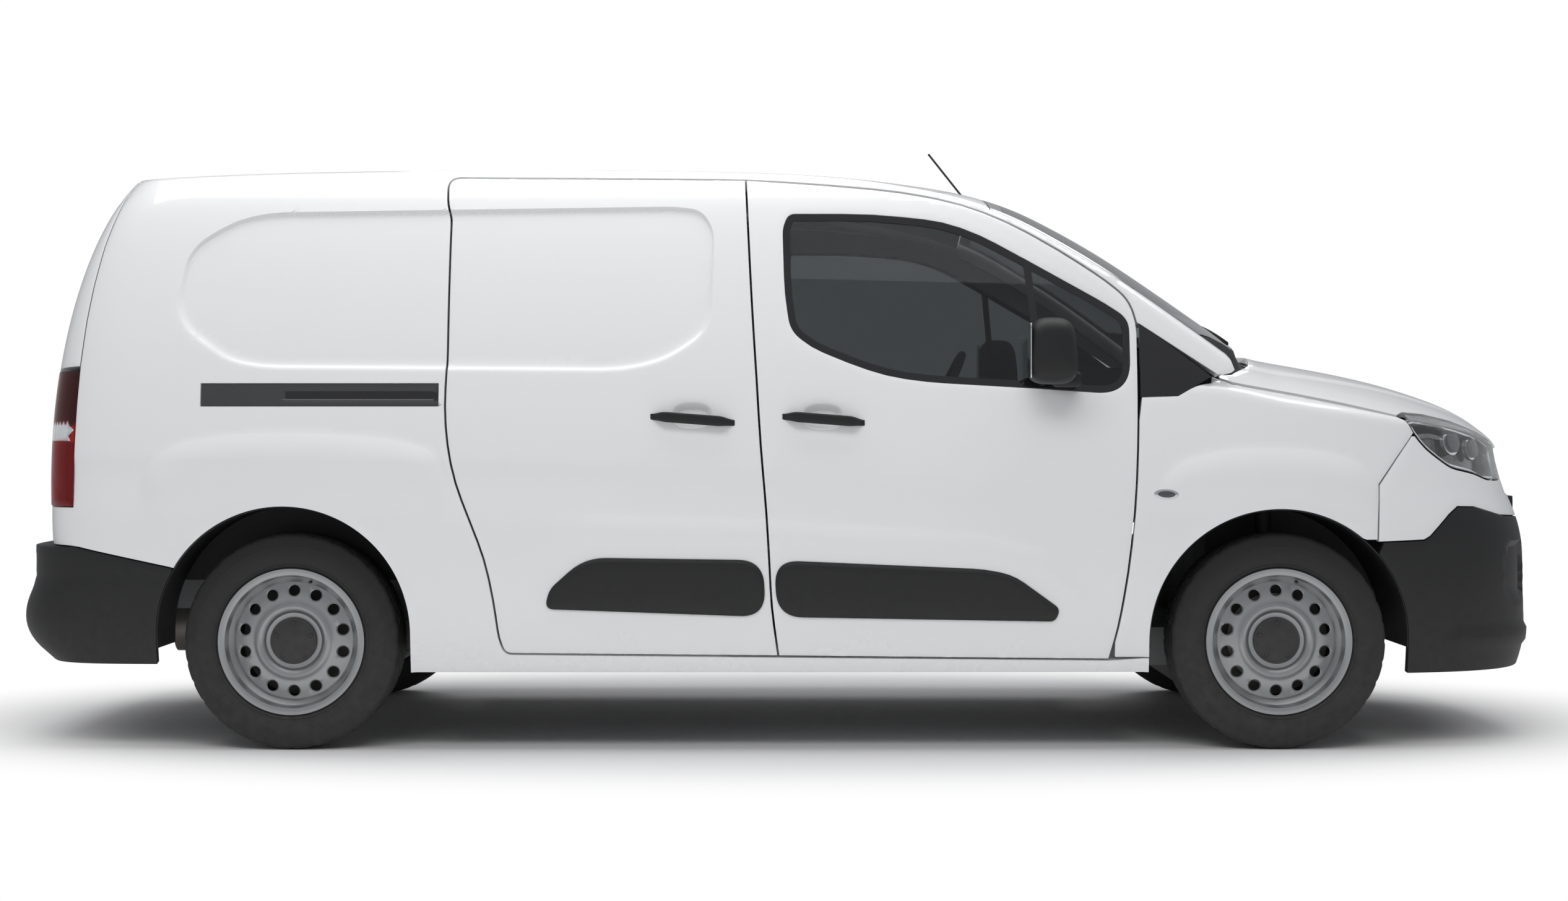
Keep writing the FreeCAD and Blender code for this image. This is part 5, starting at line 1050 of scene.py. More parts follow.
def rear_door_seal():
    """Black strip that fills the seam between the side and the part of the rear door that wraps round."""
    seam = TAIL_LINE
    zs = np.linspace(height(0.632) + 12, 1688, 50)
    x = np.interp(zs, seam[:, 1], seam[:, 0])
    near = np.stack([body.run_of(x - HALF_GAP + 0.5, zs), zs], 1)
    far = np.stack([body.run_of(x + HALF_GAP - 0.5, zs), zs], 1)
    body_panel("rear_door_seal", np.concatenate([near, far[::-1]]), "rubber", "right_rear_door", "dark_trim",
               left_ride="left_rear_door", depth=9.0, out=-1.6, drop=0.2, spacing=30.0)


rear_door_seal()


def strip(rows, closed=False):
    """Triangle strip faces over a grid of rows of points; all rows have the same length."""
    m = len(rows[0])
    faces = []
    last = m if closed else m - 1
    for j in range(len(rows) - 1):
        for i in range(last):
            a, b = j * m + i, j * m + (i + 1) % m
            faces.append((a, b, b + m, a + m))
    return np.concatenate(rows), faces


def capped(rows):
    """Closed piece from rings of points, with its first and last ring filled."""
    points, faces = strip(rows, closed=True)
    m = len(rows[0])
    return points, faces + [tuple(reversed(range(m))), tuple(range(len(points) - m, len(points)))]


def facing_out(points, faces):
    """Turn the faces of a closed piece outwards."""
    points = np.asarray(points, float)
    volume = 0.0
    for f in faces:
        for i in range(1, len(f) - 1):
            volume += float(np.dot(points[f[0]], np.cross(points[f[i]], points[f[i + 1]])))
    return faces if volume > 0 else [tuple(reversed(f)) for f in faces]


def solid(name, made, material, ride, slot, replaces=(), smooth=38.0):
    """Make a closed piece from its (points, faces), with the faces turned outwards."""
    return build(name, made[0], facing_out(*made), material, ride, slot, replaces, smooth=smooth)


def quads_to_tris(faces):
    """Two triangles for each four-cornered face."""
    return np.array([t for a, b, c, d in faces for t in ((a, b, c), (a, c, d))])


def sheet_piece(name, rows, normals, depth, material, ride, slot, replaces=(), drop=1.2, extra=(),
                choose=None):
    """Make a sheet from rows of points with their normals."""
    points, faces = strip(rows)
    n, _ = strip(normals)
    tris = quads_to_tris(faces)
    verts, all_faces = walled(points, n, tris, depth, drop)
    chosen = skin_choice(choose, points[tris].mean(1), all_faces)
    build(name, verts, all_faces, material, ride, slot, replaces, chosen, extra)


def roof_half(xs):
    """Half width of the roof's edge at each x."""
    edge = top_crossing(roof, "roof")[2]
    side = edge[edge[:, 1] < -300]
    return np.interp(xs, side[:, 0], -side[:, 1])


def roof_skin():
    """Roof between the two ditches, from the rear header to the windscreen."""
    xs = np.concatenate([np.linspace(station(-0.600), station(0.55), 110),
                         np.linspace(station(0.556), station(0.7115), 40)])
    half = roof_half(xs) - 53.0
    shares = np.linspace(-1, 1, 61)
    rows = [roof.at(xs, -half * s) for s in shares]
    normals = [roof.normal(xs, -half * s) for s in shares]
    for row, n, s in zip(rows, normals, shares):
        for centre in (-0.62, -0.31, 0.0, 0.31, 0.62):
            rib = ease(1 - np.abs(s - centre) / 0.055) * 3.2
            rib = rib * ease((row[:, 0] - station(-0.5)) / 80) * ease((station(0.52) - row[:, 0]) / 80)
            row += n * rib[:, None] * -1
    sheet_piece("roof_skin", [r[::-1] for r in rows], [n[::-1] for n in normals], 26.0, "paint", "van_body",
                "paint", ("roof_panel",))


roof_skin()
header_run = run_at(CORNER_X, CORNER_Z) - HALF_GAP
low = height(0.962) + GAP - 1
ring = []
runs = np.linspace(-header_run, header_run, 120)
bottom = [(r, low - 24 * ease((abs(r) - header_run + 60) / 60)) for r in runs]
top = [(r, float(roof_edge(np.array([r]))[0]) + 62.0) for r in runs[::-1]]
body_panel("rear_header", np.array(bottom + top), "paint", "van_body", "paint", place=roof_place,
           normal=roof_normal, both=False, depth=28.0)


BONNET_REAR = [(0.932, 1.02), (0.950, 0.86), (0.988, 0.60), (1.012, 0.30), (1.018, 0.0)]
SCREEN_GAP = 48.0


def bonnet_edge(y):
    """Where the bonnet's rear edge lies along the van at a half width."""
    return np.interp(np.abs(y), [p[1] * HALF_WIDTH for p in BONNET_REAR][::-1],
                     [station(p[0]) for p in BONNET_REAR][::-1])


def screen_foot(y):
    """Where the windscreen ends, further from the bonnet at the corners, which rise most as it opens."""
    return bonnet_edge(y) - SCREEN_GAP - 30.0 * ease((np.abs(y) - 520) / 200)


def windscreen_glass():
    """Curved windscreen with its black border."""
    xs = np.linspace(station(0.7125), station(1.045), 70)
    half = roof_half(xs) - 54.0
    rows, normals = [], []
    for s in np.linspace(-1, 1, 71):
        reach = station(1.0)
        for _ in range(6):
            reach = float(screen_foot(np.interp(reach, xs, half) * abs(s)))
        x = xs[0] + (reach - xs[0]) * np.linspace(0, 1, 70)
        h = np.interp(x, xs, half)
        rows.append(roof.at(x, -h * s))
        normals.append(roof.normal(x, -h * s))

    def choose(middle):
        x, y = middle[:, 0], middle[:, 1]
        h = np.interp(x, xs, half)
        reach = screen_foot(y)
        border = (np.abs(y) > h - 34) | (x < xs[0] + 40) | (x > reach - 95)
        return border.astype(int)

    sheet_piece("windscreen_glass", [r[::-1] for r in rows], [n[::-1] for n in normals], 5.0, "glass",
                "van_body", "glass", ("windscreen",), drop=0.6, extra=("black_border",), choose=choose)


windscreen_glass()


def cowl():
    """Dark panel that drops from the windscreen's foot to below the bonnet's rear edge."""
    ys = np.linspace(-775, 775, 111)
    edge = bonnet_edge(ys)
    foot = screen_foot(ys) - 3.0
    top = roof.z(foot, ys) - 4.0
    low = hood.z(edge, ys)
    rows = [np.stack([foot - 16, ys, roof.z(foot - 16, ys) - 12.0], 1), np.stack([foot, ys, top], 1),
            np.stack([foot + 6, ys, top - 5.0], 1)]
    for t in (0.25, 0.5, 0.75, 1.0):
        rows.append(np.stack([foot + 6 + (edge - foot - 17) * t, ys,
                              top - 5 + (low - 34 - top + 5) * t ** 0.8], 1))
    rows.append(np.stack([edge + 30, ys, hood.z(edge + 30, ys) - 40.0], 1))
    rows.append(np.stack([edge + 60, ys, hood.z(edge + 60, ys) - 44.0], 1))
    normals = []
    for k, row in enumerate(rows):
        a = rows[min(k + 1, len(rows) - 1)] - rows[max(k - 1, 0)]
        b = np.gradient(row, axis=0)
        n = np.cross(a, b)
        normals.append(n / np.linalg.norm(n, axis=1)[:, None])
    sheet_piece("cowl_panel", rows, normals, 3.0, "moulding", "van_body", "dark_trim", drop=0.3)


cowl()


def vertex_normals(points, tris):
    """Directions straight out of a triangle skin at its points."""
    a, b, c = (points[tris[:, k]] for k in range(3))
    face = np.cross(b - a, c - a)
    total = np.zeros_like(points)
    for k in range(3):
        np.add.at(total, tris[:, k], face)
    return total / np.maximum(np.linalg.norm(total, axis=1), 1e-9)[:, None]


def on_hood(points):
    """Side view points (x, z) as (run, height) points of the side that carries on over the bonnet."""
    points = np.asarray(points, float)
    x, z = points.T
    run = body.run_of(x, np.minimum(z, 1100.0))
    for _ in range(5):
        zc = hood_edge(run)
        lo, hi = np.zeros(len(x)), np.full(len(x), 260.0)
        for _ in range(22):
            reach = (lo + hi) / 2
            p = hood_inward(run, reach)
            low = p[:, 2] < z
            lo, hi = np.where(low, reach, lo), np.where(low, hi, reach)
        over = z > zc
        px = np.where(over, hood_inward(run, lo)[:, 0], body.at(run, np.minimum(z, zc))[:, 0])
        run = np.clip(run + (x - px), 0, body.end)
        zc = hood_edge(run)
    q = np.where(z > zc, zc + lo, z)
    return np.stack([run, q], 1)


def full_width(half):
    """A ring from its right half, which starts and ends on the van's centre line."""
    half = np.asarray(half, float)
    other = half[::-1].copy()
    other[:, 0] = 2 * body.end - other[:, 0]
    return np.concatenate([half, other[1:-1]])


NOSE_TABLE = [(1.418, 0.5575), (1.448, 0.5625), (1.536, 0.5595), (1.644, 0.5485), (1.754, 0.5285),
              (1.860, 0.5005)]


def bonnet():
    """Bonnet skin: an edge that rolls over onto the top surface, a filled middle and its raised field."""
    side = [(s, h + 0.0045) for s, h in WING_TOP[1:-1]]
    line = np.array(side_points([(0.945, WING_TOP[0][1] - 0.002)] + side + NOSE_TABLE))
    line = resample(line, 18, False)
    tip = body.at(np.array([body.end]), np.array([900.0]))[0, 0]
    line = line[line[:, 0] < tip - 12]
    q = on_hood(line)
    q = q[np.concatenate([[True], np.diff(q[:, 0]) > 2])]
    last = q[-1]
    more = np.arange(last[0] + 18, body.end, 18)
    front = np.stack([more, np.full(len(more), last[1])], 1)
    half = np.concatenate([q, front, [[body.end, last[1]]]])
    other = half[::-1][1:].copy()
    other[:, 0] = 2 * body.end - other[:, 0]
    edge = np.concatenate([half, other])
    zc = hood_edge(edge[:, 0])
    inner = np.maximum(edge[:, 1], zc + 16) + 34
    shares = np.array([0, 0.04, 0.10, 0.2, 0.32, 0.44, 0.56, 0.68, 0.8, 0.9, 1.0])
    rows = [hood_place(np.stack([edge[:, 0], edge[:, 1] + (inner - edge[:, 1]) * s], 1)) for s in shares]
    ring = rows[-1][:, :2]
    ys = np.array([p[1] for p in BONNET_REAR]) * HALF_WIDTH
    xs = np.array([station(p[0]) for p in BONNET_REAR])
    across = np.linspace(ring[-1, 1], ring[0, 1], 70)[1:-1]
    rear = np.stack([np.interp(np.abs(across), ys[::-1], xs[::-1]), across], 1)
    rear[:, 0] = np.maximum(rear[:, 0], ring[0, 0] - 20)
    flat, tris = triangulated(np.concatenate([ring, rear]), spacing=20.0)
    top = hood.at(flat[:, 0], flat[:, 1])
    points, faces = strip(rows)
    start = len(points) - len(ring)
    index = np.concatenate([np.arange(len(ring)) + start, np.arange(len(flat) - len(ring)) + len(points)])
    points = np.concatenate([points, top[len(ring):]])
    strip_tris = quads_to_tris(faces)
    fill = index[tris]
    if vertex_normals(points, fill)[fill[0, 0], 2] < 0:
        fill = fill[:, ::-1]
    if vertex_normals(points, strip_tris)[start + len(ring) // 4, 2] < 0:
        strip_tris = strip_tris[:, ::-1]
    every = np.concatenate([strip_tris, fill])
    n = vertex_normals(points, every)
    x, y = points[:, 0], np.abs(points[:, 1])
    width = np.interp(x, [1350, 2250], [610, 430])
    raised = 5.0 * ease((width - y) / 46) * ease((2235 - x) / 150)
    points = points + n * raised[:, None]
    verts, all_faces = walled(points, n, every, 18.0)
    build("bonnet_skin", verts, all_faces, "paint", "bonnet_lid", "paint", ("bonnet",))


bonnet()


def clipped(q, half_y):
    """Keep the points of a ring outboard of a half width, by sliding those beyond it back to that line."""
    return np.stack([np.minimum(q[:, 0], nose_runs(half_y, q[:, 1])), q[:, 1]], 1)


lamp_loop = rounded(side_points(LAMP))
SKIRT_LINE = side_points(SKIRT_TOP)


def nose_ring(line, gap):
    """(run, height) points along a side view line that carries on round the nose at its last height."""
    line = resample(line, 16, False)
    q = to_run(line)
    keep = np.concatenate([[True], np.diff(q[:, 0]) > 1.0]) & (q[:, 0] < body.end - 30)
    q = q[keep]
    more = np.arange(q[-1, 0] + 18, body.end - 5, 18)
    q = np.concatenate([q, np.stack([more, np.full(len(more), q[-1, 1])], 1), [[body.end, q[-1, 1]]]])
    return q + [0, gap]


def bumper_ring():
    """Outline of the painted bumper between the lamps, the grille and the skirt."""
    low = nose_ring(SKIRT_LINE, 3.0)[::-1]
    side = to_run(resample(side_points([(1.336, 0.347), (1.341, 0.4405), (1.404, 0.4835), (1.462, 0.5215)]),
                           16, False))
    loop = moved_out(lamp_loop, HALF_GAP)
    bottom = loop[(loop[:, 1] < np.interp(loop[:, 0], [station(1.44), station(1.90)],
                                          [height(0.548), height(0.470)]))]
    bottom = bottom[np.argsort(bottom[:, 0])]
    q = clipped(to_run(resample(bottom, 14, False)), 545.0)
    q = q[np.concatenate([[True], np.hypot(*np.diff(q, axis=0).T) > 4])]
    zs = np.arange(q[-1, 1] - 8, height(0.420), -12.0)
    inner = np.stack([nose_runs(541.0, zs), zs], 1)
    base = height(0.420)
    first = nose_run(541.0, base)
    across = np.arange(first, body.end, 18)
    level = np.stack([np.append(across, body.end), np.full(len(across) + 1, base)], 1)
    half = np.concatenate([low, side[1:], q[q[:, 0] > side[-1, 0] + 4], inner, level])
    return full_width(half)


body_panel("bumper_skin", bumper_ring(), "paint", "van_body", "paint", replaces=("front_bumper",), both=False,
           depth=24.0, spacing=20.0)


def chin_relief(points):
    """Lip, side pockets and flat middle of the front skirt."""
    x, y, z = points.T
    out = 9.0 * ease((z - height(0.164)) / 12) * ease((height(0.196) - z) / 12) * (x > station(1.6))
    fog = rounded([(1.815, 0.243), (1.815, 0.337), (1.950, 0.342), (1.975, 0.243)])
    d = signed(np.stack([x, z], 1), np.array([(station(a), height(b)) for a, b in fog]))
    pocket = ease(d / 10) * ease((np.abs(y) - 470) / 12)
    flat = ease((height(0.352) - z) / 10) * ease((z - height(0.205)) / 10) * ease((452 - np.abs(y)) / 14)
    return out - 18.0 * pocket - 5.0 * flat


def skirt_ring():
    """Outline of the dark skirt under the painted bumper."""
    top = nose_ring(SKIRT_LINE, -1.5)
    front = ARCHES[1]
    a0 = math.degrees(math.acos((SKIRT_LINE[0][0] - front[0]) / front[2]))
    side = arc(front[:2], front[2], a0, 0.0, 24) + [(front[0] + front[2], height(0.126))]
    side = to_run(resample(side, 14, False))[::-1]
    low = height(0.126)
    runs = np.arange(body.end, side[0, 0], -18.0)
    base = np.stack([runs, np.full(len(runs), low)], 1)
    start = int(np.argmin(np.hypot(*(top - side[-1]).T)))
    return full_width(np.concatenate([base, side, top[start + 1:]]))


low, high = height(0.205), height(0.345)
zs = np.linspace(low, high, 12)
hole_runs = nose_runs(430.0, zs)
right = np.stack([hole_runs, zs], 1)
left = np.stack([2 * body.end - hole_runs, zs], 1)[::-1]
across = np.linspace(0, 1, 46)[1:-1, None]
top_row, low_row = right[-1] + (left[0] - right[-1]) * across, left[-1] + (right[0] - left[-1]) * across
intake = np.concatenate([right, top_row, left, low_row])
body_panel("skirt_skin", skirt_ring(), "moulding", "van_body", "dark_trim", replaces=("front_skirt",),
           both=False, depth=22.0, spacing=20.0, holes=(intake,), relief=chin_relief)


def bar_across(z, depth, thick, deep, reach, count=40):
    """Level bar that follows the nose from side to side."""
    first = nose_run(reach, z)
    runs = np.linspace(first, 2 * body.end - first, count)
    centre = body.at(runs, np.full(count, z))
    n = body.normal(runs, np.full(count, z))
    n[:, 2] = 0
    n /= np.linalg.norm(n, axis=1)[:, None]
    profile = [(deep / 2 * bulge(c, 0.6), thick / 2 * bulge(s, 0.6)) for c, s in round_turn(14)]
    rows = []
    for p, d in zip(centre, n):
        rows.append(np.array([p - d * (depth + deep / 2) + d * a + np.array([0, 0, b]) for a, b in profile]))
    return capped(rows)


def joined(parts):
    """Several (points, faces) pieces as one."""
    points, faces = [], []
    for p, f in parts:
        count = sum(map(len, points))
        points.append(np.asarray(p, float))
        faces += [tuple(i + count for i in face) for face in f]
    return np.concatenate(points), faces


bars = [bar_across(height(0.420) + 13 + k * 21.5, 10 + 2.0 * k, 12.0, 26.0, 530.0) for k in range(6)]
solid("grille_bars", joined(bars), "gloss_black", "van_body", "gloss_trim", ("grille",), 60)
bars = [bar_across(low + (k + 1) * (high - low) / 4, 10, 15.0, 22.0, 438.0) for k in range(3)]
solid("intake_bars", joined(bars), "moulding", "van_body", "dark_trim", smooth=60)


def cover(name, z0, z1, reach, depth, material, slot):
    """Plate behind an opening in the nose, at a depth."""
    first = nose_run(reach, (z0 + z1) / 2)
    runs = np.linspace(first, 2 * body.end - first, 40)
    rows, normals = [], []
    for z in np.linspace(z0, z1, 6):
        n = body.normal(runs, np.full(40, z))
        rows.append(body.at(runs, np.full(40, z)) - n * depth)
        normals.append(n)
    sheet_piece(name, rows, normals, 4.0, material, "van_body", slot)


cover("grille_back", height(0.420), height(0.492), 536.0, 44.0, "moulding", "dark_trim")
cover("intake_back", low, high, 436.0, 40.0, "moulding", "dark_trim")


def shell_box(name, ring, place, normal, front, back, thick, material, slot, shrink):
    """Open tray behind a lens: a floor at a depth with walls up to just behind the lens."""
    ring = moved_out(ring, -shrink)
    q, tris = triangulated(ring, spacing=22.0)
    floor = place(q) - normal(q) * back
    m = len(ring)
    rim_rows = [place(ring) - normal(ring) * (back + (front - back) * t) for t in (0.0, 0.35, 0.7, 1.0)]
    points = [floor]
    index = [np.arange(m)]
    count = len(floor)
    for row in rim_rows[1:]:
        points.append(row)
        index.append(np.arange(m) + count)
        count += m
    every = [tris]
    for a, b in zip(index, index[1:]):
        c, d = np.roll(a, -1), np.roll(b, -1)
        every += [np.stack([a, d, c], 1), np.stack([a, b, d], 1)]
    points, every = np.concatenate(points), np.concatenate(every)
    ring_area = np.sum(ring[:, 0] * np.roll(ring[:, 1], -1) - np.roll(ring[:, 0], -1) * ring[:, 1])
    if ring_area > 0:
        every[len(tris):] = every[len(tris):][:, ::-1]
    n = vertex_normals(points, every)
    verts, faces = walled(points, n, every, thick, 0.2)
    build(name + "_right", verts, faces, material, "van_body", slot)
    build(name + "_left", verts, faces, material, "van_body", slot, mirror=True)


lamp_ring = moved_out(resample(lamp_loop, 12), -1.0)
lamp_q = on_hood(lamp_ring)
LAMP_INNER = 548.0
limit = nose_runs(LAMP_INNER, np.minimum(lamp_q[:, 1], hood_edge(lamp_q[:, 0])))
lamp_q[:, 0] = np.minimum(lamp_q[:, 0], limit)
lamp_q = lamp_q[np.hypot(*(lamp_q - np.roll(lamp_q, 1, 0)).T) > 2.5]
body_panel("headlamp_lens", lamp_q, "lens_clear", "van_body", "lamp_clear", replaces=("headlamps",),
           depth=3.0, place=hood_place, normal=hood_normal, out=-0.6, drop=0.8)
shell_box("headlamp_bowl", lamp_q, hood_place, hood_normal, 5.0, 52.0, 2.0, "gloss_black", "gloss_trim", 3.0)
body_panel("running_light", resample(moved_out(lamp_q, -9.0), 9), "lamp_silver", "van_body", "lamp_clear",
           place=hood_place, normal=hood_normal, holes=(resample(moved_out(lamp_q, -15.0), 9),), out=-14.0,
           depth=6.0, drop=0.6)


def lamp_module(name, share, lift, radius):
    """Round lens in its bright ring inside a headlamp."""
    low, high = lamp_q.min(0), lamp_q.max(0)
    centre = low + (high - low) * [share, lift]
    for part, size, finish_name, out, deep in (("ring", radius * 1.22, "lamp_silver", -26.0, 14.0),
                                               ("lens", radius, "lens_dark", -16.0, 20.0)):
        ring = centre + np.array(arc((0, 0), size, 0, 360, 41)[:-1])
        q, tris = triangulated(ring, spacing=7.0)
        d = np.hypot(*(q - centre).T) / size
        n = hood_normal(q)
        crown = (8.0 if part == "lens" else 0.0) * np.sqrt(np.clip(1 - d ** 2, 0, 1))
        points = hood_place(q) + n * (out + crown)[:, None]
        verts, faces = walled(points, n, tris, deep, 0.6)
        pair("%s_%s" % (name, part), verts, faces, finish_name, "van_body", "lamp_clear")


def tail_lamp_ring():
    """Outline of a tail lamp between the side's seam and the rear door."""
    seam = TAIL_LINE
    low, high = height(0.405), height(0.632) - HALF_GAP
    zs = np.linspace(low, high, 40)
    x = np.interp(zs, seam[:, 1], seam[:, 0]) - 1.0
    side = np.stack([body.run_of(x, zs), zs], 1)
    inner = np.array([(tail_run(739.0, z), z) for z in zs[::-1]])
    return resample(np.concatenate([side, inner]), 12)


tail_ring = tail_lamp_ring()
body_panel("tail_lens", tail_ring, "lens_red", "van_body", "lamp_red", replaces=("tail_lamps",), depth=3.0,
           drop=1.5,
           out=1.5, extra=("lens_smoke", "lens_clear"), cut_materials=lambda m: np.where(m[:, 1] > 985, 1,
                                            np.where((m[:, 1] > 935) & (m[:, 0] < 905), 2, 0)))
shell_box("tail_bowl", tail_ring, on_body, off_body, 3.0, 40.0, 2.0, "lamp_silver", "wheel_steel", 2.5)


def rear_bumper_ring():
    """Outline of the rear bumper from one wheel arch round the tail to the other."""
    rear = ARCHES[0]
    top = height(0.338) - 1
    meet_z = height(0.302)
    corner_run = run_at(station(-0.736), top, tail_bumper)
    runs = np.arange(0, corner_run, 16.0)
    upper = [(r, top) for r in runs] + [(corner_run, top)]
    side = [(station(-0.736), top), (station(-0.398), meet_z)]
    a0 = angle_at(rear[:2], rear[2], meet_z, True)
    side += arc(rear[:2], rear[2], a0, 180.0, 30)[1:]
    side += [(rear[0] - rear[2], height(0.143))]
    side = to_run(resample(side, 14, False), tail_bumper)[1:]
    low_runs = np.arange(side[-1, 0], 0, -16.0)
    lower = [(r, height(0.143)) for r in low_runs[1:]] + [(0.0, height(0.143))]
    half = np.concatenate([upper, side, lower])
    other = half[::-1][1:-1].copy()
    other[:, 0] *= -1
    return np.concatenate([half, other])


def step_relief(points):
    """Grooved step and the plain fields of the rear bumper."""
    x, y, z = points.T
    plate = rounded([(-285.0, 425.0), (285.0, 425.0), (285.0, 560.0), (-285.0, 560.0)])
    d = signed(np.stack([y, z], 1), plate)
    return -7.0 * ease(d / 12) * (x < -2200) - 2.5 * ease(1 - np.abs(z - 520) / 5) * (np.abs(y) > 330)


body_panel("rear_bumper_skin", rear_bumper_ring(), "moulding", "van_body", "dark_trim",
           replaces=("rear_bumper",), both=False, depth=26.0, place=on_bumper, normal=off_bumper,
           relief=step_relief)


def bumper_step():
    """Ribbed tread on top of the rear bumper."""
    top = height(0.338)
    corner = run_at(station(-0.736), top, tail_bumper)
    runs = np.linspace(-corner, corner, 130)
    outer = tail_bumper.at(runs, np.full(130, top - 1.0))
    ends = run_at(station(-0.736), top)
    body_runs = np.linspace(-ends, ends, 130)
    inner = body.at(body_runs, np.full(130, top)) - body.normal(body_runs, np.full(130, top)) * 48
    rows = []
    for t in np.linspace(0, 1, 16):
        row = outer + (inner - outer) * t
        row[:, 2] = top - 1.0 + (2.2 if 0.12 < t < 0.75 and int(t * 15) % 2 else 0.0)
        rows.append(row)
    normals = [np.tile([0.0, 0.0, 1.0], (130, 1))] * 16
    sheet_piece("bumper_step", rows, normals, 24.0, "moulding", "van_body", "dark_trim")


bumper_step()
quarter_ring = moved_out(resample(np.array(side_points(QUARTER)), 14), -0.8)
body_panel("quarter_trim", to_run(quarter_ring), "gloss_black", "van_body", "gloss_trim", depth=16.0,
           out=-1.5, replaces=("body_trims",))
glass_line = resample(rounded(side_points(WINDOW)), 12)
glass_ring = to_run(moved_out(glass_line, -1.0))
border_ring = to_run(resample(moved_out(glass_line, -22.0), 14))


def glass_border(q):
    """Which triangles of the door glass lie in its black border."""
    return (~inside(q, border_ring)).astype(int)


body_panel("door_glass", glass_ring, "glass", "right_front_door", "glass", replaces=("door_glass_right",),
           depth=4.5,
           left_ride="left_front_door", left_replaces=("door_glass_left",), out=-3.0, drop=0.5, spacing=26.0,
           cuts=(border_ring,), cut_materials=glass_border, extra=("black_border",))


def upright(x_low, x_high, z_low, z_high, half):
    """Black bar across the door glass, as a (run, height) outline."""
    ring = [(x_low - half, z_low), (x_low + half, z_low), (x_high + half, z_high), (x_high - half, z_high)]
    return to_run(resample(ring, 12))


body_panel("glass_bar", upright(770.0, 727.0, 1098.0, 1490.0, 11.0), "gloss_black", "right_front_door",
           "gloss_trim", left_ride="left_front_door", depth=7.0, out=-1.2, drop=0.8)


def clad_relief(ring):
    """How far a cladding stands out, for its outline."""
    def relief(points):
        return 5.0 + 8.0 * ease(signed(points[:, [0, 2]], ring) / 13)
    return relief


def cladding(name, shares, ride, left_ride, replaces=(), left_replaces=()):
    """Soft-edged rubbing panel low on the side, and its mirror image."""
    ring = rounded(side_points(shares))
    rows = [(to_run(moved_out(resample(ring, 12), -d)), 5.0) for d in (5, 9, 14)]
    body_panel(name, to_run(resample(ring, 12)), "moulding", ride, "dark_trim", replaces=replaces,
               left_ride=left_ride, left_replaces=left_replaces, depth=4.6, relief=clad_relief(ring),
               rows=rows, spacing=20.0)


cladding("slide_cladding", SLIDE_CLADDING, "van_body", "van_body")
cladding("door_cladding", DOOR_CLADDING, "right_front_door", "left_front_door", ("door_fittings_right",),
         ("door_fittings_left",))
rail_ring = moved_out(resample(RAIL_RING, 14), -2.5)
rail_rows = [(to_run(resample([(RAIL_RING[0][0] + 60, z), (RAIL_RING[1][0] - 4, z)], 14, False)), 4.0)
             for z in (1056, 1059, 1081, 1084)]


def rail_relief(points):
    x, z = points[:, 0], points[:, 2]
    groove = ease((x - RAIL_RING[0][0] - 250) / 6) * ease((z - 1054) / 4) * ease((1086 - z) / 4)
    return -6.5 * groove


body_panel("slide_rail", to_run(rail_ring), "rail_grey", "van_body", "dark_trim", depth=6.0, out=-2.6,
           relief=rail_relief, rows=rail_rows, extra=("gloss_black",),
           cut_materials=lambda m: ((m[:, 0] > to_run([(RAIL_RING[0][0] + 251.0, 1070.0)])[0, 0])
                                    & (m[:, 1] > 1055) & (m[:, 1] < 1085)).astype(int))


def handle(start, end):
    """Pull handle: a rounded bar that leaves the door at both ends."""
    count, section = 40, 18
    x0, x1 = station(start), station(end)
    rows = []
    for t in np.linspace(0, 1, count):
        x = x0 + (x1 - x0) * t
        z = height(0.5535 - 0.0105 * t) + 1.0
        run = body.run_of(np.array([x]), np.array([z]))
        p = body.at(run, np.array([z]))[0]
        n = body.normal(run, np.array([z]))[0]
        rise = 27.0 * ease(t / 0.16) * ease((1 - t) / 0.16) - 2.0
        wide = 9.0 + 6.5 * ease(t / 0.2) * ease((1 - t) / 0.2)
        thick = 4.0 + 3.5 * ease(t / 0.12) * ease((1 - t) / 0.12)
        ring = []
        for c, s in round_turn(section):
            ring.append(p + n * (rise + thick * bulge(c, 0.7))
                        + np.array([0, 0, wide * bulge(s, 0.7)]))
        rows.append(np.array(ring))
    return capped(rows)


def pair(name, points, faces, material, ride, slot, left_ride=None, smooth=50, **more):
    """Make a closed piece and its mirror image."""
    faces = facing_out(points, faces)
    build(name + "_right", points, faces, material, ride, slot, smooth=smooth, **more)
    build(name + "_left", points, faces, material, left_ride or ride, slot, smooth=smooth, mirror=True)


pair("slide_handle", *handle(0.364, 0.449), "moulding", "van_body", "dark_trim")
pair("door_handle", *handle(0.497, 0.580), "moulding", "right_front_door", "dark_trim", "left_front_door")


MIRROR_X = 789.0


def mirror_housing():
    """Rounded housing of a door mirror; its arm and the glass in its rear face are made apart from it."""
    x0, z0 = MIRROR_X, 1199.0
    inner, reach = 923.0, 1053.0
    rows = []
    count, section = 30, 36
    for t in np.linspace(0, 1, count):
        y = -(inner + (reach - inner) * t)
        size = (1 - abs(2 * t - 1) ** 3.2) ** (1 / 3.2) if 0 < t < 1 else 0.02
        size = max(size, 0.05) * (1.0 - 0.10 * t)
        ring = []
        for c, s in round_turn(section):
            dx = 78 * size * bulge(c, 0.62)
            dz = 104 * size * bulge(s, 0.55)
            if dx < 0:
                dx = max(dx, -66.0)
            ring.append((x0 + dx * (1 - 0.0012 * dz), y, z0 + dz))
        rows.append(np.array(ring))
    return capped(rows)


pair("mirror_housing", *mirror_housing(), "moulding", "right_front_door", "dark_trim", "left_front_door")


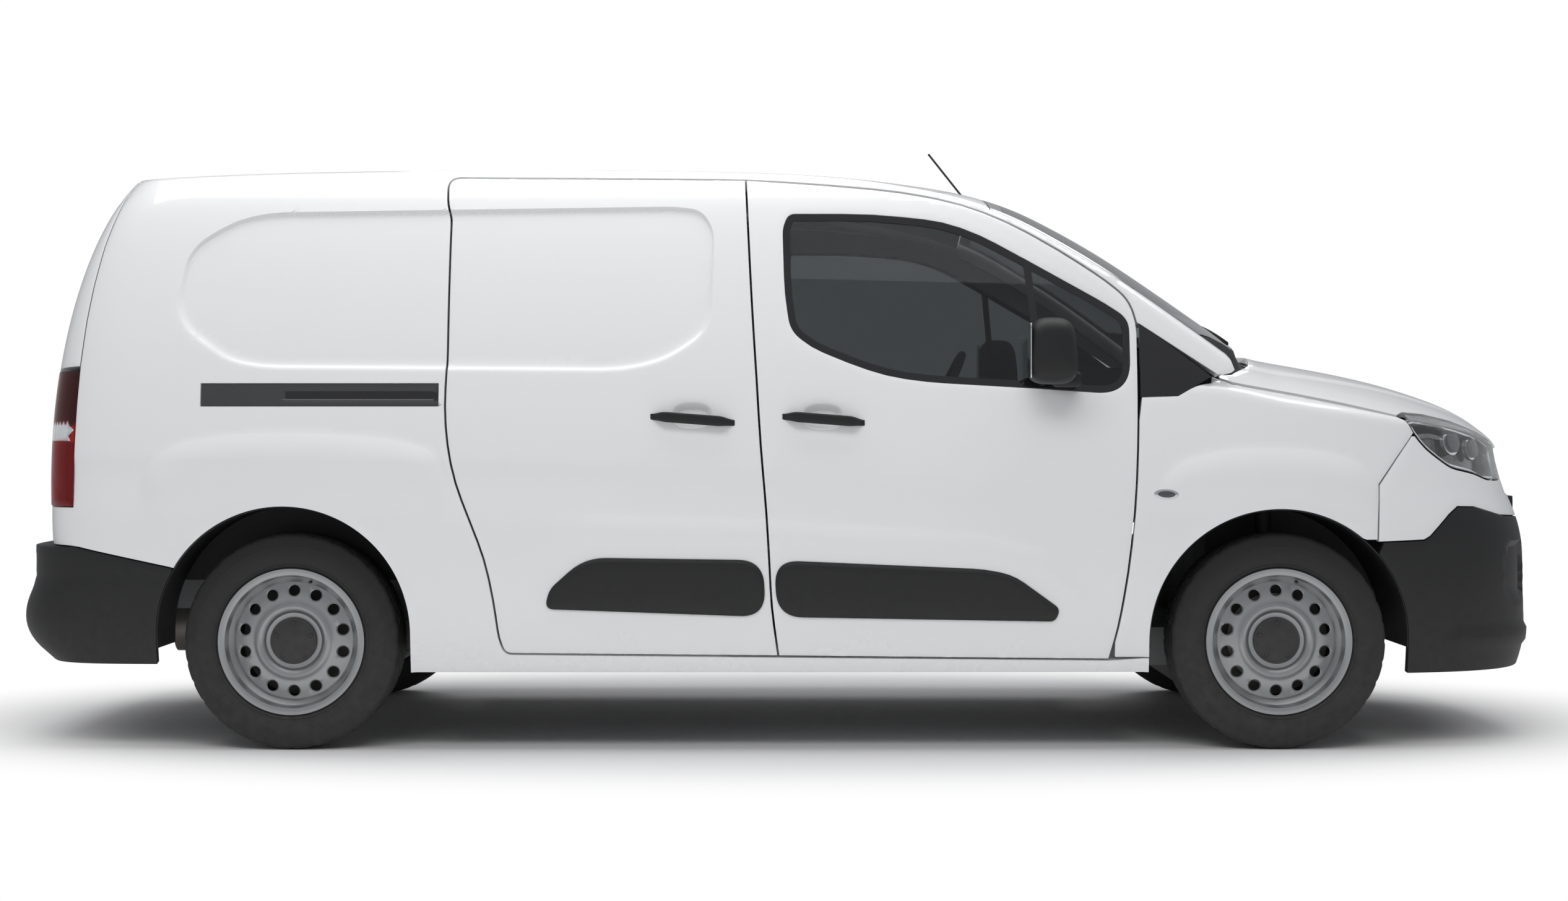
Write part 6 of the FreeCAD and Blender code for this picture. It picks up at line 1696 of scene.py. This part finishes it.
def rounded_block(low, high, radius, n=14):
    """A box with softly rounded edges, between two corners."""
    low, high = np.array(low, float), np.array(high, float)
    centre, half = (low + high) / 2, (high - low) / 2
    rows = []
    for t in np.linspace(-math.pi / 2, math.pi / 2, n + 4):
        ring = []
        for c, s in round_turn(4 * n):
            d = np.array([math.cos(t) * c, math.cos(t) * s, math.sin(t)])
            cube = d / max(np.max(np.abs(d)), 1e-9)
            p = cube * half
            core = np.clip(p, -(half - radius), half - radius)
            away = p - core
            length = np.linalg.norm(away)
            ring.append(centre + core + (away / length * radius if length > 1e-9 else 0))
        rows.append(np.array(ring))
    points, faces = capped(rows)
    return points, facing_out(points, faces)


pair("mirror_glass", *rounded_block((MIRROR_X - 70.5, -1040, 1118), (MIRROR_X - 65.0, -938, 1280), 2.4),
     "mirror_silver", "right_front_door", "gloss_trim", "left_front_door")
pair("mirror_arm", *rounded_block((MIRROR_X + 6, -965, 1092), (MIRROR_X + 92, -872, 1140), 16), "moulding",
     "right_front_door", "dark_trim", "left_front_door")
lamp_module("dipped_beam", 0.42, 0.50, 30.0)
lamp_module("main_beam", 0.66, 0.42, 27.0)


def lathe(profile, centre, steps=160, groove=None):
    """Closed ring turned about a level axle, from (radius, outward) points; outward is away from the van."""
    profile = np.asarray(profile, float)
    rows = []
    for k, (c, s) in enumerate(round_turn(steps)):
        r = profile[:, 0] - (groove(k, profile) if groove else 0)
        rows.append(np.stack([centre[0] + r * c, centre[1] - profile[:, 1], centre[2] + r * s], 1))
    m = len(profile)
    faces = []
    for j in range(steps):
        for i in range(m):
            a, b = j * m + i, j * m + (i + 1) % m
            c, d = (j + 1) % steps * m + (i + 1) % m, (j + 1) % steps * m + i
            faces.append((a, b, c, d))
    return np.concatenate(rows), faces


def turned_solid(profile, centre, steps=96):
    """Solid of turning whose first and last points lie on the axle."""
    profile = np.asarray(profile, float)
    inner = profile[1:-1]
    points, faces = [], []
    for c, s in round_turn(steps):
        points += [(centre[0] + r * c, centre[1] - w, centre[2] + r * s) for r, w in inner]
    m = len(inner)
    points += [(centre[0], centre[1] - profile[0][1], centre[2]),
               (centre[0], centre[1] - profile[-1][1], centre[2])]
    for j in range(steps):
        k = (j + 1) % steps
        for i in range(m - 1):
            faces.append((j * m + i, j * m + i + 1, k * m + i + 1, k * m + i))
        faces.append((steps * m, j * m, k * m))
        faces.append((j * m + m - 1, steps * m + 1, k * m + m - 1))
    return np.array(points), faces


def both_sides(name, points, faces, material, rides, slot, replaces=((), ()), smooth=40):
    """Make a closed piece of the right side and its mirror, each with its own body and replaced node."""
    faces = facing_out(points, faces)
    build(name + "_right", points, faces, material, rides[0], slot, replaces[0], smooth=smooth)
    build(name + "_left", points, faces, material, rides[1], slot, replaces[1], smooth=smooth, mirror=True)


def groove(k, profile):
    """Depth of the cross grooves of the tread at one step round the tyre."""
    r, w = profile.T
    block = (np.abs(w) > 55) & (r > 317) & (k % 6 == 0)
    middle = (np.abs(w) < 50) & (r > 320) & (k % 4 == 0) & (np.abs(np.abs(w) - 36) < 12)
    return 2.4 * block + 2.0 * middle


def tyre_profile():
    """Section of a tyre: bead, plain wall, grooved tread and the inside."""
    half = [(208.0, 80.0), (212.0, 88.0), (219.5, 89.3), (222.5, 89.4), (226.0, 93.5), (229.0, 97.2),
            (232.0, 97.4), (234.0, 95.8), (237.0, 96.6), (247.0, 100.4), (258.0, 101.9), (268.0, 102.0),
            (280.0, 99.8), (283.0, 98.6), (285.0, 99.2), (288.0, 97.7), (296.0, 94.6), (304.0, 90.6),
            (311.0, 87.4), (316.5, 84.6), (320.5, 80.8), (323.0, 76.0), (324.4, 68.0), (325.0, 58.0)]
    tread = [(325.0, 57.0), (318.2, 55.5), (318.2, 48.5), (325.6, 47.0), (325.7, 36.0), (325.8, 25.0),
             (318.8, 23.5), (318.8, 15.5), (325.9, 14.0), (326.0, 0.0)]
    outer = half + tread
    other = [(r, -w) for r, w in outer[::-1][1:]]
    inside_line = [(214.0, -74.0), (240.0, -88.0), (266.0, -91.0), (290.0, -84.0), (306.0, -66.0),
                   (311.0, 0.0), (306.0, 66.0), (290.0, 84.0), (266.0, 91.0), (240.0, 88.0), (214.0, 74.0)]
    return outer + other + inside_line


def disc_face(r):
    """How far the pressed disc stands out at a radius."""
    base = 51.0 - 12.0 * ease((r - 127) / 54)
    ring = 12.0 * ease(1 - np.abs(r - 104) / 21)
    dish = -6.0 * ease((92 - r) / 10)
    return base + ring + dish


def wheel_disc(centre):
    """Pressed disc with its fourteen holes, as a curved sheet."""
    ring = np.array(arc((0, 0), 181.0, 0, 360, 181)[:-1])
    turns = [math.pi / 2 + 2 * math.pi * k / WHEEL_HOLES for k in range(WHEEL_HOLES)]
    places = [(HOLE_CIRCLE * math.cos(t), HOLE_CIRCLE * math.sin(t)) for t in turns]
    holes = [np.array(arc(place, HOLE_RADIUS, 0, 360, 29)[:-1]) for place in places]
    holes.append(np.array(arc((0, 0), 31.0, 0, 360, 61)[:-1]))
    rows = [(np.array(arc((0, 0), r, 0, 360, max(40, int(r * 1.2)))[:-1]), 3.0)
            for r in (62, 72, 80, 84, 88, 93, 98, 104, 110, 115, 120, 126, 130, 172)]
    rows += [(np.array(arc(place, HOLE_RADIUS + 3.5, 0, 360, 25)[:-1]), 3.0) for place in places]
    q, tris = triangulated(ring, holes, 12.0, rows)
    r = np.hypot(*q.T)
    lip = np.zeros(len(q))
    for hole in holes[:WHEEL_HOLES]:
        d = np.hypot(*(q - hole.mean(0)).T)
        lip = np.maximum(lip, ease((20.5 - d) / 4.5))
    out = disc_face(r) - 3.0 * lip
    points = np.stack([centre[0] + q[:, 0], np.full(len(q), centre[1]) - out, centre[2] + q[:, 1]], 1)
    n = vertex_normals(points, tris)
    if n[len(n) // 2, 1] > 0:
        tris, n = tris[:, ::-1], -n
    return walled(points, n, tris, 5.0, 0.8)


def rim_profile():
    """Section of a wheel's rim."""
    return [(220.0, 95.0), (220.3, 92.0), (218.5, 90.2), (214.5, 90.6), (209.5, 92.0), (205.0, 88.5),
            (203.2, 82.0), (203.0, 62.0), (199.0, 57.0), (187.0, 49.0), (184.2, 44.0), (184.0, -20.0),
            (190.0, -27.0), (202.6, -36.0), (203.0, -88.0), (207.0, -89.5), (220.0, -89.5), (220.3, -95.0),
            (205.0, -95.0), (198.5, -90.0), (197.0, -40.0), (186.0, -30.0), (179.5, -22.0), (178.2, -18.0),
            (178.2, 44.0), (181.0, 51.0), (193.0, 59.5), (197.2, 66.0), (197.5, 84.0), (200.5, 92.0),
            (206.0, 95.0), (214.0, 94.8)]


def cap_points(centre):
    """Turned cap over the hub."""
    profile = [(0, 60.5), (20, 60.4), (38, 59.8), (44, 58.4), (50, 57.8), (58, 57.4), (63, 56.0),
               (66.5, 57.6), (69.5, 57.0), (70.6, 54.0), (70.6, 46.0), (64, 44.6), (0, 44.4)]
    return turned_solid(profile, centre)


def bolt_ring(centre, radius, count, size, w0, w1):
    """Ring of low domed bolt heads."""
    parts = []
    for k in range(count):
        t = math.pi / 2 + 2 * math.pi * k / count
        middle = (centre[0] + radius * math.cos(t), centre[1], centre[2] + radius * math.sin(t))
        parts.append(turned_solid([(0, w1), (size * 0.5, w1), (size * 0.85, w1 - 1.2), (size, w1 - 3),
                                   (size, w0), (0, w0)], middle, 18))
    return joined(parts)


for end, x, y in (("front", FRONT_AXLE, -776.5), ("rear", REAR_AXLE, -784.0)):
    centre = (x, y, TYRE_RADIUS)
    rides = ("%s_right_wheel" % end, "%s_left_wheel" % end)
    points, faces = lathe(tyre_profile(), centre, 192, groove)
    both_sides("tyre_" + end, points, faces, "rubber", rides, "tyre",
               (("tyre_%s_right" % end,), ("tyre_%s_left" % end,)), 34)
    points, faces = lathe(rim_profile(), centre, 144)
    both_sides("rim_" + end, points, faces, "wheel_silver", rides, "wheel_steel",
               (("wheel_%s_right" % end,), ("wheel_%s_left" % end,)))
    both_sides("disc_" + end, *wheel_disc(centre), "wheel_silver", rides, "wheel_steel")
    both_sides("hub_cap_" + end, *cap_points(centre), "cap_grey", rides, "dark_trim")
    both_sides("cap_bolts_" + end, *bolt_ring(centre, 54.0, 5, 7.5, 55.0, 60.2), "cap_grey", rides,
               "dark_trim")
    valve = turned_solid([(0, 93), (3.4, 92.5), (3.4, 84), (4.6, 83), (4.6, 66), (0, 66)],
                         (x + 188.0 * math.sin(0.3), y, TYRE_RADIUS + 188.0 * math.cos(0.3)), 16)
    both_sides("valve_" + end, *valve, "rubber", rides, "dark_trim")
    shield = [(60, -24), (150, -24), (168, -20), (174, -30), (189, -42), (191, -46), (186, -46), (171, -34),
              (152, -27), (60, -27)]
    shield = [(r, w - (8 if end == "rear" else 0)) for r, w in shield]
    shields = ("right_knuckle", "left_knuckle") if end == "front" else ("van_body", "van_body")
    both_sides("brake_shield_" + end, *lathe(shield, centre, 72), "chassis", shields, "chassis_steel")
    brake = [(140, -6), (140, -16), (136, -17), (68, -17), (60, -12), (33, -12), (33, -4), (58, -4), (64, -6)]
    if end == "front":
        points, faces = lathe(brake, centre, 96)
        both_sides("brake_disc", points, faces, "bare_steel", rides, "chassis_steel")
    else:
        drum = [(33, 1), (60, 1), (64, -2), (108, -2), (115, -6), (115, -20), (118, -22), (118, -27),
                (112, -29), (33, -29)]
        points, faces = lathe(drum, centre, 96)
        both_sides("brake_drum", points, faces, "engine_cast", rides, "chassis_steel")


def cube_grid(n):
    """Points and quads of a cube from -1 to 1 with n squares along each edge."""
    index, points, faces = {}, [], []

    def at(*key):
        if key not in index:
            index[key] = len(points)
            points.append([2 * k / n - 1 for k in key])
        return index[key]

    for axis in range(3):
        for side in (0, n):
            for i in range(n):
                for j in range(n):
                    quad = []
                    for a, b in ((0, 0), (1, 0), (1, 1), (0, 1)):
                        key = [0, 0, 0]
                        key[axis] = side
                        key[(axis + 1) % 3], key[(axis + 2) % 3] = i + a, j + b
                        quad.append(at(*key))
                    faces.append(tuple(quad if side else reversed(quad)))
    return np.array(points), faces


GRID = {n: cube_grid(n) for n in (8, 20)}


def soft_block(low, high, radius, n=20, shape=None):
    """Rounded block between two corners; shape moves its points, which it gets with their -1 to 1 places."""
    unit, faces = GRID[n]
    low, high = np.array(low, float), np.array(high, float)
    centre, half = (low + high) / 2, (high - low) / 2
    p = np.sign(unit) * np.abs(unit) ** 0.8 * half
    core = np.clip(p, -(half - radius), half - radius)
    away = p - core
    length = np.linalg.norm(away, axis=1)
    scale = np.where(length > 1e-9, radius / np.maximum(length, 1e-9), 0)
    points = core + away * scale[:, None]
    if shape is not None:
        points = shape(points, points / half)
    return points + centre, faces


def cushion_shape(rise, bolster, seams):
    """Crowned top of a cushion with side bolsters and sewn grooves, for soft_block."""
    def shape(points, u):
        x, y, z = u.T
        top = ease((z + 0.2) / 0.8)
        crown = rise * (1 - np.clip(x, -1, 1) ** 2)
        side = bolster * ease((np.abs(y) - 0.52) / 0.3) * (1 - 0.6 * np.clip(x, 0, 1) ** 2)
        groove = 5.0 * ease(1 - np.abs(np.abs(y) - 0.55) / 0.06)
        groove = groove + sum(3.5 * ease(1 - np.abs(x - at) / 0.09) * (np.abs(y) < 0.55) for at in seams)
        moved = points.copy()
        moved[:, 2] += top * (crown + side - groove - bolster)
        return moved
    return shape


def turned_about(points, pivot, angle):
    """Turn points about a level cross axis through a pivot (x, z)."""
    c, s = math.cos(angle), math.sin(angle)
    x, z = points[:, 0] - pivot[0], points[:, 2] - pivot[1]
    return np.stack([pivot[0] + x * c + z * s, points[:, 1], pivot[1] - x * s + z * c], 1)


def stood_up(made, place, pivot, lean):
    """A cushion made lying down, stood up at a place and leant back about a pivot."""
    return turned_about(made[0][:, ::-1] + place, pivot, -lean), made[1]


def seats():
    """Two seats, each a moulded base and padded cushion, back and head rest on two posts."""
    front = station(0.662)
    rear = front - 480.0
    foot, lean = rear + 27.5, math.atan2(110.0, 620.0)
    head = foot + 15.0 - math.tan(lean) * 790.0
    for side, y in (("right", -360.0), ("left", 360.0)):
        solid("seat_base_" + side, soft_block((rear + 96, y - 185, 346), (front - 96, y + 185, 566), 26, 8),
              "cab_moulding", "van_body", "cab_plastic", ("seats",) if side == "right" else (), 50)
        cushion = soft_block((rear, y - 250, 562), (front, y + 250, 688), 46, 20,
                             cushion_shape(10.0, 12.0, (-0.3, 0.15, 0.55)))
        back = stood_up(soft_block((-310, y - 246, -54), (310, y + 246, 52), 44, 20,
                                     cushion_shape(9.0, 16.0, (-0.35, 0.05, 0.45))),
                          [foot + 55.0, 0, 996.0], (foot + 55.0, 690.0), lean)
        rest = stood_up(soft_block((-85, y - 132, -38), (85, y + 132, 38), 34, 20,
                                   cushion_shape(6.0, 4.0, ())),
                          [head + 46.0, 0, 1429.0], (head + 46.0, 1429.0), lean)
        soft = [(solid(name + side, made, "seat_cloth", "van_body", "seat_fabric", smooth=70), fill)
                for name, made, fill in (("seat_cushion_", cushion, 0.85), ("seat_back_", back, 0.85),
                                         ("headrest_", rest, 0.9))]
        posts = []
        for across in (-66.0, 66.0):
            start = np.array([head + 60.0, y + across, 1300.0])
            posts.append(tube([start + [12, 0, -40], start + [-6, 0, 60], start + [-22, 0, 120]], 6.5))
        solid("headrest_posts_" + side, joined(posts), "bare_steel", "van_body", "cab_plastic")


def tube(line, radius, sides=14, steps=10):
    """Round bar along a line of points, with closed ends."""
    line = np.asarray(line, float)
    length = np.concatenate([[0], np.cumsum(np.linalg.norm(np.diff(line, axis=0), axis=1))])
    t = np.linspace(0, length[-1], steps * (len(line) - 1) + 1)
    path = np.stack([np.interp(t, length, line[:, k]) for k in range(3)], 1)
    for _ in range(3):
        path[1:-1] = (path[:-2] + 2 * path[1:-1] + path[2:]) / 4
    along_path = np.gradient(path, axis=0)
    along_path /= np.linalg.norm(along_path, axis=1)[:, None]
    rows = []
    reference = np.array([0.0, 1.0, 0.0]) if abs(along_path[0, 1]) < 0.8 else np.array([0.0, 0.0, 1.0])
    for p, d in zip(path, along_path):
        u = np.cross(d, reference)
        u /= np.linalg.norm(u)
        v = np.cross(d, u)
        rows.append([p + radius * (u * math.cos(a) + v * math.sin(a))
                     for a in np.linspace(0, 2 * math.pi, sides, endpoint=False)])
    points, faces = capped([np.array(row) for row in rows])
    return points, facing_out(points, faces)


seats()


DRIVER_Y, COLUMN_TILT = 380.0, math.radians(25.0)
GRIP_CENTRE = np.array([station(0.682), DRIVER_Y, 1060.0])
COLUMN = np.array([-math.cos(COLUMN_TILT), 0, math.sin(COLUMN_TILT)])


def steering_wheel():
    """Grip with a flatter foot, a padded hub and three spokes, about the tilted column."""
    centre, away = GRIP_CENTRE, COLUMN
    up = np.array([math.sin(COLUMN_TILT), 0, math.cos(COLUMN_TILT)])
    side = np.array([0.0, 1.0, 0.0])
    rows = []
    for k in range(96):
        a = 2 * math.pi * k / 96
        out = side * math.cos(a) + up * math.sin(a)
        r = 184.0 - 5.0 * max(0.0, -math.sin(a)) ** 8
        grip = min(14.0, 13.4 + 1.2 * math.exp(-((abs(math.sin(a)) - 0.35) / 0.14) ** 2))
        ring = [centre + out * (r + (grip - 0.4) * math.cos(b)) + away * grip * math.sin(b)
                for b in np.linspace(0, 2 * math.pi, 18, endpoint=False)]
        rows.append(np.array(ring))
    points, faces = strip(rows + [rows[0]], closed=True)
    m = 96 * 18
    faces = [tuple(i % m for i in f) for f in faces]
    points = points[:m]
    solid("steering_grip", (points, faces), "cab_moulding", "steering", "cab_plastic", ("steering_wheel",),
          60)
    points, faces = soft_block((-60, -56, -20), (60, 56, 20), 18, 8)
    hub = centre + points[:, :1] * side + points[:, 1:2] * up + points[:, 2:3] * away
    solid("steering_pad", (hub, faces), "cab_moulding", "steering", "cab_plastic", smooth=60)
    spokes = []
    for a in (math.radians(8), math.radians(172), math.radians(270)):
        out = side * math.cos(a) + up * math.sin(a)
        spokes.append(tube([centre + out * 45 - away * 4, centre + out * 110 - away * 8, centre + out * 180],
                           10.0))
    solid("steering_spokes", joined(spokes), "gloss_black", "steering", "cab_plastic", smooth=60)


steering_wheel()
DASH = [(0.760, 0.560), (0.772, 0.625), (0.800, 0.640), (0.905, 0.632), (0.930, 0.600), (0.930, 0.460),
        (0.830, 0.430), (0.790, 0.470)]


def dashboard():
    """Moulded dashboard with a hood over the dials, vents, a screen and a glove box."""
    line = resample(rounded(side_points(DASH)), 16)
    middle = line.mean(0)
    ys = np.linspace(-728, 728, 150)
    rows = []
    for y in ys:
        p = np.stack([line[:, 0], np.full(len(line), y), line[:, 1]], 1)
        rear = ease((middle[0] - 40 - p[:, 0]) / 60)
        high = ease((p[:, 2] - 1080) / 50)
        dials = ease(1 - abs(y - DRIVER_Y) / 190)
        stack = ease((170 - abs(y)) / 30)
        p[:, 0] += rear * (26 - 26 * dials * high - 24 * stack)
        seam = ease(1 - abs(y + DRIVER_Y + 190) / 5) + ease(1 - abs(y + DRIVER_Y - 190) / 5)
        p[:, 0] += rear * (p[:, 2] < 1060) * (p[:, 2] > 880) * 5 * min(seam, 1)
        rows.append(p)
    solid("dash_moulding", capped(rows), "cab_moulding", "van_body", "cab_plastic", ("dashboard",), 45)
    face_x = line[:, 0].min() + 2
    vents = [soft_block((face_x - 3, y - 62, 1050), (face_x + 22, y + 62, 1098), 8, 8)
             for y in (-600, -92, 92, 640)]
    solid("dash_vents", joined(vents), "gloss_black", "van_body", "cab_plastic")
    solid("dash_screen", soft_block((face_x - 6, -128, 905), (face_x + 20, 128, 1035), 6, 8), "black_border",
          "van_body", "cab_plastic")
    centre, away = GRIP_CENTRE, COLUMN
    solid("steering_column", tube([centre - away * reach for reach in (24, 150, 330)], 23.0, 20),
          "cab_moulding", "van_body", "cab_plastic")
    stalks = [tube([centre - away * 70 + [0, s * 20, 0], centre - away * 66 + [0, s * 90, 12],
                    centre - away * 62 + [0, s * 145, 22]], 6.0) for s in (-1, 1)]
    solid("column_stalks", joined(stalks), "cab_moulding", "van_body", "cab_plastic", smooth=60)


dashboard()


def door_trim():
    """Moulded lining on the inside of a front door, below the glass, with an arm rest."""
    ring = side_points([(0.500, 0.20), (0.495, 0.42), (0.500, 0.548), (0.600, 0.530), (0.640, 0.517),
                        (0.790, 0.510),
                        (0.812, 0.44), (0.800, 0.22)])
    ring = resample(rounded(ring), 16)

    def relief(points):
        x, z = points[:, 0], points[:, 2]
        rest = ease(1 - np.abs(z - 760) / 46) * ease((x + 60) / 80) * ease((520 - x) / 80)
        pocket = ease(1 - np.abs(z - 520) / 90) * ease((x + 20) / 80) * ease((560 - x) / 80)
        return -14.0 * rest - 6.0 * pocket

    q, tris = triangulated(to_run(ring), spacing=24.0)
    n = off_body(q)
    points = on_body(q) - n * 51.5
    points = points + n * np.minimum(relief(points), 0)[:, None]
    verts, faces = walled(points, n, tris, 10.0, 0.3)
    build("door_trim_right", verts, faces, "cab_moulding", "right_front_door", "cab_plastic")
    build("door_trim_left", verts, faces, "cab_moulding", "left_front_door", "cab_plastic", mirror=True)


door_trim()


def lamp_spot(name, x, z, wide, tall, material, rim_material, proud):
    """Small oval lamp or cap on the side of the van, with its rim."""
    centre = to_run([(x, z)])[0]
    ring = np.array([(centre[0] + wide * math.cos(t), centre[1] + tall * math.sin(t))
                     for t in np.linspace(0, 2 * math.pi, 48, endpoint=False)])
    for part, scale, look, rise, slot in (("rim", 1.25, rim_material, proud * 0.6, "dark_trim"),
                                          ("lens", 1.0, material, proud, "lamp_clear")):
        outline = centre + (ring - centre) * scale
        q, tris = triangulated(outline, spacing=6.0)
        d = np.hypot((q[:, 0] - centre[0]) / (wide * scale), (q[:, 1] - centre[1]) / (tall * scale))
        n = off_body(q)
        points = on_body(q) + n * (rise * np.sqrt(np.clip(1.02 - d ** 2, 0, 1)))[:, None]
        points += n * (side_relief(points)[:, None] + 0.6)
        verts, faces = walled(points, n, tris, 6.0, 0.3)
        for side in ("right", "left"):
            build("_".join((name, part, side)), verts, faces, look, "van_body", slot, mirror=side == "left")


lamp_spot("repeater", 1139.0, 771.0, 29.0, 12.0, "lens_dark", "lamp_silver", 5.0)


def plate(name, x, z0, z1, half, facing):
    """Blank plate on its holder."""
    for piece, deep, proud, grow, radius, look in (("", 0.0, 3.0, 0, 1.3, "plate_white"),
                                                   ("_holder", 14.0, 1.0, 8, 3.0, "moulding")):
        back, front = sorted((x - facing * deep, x + facing * proud))
        block = soft_block((back, -half - grow, z0 - grow), (front, half + grow, z1 + grow), radius, 8)
        solid(name + piece, block, look, "van_body", "dark_trim")


tail_x = float(tail_bumper.at(np.array([0.0]), np.array([490.0]))[0, 0])
nose_x = float(body.at(np.array([body.end]), np.array([600.0]))[0, 0])
plate("rear_plate", tail_x + 2.0, 436.0, 548.0, 260.0, -1)
plate("front_plate", nose_x - 1.0, 632.0, 742.0, 260.0, 1)


def tail_fittings():
    """Handle of the right rear door and the brake lamp above the doors."""
    def tail(half, z):
        return float(body.at(body.run_of(np.array([half]), np.array([z]), axis=1, high=1000.0),
                             np.array([z]))[0, 0])

    x = tail(90, 840.0)
    solid("rear_handle", soft_block((x - 16, -150, 822), (x + 8, -30, 866), 8, 8), "moulding",
          "right_rear_door", "dark_trim", smooth=60)
    x = tail(0, 1765.0)
    solid("high_brake_lamp", soft_block((x - 5, -120, 1762), (x + 10, 120, 1779), 4, 8), "lens_red",
          "van_body", "lamp_red", smooth=60)


tail_fittings()

SLOT_FINISH = {
    "paint": "paint", "dark_trim": "moulding", "gloss_trim": "gloss_black", "glass": "glass",
    "lamp_clear": "lens_clear",
    "lamp_red": "lens_red", "wheel_steel": "wheel_silver", "tyre": "rubber", "chassis_steel": "chassis",
    "exhaust_steel": "bare_steel", "engine": "engine_cast", "cab_plastic": "cab_moulding",
    "seat_fabric": "seat_cloth",
    "floor_paint": "floor_coat",
}
node_slots = {row["node"]: row["material_slot"] for row in frame["record"]["subparts"]}
for part, piece in frame["nodes"].items():
    piece.data.materials.clear()
    piece.data.materials.append(materials[SLOT_FINISH[node_slots[part]]])


def seen_rays(tree):
    """One for camera and see-through rays, nought for light on its way round the scene."""
    path = node(tree, "LightPath")
    seen = node(tree, "Math", operation="MAXIMUM")
    wire(tree, (path, "Is Camera Ray", seen, 0), (path, "Is Transmission Ray", seen, 1))
    return seen.outputs[0]


LIGHTS = [
    ("overhead", (0.0, -0.4, 5.2), (0.0, -0.2, 0.0), (7.5, 3.4), 190.0, True),
    ("side", (-1.0, -6.0, 6.2), (0.0, 0.0, 0.8), (6.5, 2.2), 188.0, False),
    ("back", (0.5, 7.0, 5.0), (0.0, 0.0, 0.8), (6.0, 2.2), 110.0, True),
]


def studio():
    """Pale floor and backdrop, broad light overhead, a side light that only fills, one behind; the camera."""
    scene = bpy.context.scene
    scene.world = bpy.data.worlds.new("studio")
    scene.world.use_nodes = True
    tree = scene.world.node_tree
    back = tree.nodes["Background"]
    tint = node(tree, "Mix", [(6, (0.36, 0.365, 0.38, 1)), (7, (1, 1, 1, 1))], data_type="RGBA")
    tree.links.new(seen_rays(tree), tint.inputs["Factor"])
    tree.links.new(tint.outputs[2], back.inputs["Color"])
    back.inputs["Strength"].default_value = 1.0

    for name, place, target, size, power, mirrored in LIGHTS:
        lamp = bpy.data.lights.new(name, "AREA")
        lamp.shape, lamp.energy = "RECTANGLE", power
        lamp.size, lamp.size_y = size
        made = placed(name, lamp)
        made.location = place
        made.visible_glossy = mirrored
        made.rotation_euler = (Vector(target) - Vector(place)).to_track_quat("-Z", "Y").to_euler()

    mesh = bpy.data.meshes.new("floor")
    far = 60.0
    mesh.from_pydata([(-far, -far, 0), (far, -far, 0), (far, far, 0), (-far, far, 0)], [], [(0, 1, 2, 3)])
    floor = placed("floor", mesh)
    material = bpy.data.materials.new("pale_floor")
    material.use_nodes = True
    tree = material.node_tree
    shade = tree.nodes["Principled BSDF"]
    shade.inputs["Base Color"].default_value = (0.82, 0.82, 0.82, 1)
    shade.inputs["Roughness"].default_value = 0.75
    glow, mix, place = (node(tree, kind) for kind in ("Emission", "MixShader", "TexCoord"))
    shape = node(tree, "Mapping", [("Scale", (0.30, 0.52, 1))])
    length = node(tree, "VectorMath", operation="LENGTH")
    fade = node(tree, "MapRange", [("From Min", 0.62), ("From Max", 1.0)], interpolation_type="SMOOTHSTEP")
    only = node(tree, "Math", operation="MULTIPLY")
    wire(tree, (place, "Object", shape, "Vector"), (shape, 0, length, 0), (length, "Value", fade, "Value"),
         (fade, 0, only, 0), (only, 0, mix, 0), (shade, 0, mix, 1), (glow, 0, mix, 2),
         (mix, 0, tree.nodes["Material Output"], "Surface"))
    tree.links.new(seen_rays(tree), only.inputs[1])
    mesh.materials.append(material)

    camera = bpy.data.cameras.new("camera")
    camera.lens, camera.sensor_width = 57.4, 36.0
    camera.shift_x, camera.shift_y = -0.0015, -0.015
    made = placed("camera", camera)
    made.location = (0.0, -8.40, 0.973)
    made.rotation_euler = (math.radians(90), 0, 0)
    camera.clip_end = 300
    scene.camera = made
    scene.view_settings.view_transform = "Standard"


studio()
